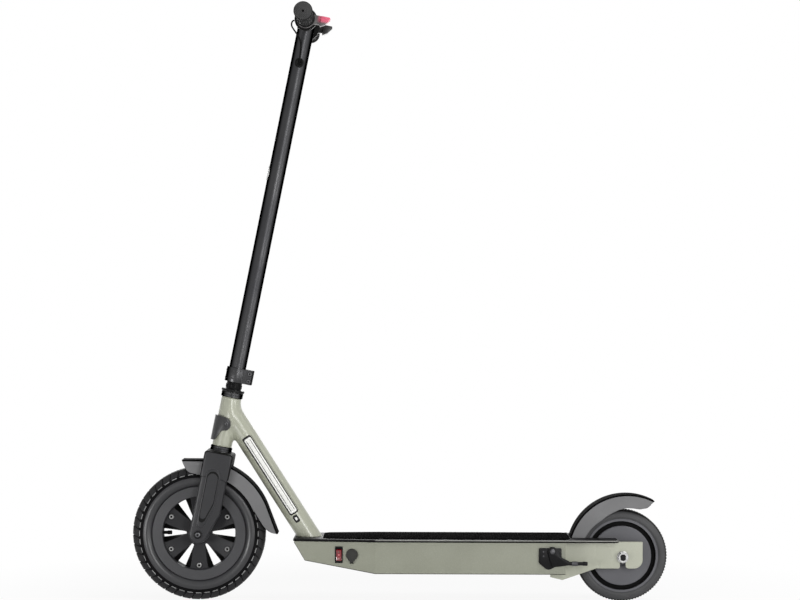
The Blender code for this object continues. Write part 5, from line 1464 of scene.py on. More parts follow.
@dataclass
class SubAssembly(ABC):
    """A group of pieces that ride on one CAD body."""

    body: str

    @abstractmethod
    def build(self) -> None:
        """Build and dress every piece of the group."""

    def carrier(self, nodes: Sequence[str], body: str) -> str:
        """Return the body that a piece rides on: the one named, its node's or the group's."""
        return body or (frame["nodes"][nodes[0]]["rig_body"] if nodes else self.body)

    def put(self, name: str, shape: Shape | Mesh, *looks: Look,
            stands_for: Sequence[str] = (), place: Matrix = STILL,
            crease: float = 35.0, body: str = "") -> None:
        """Put a piece in place, dress it and let it ride on its body.

        Args:
            name: The piece's name.
            shape: Its shape, or a plain mesh that a tree has grown.
            looks: Its finishes, in the order of the faces' numbers.
            stands_for: The CAD nodes that it replaces.
            place: Where it goes.
            crease: The smallest bend, in degrees, that stays a sharp edge.
            body: Another body than the group's own.
        """
        body = self.carrier(stands_for, body)
        mesh = shape.mesh(name) if isinstance(shape, Shape) else shape
        mesh.name = name
        mesh.transform(place)
        straighten(mesh)
        mesh.shade_smooth()
        mesh.set_sharp_from_angle(angle=math.radians(crease))
        WARDROBE.hang(mesh, looks)
        item = shown(name, mesh)
        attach(item, body)
        if stands_for:
            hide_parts(*stands_for)
        LOG.info("%s: %d faces on %s", name, len(mesh.polygons), body)

    def screws(self, name: str, recipe: SocketScrews, heads: Heads,
               look: Look = Look.BRIGHT_STEEL, stands_for: Sequence[str] = (),
               place: Matrix = STILL, body: str = "") -> None:
        """Put screws in place, with a black disc in each socket as painted shade.

        Args:
            name: The piece's name.
            recipe: The screws' sizes.
            heads: Where each head's middle is, and which way it points.
            look: Their finish.
            stands_for: The CAD nodes that they replace.
            place: The frame that the heads are given in.
            body: Another body than the group's own.
        """
        bottom, radius = recipe.top - recipe.depth, recipe.socket * 0.98
        profile = [(0, bottom + 0.0001), (radius, bottom + 0.0001), (radius, bottom - 0.0002),
                   (0, bottom - 0.0002)]
        # A black disc at the bottom of each socket, as painted shade
        shade_discs = []
        for spot, way in heads:
            turn = Vector((0, 0, 1)).rotation_difference(Vector(way)).to_matrix().to_4x4()
            shade_discs.append(turned(profile, 6, Axis.Z).moved(Matrix.Translation(spot) @ turn))
        self.put(name + "_sockets", joined(*shade_discs), Look.SEAL_RUBBER, place=place,
                 body=self.carrier(stands_for, body))
        pairs = Shape([spot for head in heads for spot in head], [])
        self.put(name, recipe.grown(name, pairs, look), look, stands_for=stands_for,
                 place=place, body=body)

    def dress(self, node: str, look: Look) -> None:
        """Give a CAD node that keeps its own shape a finish.

        Args:
            node: The CAD node's name.
            look: Its finish.
        """
        WARDROBE.hang(frame["nodes"][node].data, [look])
        LOG.info("%s: the CAD node wears %s", node, look.value)

    def bolt(self, name: str, profile: Profile, look: Look, *nodes: str,
             place: Matrix = STILL, axis: Axis = Axis.Y, steps: int = 48) -> None:
        """Turn a small part and put it in place.

        Args:
            name: The piece's name.
            profile: Its (radius, height) points.
            look: Its finish.
            nodes: The CAD nodes that it replaces.
            place: Where it goes.
            axis: The axis it is turned round.
            steps: Facets round the full turn.
        """
        self.put(name, turned(profile, steps, axis), look, stands_for=nodes, place=place)


def mirrored(points: Profile) -> list[Pair]:
    """Return a closed outline from its half on the positive side of the second axis."""
    return [*points, *[(u, -v) for u, v in reversed(points) if v != 0]]


def hex_nut(across: float, low: float, high: float) -> Shape:
    """Return a hexagon nut round the Y axis with both its faces chamfered.

    Args:
        across: The size across its flats.
        low: Where it starts.
        high: Where it ends.

    Returns:
        The closed nut.
    """
    corner = across / math.sqrt(3)
    edge = 0.12 * across
    hexagon = [(corner * math.cos(a), corner * math.sin(a))
               for a in np.radians(np.arange(0, 360, 60))]
    barrel = turned([(0, low), (corner - edge / 2, low), (corner, low + edge / 3),
                     (corner, high - edge / 3), (corner - edge / 2, high), (0, high)], 48)
    return shared(drawn(hexagon, low, high), barrel)


def film(radius: float, base: float, strips: Sequence[Triple], side: Side,
         steps: int = 16) -> Shape:
    """Return a thin closed film on a tube round the Z axis.

    Args:
        radius: The radius of its outer face.
        base: The radius of its hidden inner face.
        strips: For each height, where the film starts and ends across the tube.
        side: The side of the tube that it is on.
        steps: Facets across it.

    Returns:
        The film.
    """
    rings = []
    for height, low, high in strips:
        angles = np.linspace(math.asin(low / radius), math.asin(high / radius), steps)
        rings.append([(r * math.sin(a), side.value * r * math.cos(a), height)
                      for r, course in ((radius, angles), (base, angles[::-1]))
                      for a in course])
    return lofted(rings)


def label(low: float, high: float, left: float, right: float,
          corner: float) -> list[Triple]:
    """Return the strips of a film with rounded corners.

    Args:
        low: Its lowest height.
        high: Its highest height.
        left: Where it starts across the tube.
        right: Where it ends across the tube.
        corner: The corners' radius.

    Returns:
        For each height, where the film starts and ends.
    """
    ends = [corner * (1 - math.cos(a)) for a in np.linspace(0.15, math.pi / 2, 6)]
    heights = [low + e for e in ends] + list(np.linspace(low + corner, high - corner, 8)[1:-1])
    heights += [high - e for e in reversed(ends)]
    strips = []
    for height in heights:
        near = min(height - low, high - height, corner)
        pull = corner - math.sqrt(max(0.0, corner ** 2 - (corner - near) ** 2))
        strips.append((height, left + pull, right - pull))
    return strips


def bolt_circle(radius: float, height: float, side: Side) -> Heads:
    """Return the six heads of a circle of bolts round the Y axis, on one side."""
    return [((radius * math.cos(a), side.value * height, radius * math.sin(a)), side.way)
            for a in np.radians(np.arange(30, 390, 60))]


# ---------------------------------------------------------------- studio

@dataclass(frozen=True)
class Softbox:
    """A soft rectangular light, aimed at a spot."""

    name: str
    place: Triple
    aim: Triple
    size: Pair
    power: float

    def build(self) -> None:
        """Hang the light in its place."""
        light = bpy.data.lights.new(self.name, "AREA")
        light.shape = "RECTANGLE"
        light.size, light.size_y = self.size
        light.energy = self.power
        turn = (Vector(self.aim) - Vector(self.place)).to_track_quat("-Z", "Y")
        shown(self.name, light).matrix_world = at(*self.place) @ turn.to_matrix().to_4x4()


@dataclass
class Studio:
    """The pale floor, the soft light and the camera."""

    camera_at: Triple = (-0.0013, -4.88, 0.56645)
    lens: float = 2577 / 800 * 36
    roll: float = -0.2
    floor_at: float = -0.0003
    floor_half: float = 40.0
    shadow_from: float = 0.45
    shadow_to: float = 1.0
    shadow_share: float = 0.10
    world_grey: str = "#747474"
    boxes: tuple[Softbox, ...] = (
        Softbox("key_strip", (1.00, -3.0, 0.70), (-0.1, 0.0, 0.6), (0.4, 1.3), 31.0),
        Softbox("right_low_softbox", (1.7, -1.3, 0.25), (0.4, 0.0, 0.12), (0.7, 0.5), 9.0),
        Softbox("left_low_softbox", (-1.0, -1.0, 0.06), (-0.42, 0.0, 0.10), (0.45, 0.3), 7.5),
        Softbox("top_right_softbox", (1.5, -0.5, 2.6), (0.0, 0.0, 0.4), (1.2, 1.2), 36.0),
        Softbox("rear_softbox", (-0.6, 2.8, 1.4), (0.0, 0.0, 0.4), (2.2, 1.6), 36.0))

    def build(self) -> None:
        """Set up the whole studio."""
        self.light_world()
        self.lay_floor()
        for box in self.boxes:
            box.build()
        data = bpy.data.cameras.new("camera")
        data.lens = self.lens
        data.sensor_width = 36.0
        camera = shown("camera", data)
        camera.matrix_world = at(*self.camera_at, self.roll) @ at(0, 0, 0, 90, "X")
        bpy.context.scene.camera = camera
        bpy.context.scene.view_settings.view_transform = "Standard"
        LOG.info("studio: floor, %d softboxes and camera", len(self.boxes))

    def seen(self, wiring: Wiring) -> Socket:
        """Return 1 for what the camera, a mirror or a glass sees.

        Args:
            wiring: The wiring of the tree that asks.

        Returns:
            The share's socket.
        """
        path = wiring.add("ShaderNodeLightPath").outputs
        pair = wiring.math("MAXIMUM", path["Is Camera Ray"], path["Is Glossy Ray"])
        return wiring.math("MAXIMUM", pair, path["Is Transmission Ray"])

    def light_world(self) -> None:
        """Make the surroundings an even grey that the eye sees as white."""
        world = bpy.data.worlds.new("studio")
        bpy.context.scene.world = world
        world.use_nodes = True
        world.node_tree.nodes.clear()
        wiring = Wiring(world.node_tree)
        lit = wiring.add("ShaderNodeBackground", {"Color": linear(self.world_grey)})
        white = wiring.add("ShaderNodeBackground", {"Color": linear("#FFFFFF")})
        mixed = wiring.add("ShaderNodeMixShader", {
            0: self.seen(wiring), 1: lit.outputs[0], 2: white.outputs[0]})
        wiring.add("ShaderNodeOutputWorld", {0: mixed.outputs[0]})

    def lay_floor(self) -> None:
        """Lay a pale floor that keeps a soft shadow near the scooter."""
        material = bpy.data.materials.new("pale_studio_floor")
        material.use_nodes = True
        material.node_tree.nodes.clear()
        wiring = Wiring(material.node_tree)
        place = wiring.add("ShaderNodeTexCoord").outputs["Object"]
        cloud = wiring.add("ShaderNodeTexNoise", {
            "Vector": place, "Scale": 3.0, "Detail": 3.0}).outputs[0]
        plain = wiring.add("ShaderNodeBsdfDiffuse", {
            "Color": wiring.mix(cloud, "#E6E6E6", "#E2E2E2")})
        white = wiring.add("ShaderNodeEmission", {"Color": linear("#FFFFFF")})
        fade = wiring.ramp(wiring.vector("LENGTH", place), self.shadow_from, self.shadow_to,
                           start=1 - self.shadow_share)
        mixed = wiring.add("ShaderNodeMixShader", {
            0: wiring.math("MULTIPLY", self.seen(wiring), fade), 1: plain.outputs[0],
            2: white.outputs[0]})
        wiring.add("ShaderNodeOutputMaterial", {0: mixed.outputs[0]})
        r, z = self.floor_half, self.floor_at
        mesh = Shape([(-r, -r, z), (r, -r, z), (r, r, z), (-r, r, z)],
                     [(0, 1, 2, 3)]).mesh("floor")
        mesh.materials.append(material)
        floor = shown("floor", mesh)


# ---------------------------------------------------------------- sub-assemblies

@dataclass
class Deck(SubAssembly):
    """The standing plate with its seal, mat and screws, and the tray under it."""

    plate_low: float = 0.115
    plate_high: float = 0.1195
    rubbed: tuple[Triple, Triple] = ((-0.04, -0.1, 0.1160), (0.5, 0.1, 0.1194))
    seal_high: float = 0.1176
    seal_proud: float = 0.0003
    plate_half: Profile = ((0.4077, 0.076), (0.4017, 0.082), (-0.0455113, 0.082),
                           (-0.1935, 0.0628), (-0.1995113, 0.056))
    mat_low: float = 0.1198
    mat_high: float = 0.1212
    mat_half: Profile = (
        (0.319174, 0.060), (0.309174, 0.070), (-0.0455113, 0.070), (-0.1340346, 0.0585),
        (-0.1440346, 0.0485))
    tray_edge: tuple[Triple, ...] = (
        (-0.1978, 0.0602, 0.1130), (-0.1776, 0.0629, 0.0796), (-0.0456, 0.0799, 0.0563),
        (0.3088, 0.0799, 0.0563))
    stud_share: Pair = (0.985, 0.965)
    screw_x: tuple[float, ...] = (-0.035, 0.085, 0.205, 0.318)
    screw_y: float = 0.0762

    def build(self) -> None:
        """Build the plate, seal, mat, screws and tray."""
        # A pale grey painted highlight along the plate's long edges
        plate = refined("deck_plate", 0.0008, 2, 40).painted(1, *self.rubbed)
        self.put("deck_plate_top", plate, Look.DECK_ENAMEL, Look.RUBBED_ENAMEL,
                 stands_for=["deck_plate"], crease=25)
        # A black strip over the lower part of the plate's edge: a seal, and also painted shade
        # of the gap under the plate's overhang
        outer = [(u + math.copysign(self.seal_proud, u), v + math.copysign(self.seal_proud, v))
                 for u, v in mirrored(self.plate_half)]
        self.put("deck_seal", drawn(outer, self.plate_low + 0.0002, self.seal_high, Axis.Z),
                 Look.SEAL_RUBBER)
        mat = drawn(eased(mirrored(self.mat_half), 0.004), self.mat_low, self.mat_high, Axis.Z)
        self.put("deck_grip_mat", softened(mat, 0.0005, 2, 60), Look.MAT_RUBBER,
                 stands_for=["grip_mat"])
        inner = [(u * self.stud_share[0], v * self.stud_share[1])
                 for u, v in mirrored(self.mat_half)]
        # The studs' pale flecks are painted highlights
        studs = MatStuds(pitch=0.0052, radius=0.0014, height=0.0004, length=0.50, width=0.15,
                         middle=(0.088, 0.0, self.mat_high - 0.0001))
        under = drawn(inner, self.mat_low, self.mat_high - 0.0002, Axis.Z)
        self.put("deck_mat_studs", studs.grown("deck_mat_studs", under, Look.STUD_RUBBER),
                 Look.STUD_RUBBER)
        heads = [((x, side * self.screw_y, self.plate_high + 0.0003), (0.0, 0.0, 1.0))
                 for x in self.screw_x for side in (-1, 1)]
        self.screws("deck_screws", SocketScrews(0.0034, 0.0008, 0.0014, 0.0007), heads,
                    Look.BLACK_STEEL)
        # The tray wears a darker copy of the sage enamel, as painted shade on its flat sides
        self.put("deck_tray_shell", refined("deck_tray", 0.0008, 2, 40), Look.TRAY_ENAMEL,
                 stands_for=["deck_tray"], crease=4)
        # Thin black lines along the tray's lower edges, painted as the shade of its rounded bend
        shade_lines = [swept([(x, side.value * y, z) for x, y, z in self.tray_edge], 0.0005, 8)
                 for side in Side]
        self.put("deck_tray_edge_sealant", joined(*shade_lines), Look.SEAL_RUBBER)


@dataclass
class FrameTubes(SubAssembly):
    """The head tube and down tube as one smooth casting, its decals and wire cover."""

    head_radius: float = 0.0188
    head_low: float = 0.1687
    head_high: float = 0.2625
    tube_radius: float = 0.0205
    tube_low: float = -0.019
    tube_high: float = 0.2825
    blend: float = 0.009
    voxel: float = 0.0017
    smoothings: int = 6
    landings: int = 3
    probe: float = 1e-5
    flattest: float = 0.25
    cover_edge: Profile = (
        (-0.729, 0.0568), (0.037, 0.0554), (0.330, 0.0528), (0.505, 0.0458), (0.505, 0.0378),
        (0.245, 0.0316), (-0.090, 0.0310), (-0.346, 0.0283), (-0.606, 0.0185),
        (-0.798, 0.0098))
    cover_radius: float = 0.0236
    lug_at: Pair = (0.0018, 0.2128)
    lug_radius: float = 0.0053
    lug_height: float = 0.0038

    def build(self) -> None:
        """Build the casting, its decals and the wire cover."""
        self.put("frame_tubes", self.casting(), Look.SAGE_ENAMEL,
                 stands_for=["head_tube", "down_tube"], crease=40)
        for side in Side:
            self.decal(side)
        self.wire_cover()

    def distance(self, spots: np.ndarray) -> np.ndarray:
        """Return how far points are outside the blended tubes.

        Args:
            spots: The points, one to a row.

        Returns:
            A distance for each, negative inside.
        """
        def local(place: Matrix) -> np.ndarray:
            """Return the points in a frame."""
            back = np.array(place.inverted())
            return spots @ back[:3, :3].T + back[:3, 3]

        head, tube = local(STEERING), local(TUBE)
        middle, half = (self.head_low + self.head_high) / 2, (self.head_high - self.head_low) / 2
        first = np.maximum(np.hypot(head[:, 0], head[:, 1]) - self.head_radius,
                           np.abs(head[:, 2] - middle) - half)
        second = np.maximum(np.hypot(tube[:, 0], tube[:, 1]) - self.tube_radius,
                            self.tube_low - tube[:, 2])
        ahead = -head[:, 0]
        reach = np.maximum(self.blend - np.abs(second - ahead), 0) / self.blend
        second = np.maximum(second, ahead) + reach ** 2 * self.blend / 4
        reach = np.maximum(self.blend - np.abs(first - second), 0) / self.blend
        return np.minimum(first, second) - reach ** 2 * self.blend / 4

    def casting(self) -> Shape:
        """Cast both tubes in one and smooth the joint.

        Returns:
            The casting, placed.
        """
        head = rod(self.head_radius, self.head_low, self.head_high, 64, Axis.Z)
        tube = rod(self.tube_radius, self.tube_low, self.tube_high, 64, Axis.Z)
        rough = modelled(fused(head.moved(STEERING), tube.moved(TUBE)), "REMESH", mode="VOXEL",
                         voxel_size=self.voxel)
        spots = np.array(rough.corners)
        edges = np.array(sorted({tuple(sorted(pair)) for face in rough.faces
                                 for pair in zip(face, face[1:] + face[:1])}))
        count = np.bincount(edges.ravel(), minlength=len(spots))[:, None]
        for _ in range(self.smoothings):
            total = np.zeros_like(spots)
            np.add.at(total, edges[:, 0], spots[edges[:, 1]])
            np.add.at(total, edges[:, 1], spots[edges[:, 0]])
            spots = self.landed(0.5 * spots + 0.5 * total / count)
        return Shape([tuple(spot) for spot in spots], rough.faces)

    def landed(self, spots: np.ndarray) -> np.ndarray:
        """Bring points onto the skin of the blended tubes.

        Args:
            spots: The points, one to a row.

        Returns:
            The points on the skin.
        """
        step = self.probe
        for _ in range(self.landings):
            height = self.distance(spots)
            slope = np.stack([(self.distance(spots + step * way)
                               - self.distance(spots - step * way)) / (2 * step)
                              for way in np.eye(3)], axis=1)
            steep = np.maximum((slope ** 2).sum(1), self.flattest)
            spots = spots - (height / steep)[:, None] * slope
        return spots

    def decal(self, side: Side) -> None:
        """Lay the striped decal on one side of the down tube.

        Args:
            side: The side it is on.
        """
        skin = self.tube_radius
        # Each film's height off the tube, its look and its outline
        layers = ((0.0002, 0, label(0.051, 0.223, -0.0086, 0.0096, 0.004)),
                  (0.0004, 1, label(0.054, 0.219, -0.0060, 0.0079, 0.003)),
                  (0.0006, 0, label(0.058, 0.215, -0.0034, -0.0025, 0.0004)),
                  (0.0006, 0, label(0.058, 0.215, 0.0044, 0.0053, 0.0004)),
                  (0.0002, 2, label(0.052, 0.221, 0.0107, 0.0115, 0.0004)),
                  (0.0002, 0, label(0.034, 0.049, -0.0070, 0.0030, 0.003)),
                  (0.0004, 1, label(0.0385, 0.0445, -0.0040, 0.0002, 0.001)))
        strips = [film(skin + lift, skin - 0.0004, strip, side).worn(number)
                  for lift, number, strip in layers]
        self.put("down_tube_decal_" + side.tag, joined(*strips), Look.BLACK_VINYL,
                 Look.WHITE_VINYL, Look.GREY_VINYL, place=TUBE)

    def wire_cover(self) -> None:
        """Build the curved cover over the wires, its two lugs and their screws."""
        low, inner = self.head_low, self.head_radius + 0.0003
        outline = [(share * self.head_radius, low + rise) for share, rise in self.cover_edge]
        outline += [(-2 * self.head_radius, low + 0.0088), (-2 * self.head_radius, low + 0.0578)]
        wall = turned([(inner, low), (self.cover_radius, low),
                       (self.cover_radius, self.head_high), (inner, self.head_high)], 120,
                      Axis.Z)
        tube = rod(self.tube_radius + 0.0004, 0, self.tube_high, 96, Axis.Z)
        cover = cut(shared(wall, drawn(eased(outline, 0.003), -0.03, 0.03)),
                    tube.moved(STEERING.inverted() @ TUBE))
        x, z = self.lug_at
        r, tall, edge = self.lug_radius, self.lug_height, 0.0006
        lug = turned([(0, 0), (r, 0), (r, tall - edge), (r - edge, tall), (0, tall)], 40)
        lugs, heads = [], []
        for side in Side:
            face = side.value * (self.cover_radius + 0.0012)
            lugs.append(lug.moved(at(x, face - side.value * tall, z) @ side.turn))
            heads.append(((x, face + side.value * 0.0004, z), side.way))
        self.put("wire_cover_shell", joined(softened(cover, 0.0007, 2, 40), *lugs),
                 Look.COVER_PLASTIC, stands_for=["wire_cover"], place=STEERING)
        self.screws("wire_cover_screws", SocketScrews(0.0031, 0.0016, 0.0014, 0.0010), heads,
                    Look.DULL_STEEL, place=STEERING)


@dataclass
class Headset(SubAssembly):
    """The bearing cups, the wide washer and the notched locknut."""

    cup_radius: float = 0.0205
    bore: float = 0.0134
    disc_radius: float = 0.0218
    nut_radius: float = 0.0146
    lug_count: int = 14
    grooves: int = 5

    def build(self) -> None:
        """Build both cups, the washer and the locknut with its lugs."""
        for name, low, high in (("lower", 0.1590, 0.1684), ("upper", 0.2628, 0.2727)):
            r, edge = self.cup_radius, 0.0008
            profile = [(self.bore, low), (r - edge, low), (r, low + edge), (r, low + 0.0040),
                       (r - 0.0005, low + 0.0044), (r - 0.0005, low + 0.0052),
                       (r, low + 0.0056), (r, high - edge), (r - edge, high), (self.bore, high)]
            self.bolt("headset_%s_ring" % name, profile, Look.BLACK_ENAMEL,
                      "headset_%s_cup" % name, place=STEERING, axis=Axis.Z, steps=96)
        nut, disc = self.nut_radius, self.disc_radius
        profile = [(0.013, 0.2733), (disc - 0.0008, 0.2733), (disc, 0.2740), (disc, 0.2772),
                   (disc - 0.0007, 0.2780), (nut + 0.0012, 0.2780), (nut, 0.2792)]
        for k in range(self.grooves):
            z = 0.2802 + 0.0022 * k
            profile += [(nut, z), (nut - 0.0006, z + 0.0004), (nut - 0.0006, z + 0.0008),
                        (nut, z + 0.0012)]
        profile += [(nut, 0.2912), (nut - 0.0006, 0.2918), (0.013, 0.2918)]
        self.bolt("headset_lock_ring", profile, Look.BLACK_STEEL, "headset_locknut",
                  place=STEERING, axis=Axis.Z, steps=96)
        lug = block((nut - 0.0006, -0.0011, 0.2806), (0.0153, 0.0011, 0.2880))
        ring = CopiesRound(self.lug_count, (0.0, 0.0, 1.0))
        lugs = ring.grown("lugs", softened(lug, 0.0003, 1), Look.BLACK_STEEL)
        self.put("headset_lock_lugs", lugs, Look.BLACK_STEEL, place=STEERING, body="steering")


@dataclass
class Fork(SubAssembly):
    """The cast fork with its rounded crown and hooded covers, and the front axle."""

    back: float = 0.0086
    foot_radius: float = 0.017
    half: float = 0.050
    gap: float = 0.034
    crown_low: float = 0.1393
    top: float = 0.158
    rounding: float = 0.0055
    rib_face: float = 0.0515
    rib_foot: Profile = ((-0.0156, 0.020), (-0.0128, 0.0148), (-0.0062, 0.0140),
                         (-0.0010, 0.0180), (0.0116, 0.056))

    def build(self) -> None:
        """Build the casting with its hoods, the axle, its bolt and its nut."""
        foot = arc(-self.back, 0, self.foot_radius, 180, 340.9, 18)
        legs = foot + [(0.025, 0.045), (0.025, 0.107), (0.027, 0.1105)]
        crown = eased([(0.027, 0.109), (0.027, self.top), (-0.027, self.top),
                       (-0.027, 0.109)], 0.006, 5)[6:-6]
        outline = legs + crown + [(-0.027, 0.1105), (-0.025, 0.107)]
        body = softened(drawn(outline, -self.half, self.half), self.rounding, 5, 45)
        gap = eased([(-self.gap, -0.04), (self.gap, -0.04), (self.gap, self.crown_low),
                     (-self.gap, self.crown_low)], 0.006, 4)
        body = cut(body, drawn(gap, -0.05, 0.05, Axis.X))
        # The crown's turned edges wear near black as painted shade; the legs below it keep the
        # shining grey all over
        body = body.edged(1, Axis.Y).painted(0, (-0.1, -0.1, -0.1), (0.1, 0.1, 0.112))
        rib = arc(-0.002, 0.113, 0.0136, 0, 180, 20) + list(self.rib_foot)
        boss = arc(-self.back, 0, 0.009, 0, 360, 40)[:-1]
        # Thin black beads along the step below the crown, as painted shade
        seams = [[(-0.0268, 0.1082), (-0.0145, 0.1098)],
                 [(0.0105, 0.1098), (0.0190, 0.1086), (0.0246, 0.1050)]]
        parts = [body]
        grooves = []
        for side in Side:
            parts.append(softened(drawn(rib, *side.span(self.half - 0.004, self.rib_face)),
                                  0.0015, 3, 45))
            parts.append(softened(drawn(boss, *side.span(self.gap, 0.0203)), 0.0006, 1, 45))
            # A black tongue on the hood's face, with a smaller grey one on it, so that a thin
            # black line of painted shade shows round the grey one
            for share, lift, number in ((0.82, 0.0001, 1), (0.73, 0.0003, 0)):
                tongue = [((x + 0.002) * share - 0.002, (z - 0.085) * share * 1.06 + 0.086)
                          for x, z in rib]
                reach = side.span(self.half - 0.003, self.rib_face + lift)
                grooves.append(drawn(tongue, *reach).worn(number))
            grooves += [swept([(x, side.value * self.half, z) for x, z in seam], 0.0005,
                              8).worn(1) for seam in seams]
        self.put("fork_casting", joined(*parts), Look.GREY_ENAMEL, Look.WELL_ENAMEL,
                 stands_for=["fork"], place=STEERING, crease=30)
        self.put("fork_hood_inlays", joined(*grooves), Look.GREY_ENAMEL, Look.BLACK_PLASTIC,
                 place=STEERING)
        self.bolt("front_axle_bolt",
                  [(0, -0.0540), (0.0062, -0.0540), (0.0075, -0.0532), (0.0075, -0.0503),
                   (0.005, -0.0503), (0.005, 0.0568), (0.0045, 0.0573), (0, 0.0573)],
                  Look.BLACK_STEEL, "front_axle", place=FRONT)
        self.screws("front_axle_cap", SocketScrews(0.0044, 0.0014, 0.0024, 0.0012),
                    [((0.0, -0.0536, 0.0), Side.LEFT.way)], Look.DULL_STEEL, place=FRONT)
        self.put("front_axle_hex", hex_nut(0.015, 0.0503, 0.0553), Look.BRIGHT_STEEL,
                 stands_for=["front_axle_nut"], place=FRONT, crease=25)


@dataclass
class Fender(SubAssembly):
    """A moulded fender with grey sides and painted shade along its crest."""

    node: str
    place: Matrix
    width: float
    crest: list[Pair]
    hem: list[Pair]
    wall: float = 0.0025
    shoulder: float = 0.0026
    band: float = 0.0028
    lip_radius: float = 0.0008

    def build(self) -> None:
        """Build the fender's shell and the lips along its hems."""
        rings = [self.section(top, low) for top, low in zip(self.crest, self.hem)]
        outer = len(rings[0]) // 2
        # The crest and the tops of the sides wear black, as painted shade
        wears = [0] + [1] * (outer - 3) + [0] * (outer + 2)
        self.put(self.node + "_shell", lofted(rings, wears=wears), Look.FENDER_PLASTIC,
                 Look.FENDER_CREST, stands_for=[self.node], place=self.place, crease=32)
        lips = []
        for side in Side:
            path = [(x, side.value * (self.width / 2 - self.lip_radius + 0.0002), z)
                    for x, z in self.hem[1:-1]]
            lips.append(swept(path, self.lip_radius, 8))
        self.put(self.node + "_lips", joined(*lips), Look.FENDER_PLASTIC, place=self.place)

    def section(self, crest: Pair, hem: Pair) -> list[Triple]:
        """Return the section through one place of the crest and its hem.

        Args:
            crest: The crest's point, from the side.
            hem: The hem's point under it.

        Returns:
            The section's closed ring: its outer face, then its inner face.
        """
        top, low = np.array(crest), np.array(hem)
        fall = float(np.linalg.norm(top - low))
        way = (top - low) / fall if fall > 1e-4 else top / np.linalg.norm(top)
        fall = max(fall, self.wall + 0.0004)
        low = top - way * fall
        ring: list[Triple] = []
        for inset in (0.0, self.wall):
            crown = top - way * inset
            radius = max(min(self.shoulder, 0.45 * fall) - inset, 0.0006)
            half = self.width / 2 - inset
            drop = min(self.band, 0.8 * fall) - min(inset, 0.5 * fall)
            drop = max(drop, radius * 1.02)
            flank = [(-half, low), (-half, crown - way * min(drop, 0.98 * fall - inset))]
            bend = [(-half + radius * (1 - math.cos(a)),
                     crown - way * radius * (1 - math.sin(a)))
                    for a in np.linspace(0.0, math.pi / 2, 6)]
            left = flank + bend
            path = left + [(-y, spot) for y, spot in reversed(left)]
            ring += [(float(s[0]), y, float(s[1])) for y, s in (path if not inset
                                                                else path[::-1])]
        return ring


def along(points: Profile, count: int) -> list[Pair]:
    """Spread points evenly along a line of straight pieces.

    Args:
        points: The line's corners.
        count: How many points there are.

    Returns:
        The points, both ends among them.
    """
    spots = np.array(points)
    runs = np.concatenate([[0], np.cumsum(np.linalg.norm(np.diff(spots, axis=0), axis=1))])
    marks = np.linspace(0, runs[-1], count)
    return [(float(x), float(z)) for x, z in zip(np.interp(marks, runs, spots[:, 0]),
                                                 np.interp(marks, runs, spots[:, 1]))]


def front_fender() -> Fender:
    """Lay out the front fender from its visor to its tail.

    Returns:
        The fender.
    """
    radius, tail_length, tail_lean = 0.139, 0.0485, math.radians(21.1)
    tip = (-0.0322, radius)
    bend = arc(0, 0, radius, 90, 19, 48)
    tail = (bend[-1][0] + math.sin(tail_lean) * tail_length,
            bend[-1][1] - math.cos(tail_lean) * tail_length)
    visor = [(tip[0] + back, tip[1] - down) for back, down in
             ((0, 0), (0.0010, 0.0026), (0.0085, 0.0178), (0.0160, 0.0238))]
    hem = arc(0, 0, 0.1125, 89, 27, 48)
    edge = [hem[-1]] + [(tail[0] - ahead, tail[1] + up) for ahead, up in
                        ((0.0270, 0.0163), (0.0190, 0.0064), (0.0092, 0.0018),
                         (0.0030, 0.0008), (0, 0))]
    return Fender("steering", "front_fender", FRONT, 0.060,
                  along([tip, bend[0]], 12)[:-1] + bend + along([bend[-1], tail], 14)[1:],
                  along([*visor, hem[0]], 12)[:-1] + hem + along(edge, 14)[1:])


def rear_fender() -> Fender:
    """Lay out the rear fender from its foot to its tail.

    Returns:
        The fender.
    """
    edge = ((59.9, 0.0276), (62.1, 0.0162), (68.9, 0.0083), (76.9, 0.0062), (84.5, 0.0048),
            (93.6, 0.0008), (102.5, -0.0033), (112.2, -0.0067))
    hem = arc(0, 0, 0.0768, 154.05, 121, 16)
    hem += [arc(0, 0, 0.0862 + over, angle, angle, 1)[0] for angle, over in reversed(edge)]
    return Fender("chassis", "rear_fender", REAR, 0.057,
                  arc(0.0111, 0.0029, 0.1124, 164.15, 63, 47), along(hem, 48), band=0.0032)


@dataclass
class Wheel(SubAssembly):
    """What both wheels share: a place and copies of shapes round the axle."""

    place: Matrix

    def copies(self, name: str, shape: Shape, count: int, look: Look,
               first: float = 0.0) -> None:
        """Set copies of a shape round the axle.

        Args:
            name: The piece's name.
            shape: The shape at the first angle.
            count: How many copies there are.
            look: Their finish.
            first: The first copy's turn, in radians.
        """
        grown = CopiesRound(count, first=first).grown(name, shape, look)
        self.put(name, grown, look, place=self.place)


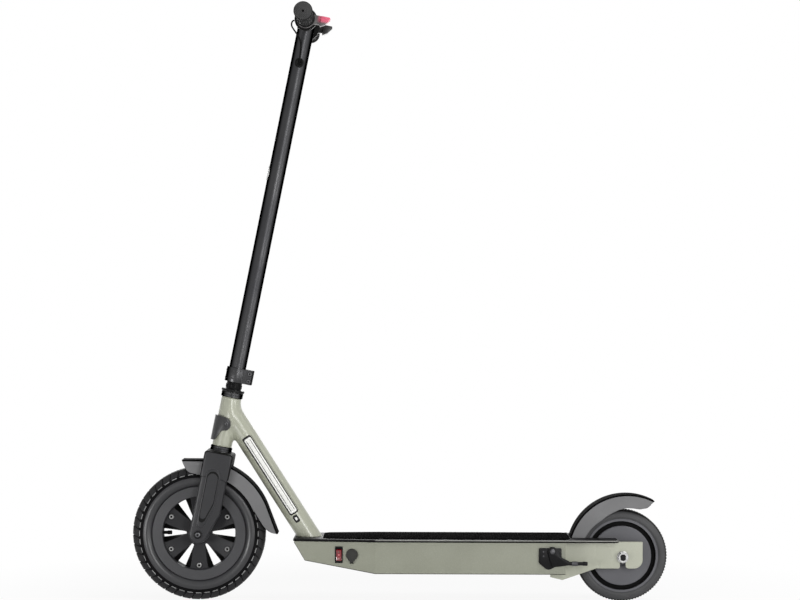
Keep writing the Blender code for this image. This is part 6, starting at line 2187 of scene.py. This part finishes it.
@dataclass
class FrontWheel(Wheel):
    """The front wheel: a two-part cast rim, its bolts, and a treaded tyre."""

    rim_half: Profile = (
        (0.0088, 0.00015), (0.0855, 0.00015), (0.0855, 0.0168), (0.0880, 0.0172),
        (0.0882, 0.0194), (0.0876, 0.0200), (0.0700, 0.0200), (0.0690, 0.0192),
        (0.0684, 0.0104), (0.0676, 0.0100), (0.0200, 0.0100), (0.0190, 0.0106),
        (0.0188, 0.0194), (0.0182, 0.0200), (0.0133, 0.0200), (0.0133, 0.0120),
        (0.0088, 0.0120))
    web: Pair = (0.019, 0.0688)
    spokes: int = 6
    window_root: Pair = (0.0240, 0.0022)
    window_reach: float = 0.0680
    window_low: float = -0.003
    window_depth: float = 0.016
    window_half: float = 0.0047
    window_flare: float = 0.0170
    bolt_ring: float = 0.061
    bolt_height: float = 0.0110
    carcass: Profile = (
        (0.0863, 0.0167), (0.0883, 0.0175), (0.0887, 0.0190), (0.0897, 0.0206),
        (0.0914, 0.0222), (0.0936, 0.0236), (0.0960, 0.0246), (0.0985, 0.0250),
        (0.1010, 0.0249), (0.1035, 0.0243), (0.1055, 0.0233), (0.1068, 0.0222),
        (0.1080, 0.0218), (0.1092, 0.0222), (0.1102, 0.0232), (0.1125, 0.0233),
        (0.1160, 0.0222), (0.1198, 0.0196), (0.1224, 0.0150), (0.1240, 0.0080),
        (0.1243, 0.0))
    shoulder: Profile = (
        (0.1135, 0.0220), (0.1138, 0.0236), (0.1165, 0.0230), (0.1205, 0.0204),
        (0.1236, 0.0172), (0.1250, 0.0138), (0.1250, 0.0080), (0.1225, 0.0076))
    scuffed_bar: Profile = ((0.1110, 0.0222), (0.1111, 0.0241), (0.1126, 0.0240),
                            (0.1129, 0.0222))
    centre_half: Profile = ((0.1230, 0.0060), (0.1250, 0.0054))
    cavity: Profile = ((0.1190, 0.0), (0.1165, 0.012), (0.1090, 0.0192),
                       (0.0990, 0.0210), (0.0910, 0.0192), (0.0875, 0.0165))
    lugs: int = 44
    shoulder_spread: float = 0.0635
    shoulder_twist: float = 0.050
    bar_spread: float = 0.045
    centre_spread: float = 0.058
    tread_from: float = 0.1058

    def build(self) -> None:
        """Build the rims, the bolts, the tyre with its lugs, and the valve."""
        for side in Side:
            self.rim(side)
        inner = [(r, -y) for r, y in reversed(self.cavity[1:])] + list(self.cavity)
        outline = mirrored(self.carcass) + inner
        # Past tread_from the carcass is black, as painted shade between the lugs
        self.put("front_tyre_carcass",
                 turned(outline, 176, Axis.Y, beyond(outline, self.tread_from)),
                 Look.FRONT_TYRE, Look.TREAD_RUBBER, stands_for=["front_tyre"],
                 place=self.place, crease=40)
        pitch = 2 * math.pi / self.lugs
        for side in Side:
            first = pitch / 2 if side is Side.RIGHT else 0.0
            shoulder = self.lug(side.mirror(self.shoulder), self.shoulder_spread,
                                self.shoulder_twist * side.value)
            self.copies("front_shoulder_lugs_" + side.tag, shoulder, self.lugs,
                        Look.LUG_RUBBER, first)
            # Pale bars at the lugs' inner ends: painted highlights
            bar = self.lug(side.mirror(self.scuffed_bar), self.bar_spread, 0.0)
            self.copies("front_lug_edges_" + side.tag, bar, self.lugs, Look.SCUFFED_RUBBER,
                        first)
        centre = self.lug(mirrored(self.centre_half), self.centre_spread, 0.0)
        self.copies("front_centre_lugs", centre, self.lugs, Look.LUG_RUBBER, pitch / 4)
        self.bolt("front_valve_cap",
                  [(0, 0.0522), (0.0030, 0.0522), (0.0038, 0.0530), (0.0038, 0.0600),
                   (0.0030, 0.0610), (0, 0.0610)], Look.SEAL_RUBBER,
                  place=self.place @ Matrix.Rotation(math.pi, 4, "Y"), axis=Axis.X, steps=16)
        self.dress("front_inner_tube", Look.SEAL_RUBBER)
        for side in Side:
            self.dress("front_bearing_" + side.tag, Look.BRIGHT_STEEL)

    def rim(self, side: Side) -> None:
        """Build one half of the rim, cut its windows and bolt it.

        Args:
            side: The side it is on.
        """
        half = side.mirror(self.rim_half)
        # The ring wears a lighter copy of the enamel as painted light, and the webs a darker one
        # as painted shade
        hub, ring = (beyond(half, radius) for radius in self.web)
        web = [int(past and not out and abs(y) > 0.005)
               for past, out, (_, y) in zip(hub, ring, half)]
        window = self.window(side)
        windows = [window.moved(Matrix.Rotation(2 * math.pi * k / self.spokes, 4, "Y"))
                   for k in range(self.spokes)]
        body = cut(turned(half, 144, Axis.Y, web), joined(*windows))
        self.put("front_rim_casting_" + side.tag, softened(body, 0.0006, 1, 50),
                 Look.RIM_ENAMEL, Look.WEB_ENAMEL, Look.WELL_ENAMEL,
                 stands_for=["front_rim_" + side.tag], place=self.place, crease=30)
        self.screws("front_rim_bolts_" + side.tag,
                    SocketScrews(0.0050, 0.0030, 0.0027, 0.0022),
                    bolt_circle(self.bolt_ring, self.bolt_height, side), place=self.place)

    def window(self, side: Side) -> Shape:
        """Return what is cut out between two spokes, wider towards the outside.

        Args:
            side: The side of the rim's half.

        Returns:
            The tool, which gives the window's walls the near-black look of painted shade.
        """
        root, reach = self.window_root, self.window_reach
        rings = []
        for share in np.linspace(0.0, 1.0, 7):
            depth = self.window_low + self.window_depth * share
            outer = math.asin((self.window_half + self.window_flare * share) / reach)
            far = (reach * math.cos(outer), reach * math.sin(outer))
            edge = [(root[0] + (far[0] - root[0]) * t, root[1] + (far[1] - root[1]) * t)
                    for t in np.linspace(0.0, 0.92, 6)]
            bend = math.degrees(outer) * 0.94
            outline = edge + arc(0, 0, reach, bend, -bend, 8)
            outline += [(x, -z) for x, z in reversed(edge)]
            rings.append([(x, side.value * depth, z) for x, z in outline])
        return lofted(rings).worn(2)

    def lug(self, section: Profile, spread: float, twist: float) -> Shape:
        """Return a tread lug with eased ends.

        Args:
            section: Its (radius, y) outline.
            spread: Half its angle round the axle.
            twist: How far its top is turned against its foot, in radians.

        Returns:
            The lug.
        """
        foot, _ = min(section)
        top, _ = max(section)
        middle = np.mean(np.array(section), axis=0)
        rings = []
        for share, shrink in ((-1.0, 0.90), (-0.90, 1.0), (0.90, 1.0), (1.0, 0.90)):
            ring = []
            for r, y in section:
                radius, across = middle + (np.array((r, y)) - middle) * shrink
                angle = share * spread + twist * (r - foot) / (top - foot)
                ring.append((radius * math.cos(angle), float(across),
                             radius * math.sin(angle)))
            rings.append(ring)
        return lofted(rings)


@dataclass
class RearWheel(Wheel):
    """The rear wheel: a hub motor in a solid tyre."""

    radius: float = 0.0697
    half: float = 0.022
    disc: float = 0.056
    face: float = 0.0233
    groove: float = 0.064
    floor: float = 0.014
    serrations: int = 96
    serration_half: float = 0.018
    screw_ring: float = 0.048
    tread_from: float = 0.0835
    tyre_half: Profile = (
        (0.0698, 0.0220), (0.0708, 0.0221), (0.0716, 0.02255), (0.0752, 0.0225),
        (0.0790, 0.0220), (0.0812, 0.0210), (0.0832, 0.0192), (0.0846, 0.0166),
        (0.0853, 0.0135), (0.0854, 0.0))

    def build(self) -> None:
        """Build the motor's covers, the tyre with its serrations, and the nuts."""
        for side, name in ((Side.LEFT, "shell"), (Side.RIGHT, "cover")):
            self.motor(side, name)
        outline = mirrored(self.tyre_half)
        # Past tread_from the tyre is black, as painted shade between the blocks
        self.put("rear_tyre_tread",
                 turned(outline, 144, Axis.Y, beyond(outline, self.tread_from)),
                 Look.REAR_TYRE, Look.TREAD_RUBBER, stands_for=["rear_tyre"],
                 place=self.place, crease=40)
        tooth = [(-0.0150, 0.0848), (-0.0142, 0.0862), (0.0142, 0.0862), (0.0150, 0.0848)]
        rings = [[(r * math.sin(a), y, r * math.cos(a)) for y, r in tooth]
                 for a in (-self.serration_half, self.serration_half)]
        self.copies("rear_tread_blocks", lofted(rings), self.serrations, Look.REAR_TYRE)
        for side in Side:
            self.dress("rear_bearing_" + side.tag, Look.BRIGHT_STEEL)
        self.dress("motor_stator", Look.BLACK_STEEL)
        self.nuts()

    def motor(self, side: Side, name: str) -> None:
        """Build one face of the motor with its groove, ring and screws.

        Args:
            side: The side it is on.
            name: What its CAD node is called after motor_.
        """
        rim, wall = self.radius, 0.004
        profile = [(0.0090, self.face - wall), (0.0090, self.face - 0.0006),
                   (0.0098, self.face), (0.0175, self.face), (0.0180, self.face - 0.0006),
                   (0.0190, self.face - 0.0006), (0.0195, self.face),
                   (self.disc - 0.0012, self.face), (self.disc, self.face - 0.0010),
                   (self.disc, self.floor), (self.groove, self.floor),
                   (self.groove, self.half - 0.0008), (self.groove + 0.0008, self.half),
                   (rim - 0.0008, self.half), (rim, self.half - 0.0008), (rim, 0.0001),
                   (rim - wall, 0.0001), (rim - wall, self.floor - wall),
                   (self.disc - wall, self.floor - wall), (self.disc - wall, self.face - wall)]
        # The groove's walls and floor, on the profile's outer side, are painted black as shade
        # in the recess
        low, high = self.disc - 0.001, self.groove + 0.0005
        wears = [int(low < r < high and 0 < k < 13) for k, (r, _) in enumerate(profile)]
        self.put("motor_face_" + side.tag, turned(side.mirror(profile), 144, Axis.Y, wears),
                 Look.MOTOR_ENAMEL, Look.SEAL_RUBBER, stands_for=["motor_" + name],
                 place=self.place, crease=30)
        if side is Side.RIGHT:
            self.screws("motor_cover_screws", SocketScrews(0.0030, 0.0016, 0.0014, 0.0012),
                        bolt_circle(self.screw_ring, self.face + 0.0004, side),
                        Look.BLACK_STEEL, place=self.place)

    def nuts(self) -> None:
        """Build the rear axle with its flats, the flanged nuts and the washers."""
        end = [(0, 0.0635), (0.0052, 0.0635), (0.0060, 0.0627), (0.0060, 0.0470),
               (0.0080, 0.0470)]
        shaft = turned(mirrored(end), 40)
        flats = [block((x, y, -0.01), (x + 0.005, y + 0.03, 0.01))
                 for x in (-0.010, 0.005) for y in (-0.0765, 0.0465)]
        self.put("rear_axle_shaft", cut(shaft, joined(*flats)), Look.BLACK_STEEL,
                 stands_for=["rear_axle"], place=self.place, crease=30)
        washer = turned([(0.0062, 0.0533), (0.0106, 0.0533), (0.0110, 0.0537),
                         (0.0110, 0.0547), (0.0106, 0.0551), (0.0062, 0.0551)], 48)
        nut = joined(washer, hex_nut(0.017, 0.0550, 0.0615))
        for side in Side:
            self.put("rear_axle_nut_" + side.tag, nut, Look.BRIGHT_STEEL,
                     stands_for=["rear_nut_" + side.tag], place=self.place @ side.turn,
                     crease=25)


@dataclass
class Dropouts(SubAssembly):
    """The flat plates with hooked slots that hold the rear wheel."""

    inner: float = 0.050
    outer: float = 0.053

    def build(self) -> None:
        """Build both dropouts with their flanges."""
        outline = [(0.3093, 0.1147), (0.4549, 0.1147), (0.4549, 0.0900)]
        outline += arc(0.4389, 0.0808, 0.016, 0, -90, 10)
        outline += [(0.4300, 0.0648), (0.4277, 0.0651), (0.4250, 0.0660), (0.4235, 0.0672),
                    (0.4230, 0.0692), (0.4230, 0.0895), (0.4222, 0.0915), (0.4200, 0.0925),
                    (0.4150, 0.0925), (0.4131, 0.0915), (0.4124, 0.0895), (0.4124, 0.0680),
                    (0.4117, 0.0660), (0.4100, 0.0648), (0.3677, 0.0648), (0.3047, 0.0428),
                    (0.2818, 0.0483), (0.2818, 0.0554), (0.3093, 0.0554)]
        for side in Side:
            plate = softened(drawn(outline, *side.span(self.inner, self.outer)), 0.0006, 2, 35)
            low, high = side.span(0.041, 0.052)
            flange = softened(block((0.3103, low, 0.1117), (0.4539, high, 0.1147)), 0.0006, 2)
            self.put("dropout_plate_" + side.tag, joined(plate, flange),
                     Look.SAGE_ENAMEL, stands_for=["dropout_" + side.tag], crease=8)


@dataclass
class Column(SubAssembly):
    """The steering column with its clamp, badge and grommets."""

    radius: float = 0.016
    low: float = 0.2924
    high: float = 0.9982
    clamp_radius: float = 0.0195
    clamp_high: float = 0.3195
    clamp_rear: float = 0.0322
    ear: float = 0.0150
    slit: float = 0.00125
    bolt_x: float = 0.0258
    bolt_heights: Pair = (0.2988, 0.3131)
    bar_hole: float = 0.0113
    badge_at: float = 0.693
    badge_half: Pair = (0.0135, 0.009)
    badge_face: Pair = (0.86, 0.84)
    grommet_at: Triple = (0.0012, 0, 0.9078)

    def build(self) -> None:
        """Build the column, clamp, bolts, badge and grommets."""
        r, top = self.radius, self.high
        profile = [(0.0136, self.low), (r, self.low), (r, top - 0.0035),
                   (r - 0.0004, top - 0.0017), (r - 0.0016, top - 0.0004), (r - 0.0034, top),
                   (0, top), (0, top - 0.003), (0.0136, top - 0.003)]
        tube = cut(turned(profile, 96, Axis.Z),
                   rod(self.bar_hole, -0.03, 0.03, 64).moved(at(0, 0, BAR_HEIGHT)))
        self.put("column_tube", tube, Look.BLACK_ENAMEL, stands_for=["steering_column"],
                 place=STEERING, crease=30)
        self.clamp()
        skin, middle = r + 0.0013, self.badge_at
        tall, wide = self.badge_half
        oval = [(middle + tall * math.sin(a), -wide * math.cos(a) - 1e-5,
                 wide * math.cos(a) + 1e-5) for a in np.radians(np.linspace(-88, 88, 25))]
        along, across = self.badge_face
        face = [(middle + (z - middle) * along, a * across, b * across) for z, a, b in oval]
        self.put("column_badge_oval", joined(film(skin, r - 0.0004, oval, Side.LEFT),
                                             film(skin + 0.0003, r, face, Side.LEFT)),
                 Look.BADGE_ENAMEL, stands_for=["column_badge"],
                 place=STEERING @ at(0, 0, 0, -90, "Z"))
        for side in Side:
            place = STEERING @ at(*self.grommet_at) @ side.turn
            profile = [(0.0018, 0.0120), (0.0052, 0.0120), (0.0090, 0.0138), (0.0090, 0.0162),
                       (0.0084, 0.0172), (0.0070, 0.0176), (0.0048, 0.0174),
                       (0.0032, 0.0168), (0.0018, 0.0164)]
            if side is Side.RIGHT:
                profile = profile[:-1] + [(0.0018, 0.0166), (0, 0.0166), (0, 0.0120)]
            self.bolt("column_grommet_" + side.tag, profile, Look.BLACK_PLASTIC,
                      "lead_grommet_" + side.tag, place=place)

    def clamp(self) -> None:
        """Build the split clamp and its two bolts."""
        r, bore = self.clamp_radius, self.radius + 0.0002
        rear, ear, slit = self.clamp_rear, self.ear, self.slit
        edge = math.degrees(math.asin(slit / bore))
        outline = [(rear - 0.002, slit), (rear, slit + 0.002), (rear, ear - 0.003),
                   (rear - 0.003, ear), (0.0165, ear), (0.0130, ear + 0.0004)]
        outline += arc(0, 0, r, 50, 180, 26)
        outline += [(x, -y) for x, y in reversed(outline[:-1])]
        outline += arc(0, 0, bore, 360 - edge, edge, 40)
        body = softened(drawn(outline, self.low, self.clamp_high, Axis.Z), 0.0010, 2, 40)
        ribs = [turned([(r - 0.001, z - 0.0019), (r + 0.0005, z - 0.0012),
                        (r + 0.0005, z + 0.0012), (r - 0.001, z + 0.0019)], 72, Axis.Z)
                for z in self.bolt_heights]
        ahead = block((-0.03, -0.03, 0.28), (-0.002, 0.03, 0.33))
        front = [shared(rib, ahead) for rib in ribs]
        heads = []
        shafts = []
        for z in self.bolt_heights:
            spot = at(self.bolt_x, 0, z)
            body = cut(body, rod(0.0046, -0.0300, -0.0135, 40).moved(spot))
            shafts.append(turned([(0, -0.0136), (0.0025, -0.0136), (0.0025, 0.0160),
                                  (0.0020, 0.0166), (0, 0.0166)], 24).moved(spot))
            heads.append(((self.bolt_x, -ear, z), Side.LEFT.way))
        self.put("column_clamp_ring", joined(body, *front), Look.BLACK_ENAMEL,
                 stands_for=["column_clamp"], place=STEERING, crease=30)
        self.screws("clamp_bolt_heads", SocketScrews(0.0040, 0.0034, 0.0019, 0.0020, 0.86),
                    heads, Look.DULL_STEEL, ["clamp_bolt_upper"], STEERING)
        self.put("clamp_bolt_shanks", joined(*shafts), Look.BRIGHT_STEEL,
                 stands_for=["clamp_bolt_lower"], place=STEERING)


@dataclass
class Handlebar(SubAssembly):
    """The bar with its grips, control mounts, paddles and the brake's lead."""

    bar_radius: float = 0.0111
    grip_in: float = 0.085
    grip_out: float = 0.210
    ribs: int = 30
    mount_radius: float = 0.0212
    mount_span: Pair = (0.057, 0.0695)
    lead_radius: float = 0.0015
    lead: tuple[Triple, ...] = (
        (-0.0210, -0.0635, -0.0062), (-0.0236, -0.0625, -0.0078), (-0.0251, -0.0575, -0.0118),
        (-0.0240, -0.0500, -0.0165), (-0.0199, -0.0420, -0.0208), (-0.0148, -0.0340, -0.0255),
        (-0.0094, -0.0265, -0.0310), (-0.0044, -0.0210, -0.0385), (-0.0016, -0.0186, -0.0480),
        (-0.0004, -0.0184, -0.0580), (0.0006, -0.0202, -0.0670), (0.0011, -0.0216, -0.0735),
        (0.0012, -0.0205, -0.0772), (0.0012, -0.0180, -0.0779), (0.0012, -0.0140, -0.0779))

    def build(self) -> None:
        """Build the bar and everything on it."""
        r = self.bar_radius
        end = [(0, 0.2062), (r - 0.0006, 0.2062), (r, 0.2056)]
        self.bolt("handlebar_tube", mirrored(end), Look.BLACK_ENAMEL, "handlebar", place=BAR,
                  steps=72)
        for side in Side:
            self.grip(side)
        self.housings()
        for name in ("brake", "throttle"):
            self.paddle(name)
        self.put("brake_lead_sheath", swept(curved(self.lead, 5), self.lead_radius, 12),
                 Look.SEAL_RUBBER, stands_for=["brake_lead"], place=BAR)

    def grip(self, side: Side) -> None:
        """Build one grip with its flanges, end face and ribs.

        Args:
            side: The side it is on.
        """
        turn = BAR @ side.turn
        out, inn = self.grip_out, self.grip_in
        flute, crest = 0.0145, 0.0158
        profile = [(0, out - 0.0024), (0.0023, out - 0.0024), (0.0023, out), (0.0160, out),
                   (0.0171, out - 0.0006), (0.0174, out - 0.0016), (0.0174, out - 0.0042),
                   (0.0168, out - 0.0050), (0.0150, out - 0.0054), (0.0147, out - 0.0062),
                   (0.0147, inn + 0.0062), (0.0150, inn + 0.0054), (0.0168, inn + 0.0050),
                   (0.0174, inn + 0.0042), (0.0174, inn + 0.0010), (0.0168, inn),
                   (0.0113, inn), (0.0113, out - 0.0030), (0, out - 0.0030)]
        wears = [0, 0, 1] + [0] * (len(profile) - 3)
        self.put("grip_sleeve_" + side.tag, turned(profile, 80, Axis.Y, wears),
                 Look.GRIP_RUBBER, Look.GRIP_FACE, stands_for=["grip_" + side.tag],
                 place=turn)
        rib = lofted([[(r * math.cos(a), y, r * math.sin(a)) for r, a in
                       ((flute, -0.07), (crest, -0.049), (crest, 0.049), (flute, 0.07))]
                      for y in (inn + 0.0060, out - 0.0060)])
        self.put("grip_ribs_" + side.tag,
                 CopiesRound(self.ribs).grown("ribs", rib, Look.GRIP_RUBBER),
                 Look.GRIP_RUBBER, place=turn)

    def housings(self) -> None:
        """Build the round mounts of both paddles; the throttle's has a pod."""
        inner, (low, high) = self.bar_radius + 0.0002, self.mount_span
        stations = ((low, -0.0012), (low + 0.0012, 0.0), (low + 0.0050, 0.0),
                    (low + 0.0054, -0.0005), (low + 0.0060, -0.0005), (low + 0.0064, 0.0),
                    (high - 0.0012, 0.0), (high, -0.0012))
        angles = np.radians(np.arange(0, 360, 4))
        pod_way = math.radians(75)
        for node, side, pod in (("brake_housing", -1, 0.0), ("throttle_housing", 1, 0.0042)):
            rings = []
            for y, pull in stations:
                reaches = [self.mount_radius + pull + pod * max(0.0, math.cos(a + pod_way)) ** 2
                           for a in angles]
                rings.append([(reach * math.cos(a), side * y, reach * math.sin(a))
                              for reach, a in zip(reaches, angles)])
            rings += [[(inner * math.cos(a), side * y, inner * math.sin(a)) for a in angles]
                      for y in (high, low)]
            self.put(node + "_ring", lofted(rings, closed=True), Look.BLACK_PLASTIC,
                     stands_for=[node], place=BAR, crease=30)

    def paddle(self, name: str) -> None:
        """Build a paddle from its CAD shape, softened; the brake's has a red tip.

        Args:
            name: The control that it belongs to.
        """
        node = name + "_paddle"
        look = Look.TIPPED_PLASTIC if name == "brake" else Look.THUMB_PLASTIC
        self.put(name + "_lever", refined(node, 0.0011, 3, 28), look, stands_for=[node],
                 crease=32)


@dataclass
class Electrics(SubAssembly):
    """The power switch and the charging socket in the nose of the tray."""

    switch_at: Triple = (-0.1136113, -0.0712664, 0.0908)
    charge_at: Triple = (-0.0892113, -0.0743956, 0.0912)
    cap_at: Triple = (-0.0896247, -0.0776192, 0.0760)
    rocker_half: float = 0.0049

    def build(self) -> None:
        """Build the switch, its rocker, the socket and its cap."""
        def plate(x: float, z: float, low: float, high: float, corner: float) -> Shape:
            """Return a rounded plate."""
            return drawn(eased([(-x, -z), (x, -z), (x, z), (-x, z)], corner, 4), low, high)

        wall = nose_place(*self.switch_at)
        bezel = fused(plate(0.00715, 0.0155, -0.0019, -0.0003, 0.0016),
                      plate(0.0062, 0.0141, -0.0010, 0.014, 0.0008))
        bezel = cut(bezel, plate(0.0052, 0.0116, -0.01, 0.0105, 0.0006))
        self.put("switch_bezel", softened(bezel, 0.0004, 2, 40), Look.BLACK_PLASTIC,
                 stands_for=["switch_housing"], place=wall)
        rocker = [(-0.0093, 0.0100), (-0.0076, 0.0052), (-0.0068, 0.0), (-0.0076, -0.0052),
                  (-0.0093, -0.0100), (-0.0031, -0.0110), (0.0015, -0.004), (0.0015, 0.004),
                  (-0.0031, 0.0110)]
        dash = block((-0.00035, -0.0089, 0.0050), (0.00035, -0.0078, 0.0082))
        ring = turned([(0.0011, -0.0088), (0.0017, -0.0088), (0.0017, -0.0076),
                       (0.0011, -0.0076)], 24).moved(at(0, 0, -0.0066))
        key = softened(drawn(rocker, -self.rocker_half, self.rocker_half, Axis.X), 0.0005, 2, 25)
        # The rocker glows dimly, with two painted highlights as hot spots
        self.put("power_rocker_key", joined(key, dash.worn(1), ring.worn(1)),
                 Look.LIT_ROCKER, Look.GREY_VINYL, stands_for=["power_rocker"],
                 place=ROCKER, body="power_rocker")
        wall = nose_place(*self.charge_at)
        flange = [(0.006, 0.016), (0.006, -0.0010), (0.0066, -0.0016), (0.0106, -0.0016),
                  (0.0112, -0.0011), (0.0112, -0.0003), (0.0085, -0.0003), (0.0085, 0.016)]
        tab = softened(block((-0.003, -0.0016, -0.0165), (0.003, -0.0003, -0.0090)), 0.0004, 2)
        self.put("charging_port", joined(turned(flange, 56), tab), Look.BLACK_PLASTIC,
                 stands_for=["charge_socket"], place=wall)
        disc = turned([(0, -0.00135), (0.0100, -0.00135), (0.0107, -0.0007),
                       (0.0107, 0.0007), (0.0103, 0.00135), (0.0056, 0.00135),
                       (0.0054, 0.0041), (0, 0.00415)], 56)
        ring = turned([(0.0082, -0.0010), (0.0082, -0.0017), (0.0088, -0.0017),
                       (0.0088, -0.0010)], 56)
        lift = at(0, 0, 0.0152)
        strap = [(-0.0030, 0.0), (0.0030, 0.0), (0.0030, 0.0014), (0.0088, 0.0092),
                 (-0.0088, 0.0092), (-0.0030, 0.0014)]
        strap = softened(drawn(strap, -0.0011, 0.0011), 0.0004, 2)
        knuckle = softened(drawn(arc(0, 0, 0.00135, 0, 360, 16)[:-1], -0.0030, 0.0030, Axis.X),
                           0.0003, 1)
        self.put("charging_cap", joined(disc.moved(lift), ring.moved(lift), strap,
                                        knuckle.worn(1)),
                 Look.CAP_RUBBER, Look.SEAL_RUBBER, stands_for=["charge_cap"],
                 place=nose_place(*self.cap_at), body="charge_cap")


@dataclass
class Kickstand(SubAssembly):
    """The kickstand: its bracket, pivot, blade and foot."""

    pivot: Triple = (0.2841, -0.0803, 0.0996)
    collar_ribs: int = 6

    def build(self) -> None:
        """Build the bracket, its rivets and bolt, and the leg with its foot."""
        place = at(*self.pivot)
        outline = [(-0.0251, 0.0058), (0.0171, 0.0058), (0.0171, -0.0221), (-0.0040, -0.0342),
                   (-0.0100, -0.0342), (-0.0251, -0.0221)]
        plate = softened(drawn(eased(outline, 0.003, 4), -0.003, 0.0), 0.0005, 2, 40)
        self.put("kickstand_plate", plate, Look.BLACK_STEEL, stands_for=["kickstand_bracket"],
                 place=place)
        self.bolt("kickstand_pivot",
                  [(0, -0.0131), (0.0020, -0.01295), (0.0036, -0.0124), (0.0047, -0.0115),
                   (0.0050, -0.0106), (0.0030, -0.0106), (0.0030, -0.0004), (0, -0.0004)],
                  Look.DULL_STEEL, "kickstand_bolt", place=place)
        heads = [((-0.0165, -0.0023, z), Side.LEFT.way) for z in (-0.0010, -0.0092)]
        self.screws("kickstand_rivets", SocketScrews(0.0018, 0.0014, 0.0006, 0.0003, 0.6),
                    heads, Look.DULL_STEEL, place=place)
        blade = arc(0, 0, 0.0085, 60, 200, 16)
        blade += [(-0.0040, -0.0180), (0.0008, -0.0290), (0.0205, -0.0268), (0.0300, -0.0256),
                  (0.0310, -0.0240), (0.0310, -0.0180), (0.0170, -0.0112)]
        body = softened(drawn(blade, -0.0103, -0.0033), 0.0008, 2, 35)
        arm = turned([(0, 0.020), (0.0034, 0.020), (0.0034, 0.0560), (0.0037, 0.0562),
                      (0.0040, 0.0570), (0.0040, 0.0640), (0.0034, 0.0652), (0.0020, 0.0655),
                      (0, 0.0655)], 32, Axis.X)
        collar = [(0.0030, 0.036)]
        for k in range(self.collar_ribs):
            x = 0.0362 + 0.0018 * k
            collar += [(0.0042, x), (0.0046, x + 0.0004), (0.0046, x + 0.0011),
                       (0.0042, x + 0.0015)]
        collar += [(0.0030, 0.0472)]
        lift = at(0, -0.0068, -0.0226)
        self.put("kickstand_arm", joined(body, arm.moved(lift),
                                         turned(collar, 32, Axis.X).worn(1).moved(lift)),
                 Look.BLACK_STEEL, Look.DULL_STEEL, stands_for=["kickstand_leg"],
                 place=place, body="kickstand")


@dataclass
class Innards(SubAssembly):
    """The parts inside the tray and the joints, which keep their CAD shapes."""

    wears: dict[str, Look] = field(default_factory=lambda: {
        "steerer_tube": Look.BLACK_STEEL, "headset_lower_bearing": Look.BRIGHT_STEEL,
        "headset_upper_bearing": Look.BRIGHT_STEEL, "battery_left": Look.CELL_WRAP,
        "battery_right": Look.CELL_WRAP, "speed_controller": Look.BRIGHT_STEEL,
        "motor_lead_gland": Look.SEAL_RUBBER})

    def build(self) -> None:
        """Dress each of them."""
        for node, look in self.wears.items():
            self.dress(node, look)


def main() -> None:
    """Build the studio and the scooter round its CAD model."""
    logging.basicConfig(level=logging.INFO, format="%(name)s: %(message)s")
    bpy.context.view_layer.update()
    Studio().build()
    for group in (Deck("chassis"), FrameTubes("chassis"), Headset("chassis"), Fork("steering"),
                  front_fender(), rear_fender(), FrontWheel("front_wheel", FRONT),
                  RearWheel("rear_wheel", REAR), Dropouts("chassis"), Column("steering"),
                  Handlebar("steering"), Electrics("chassis"), Kickstand("chassis"),
                  Innards("chassis")):
        LOG.info("building %s", type(group).__name__)
        group.build()


if __name__ == "__main__":
    main()
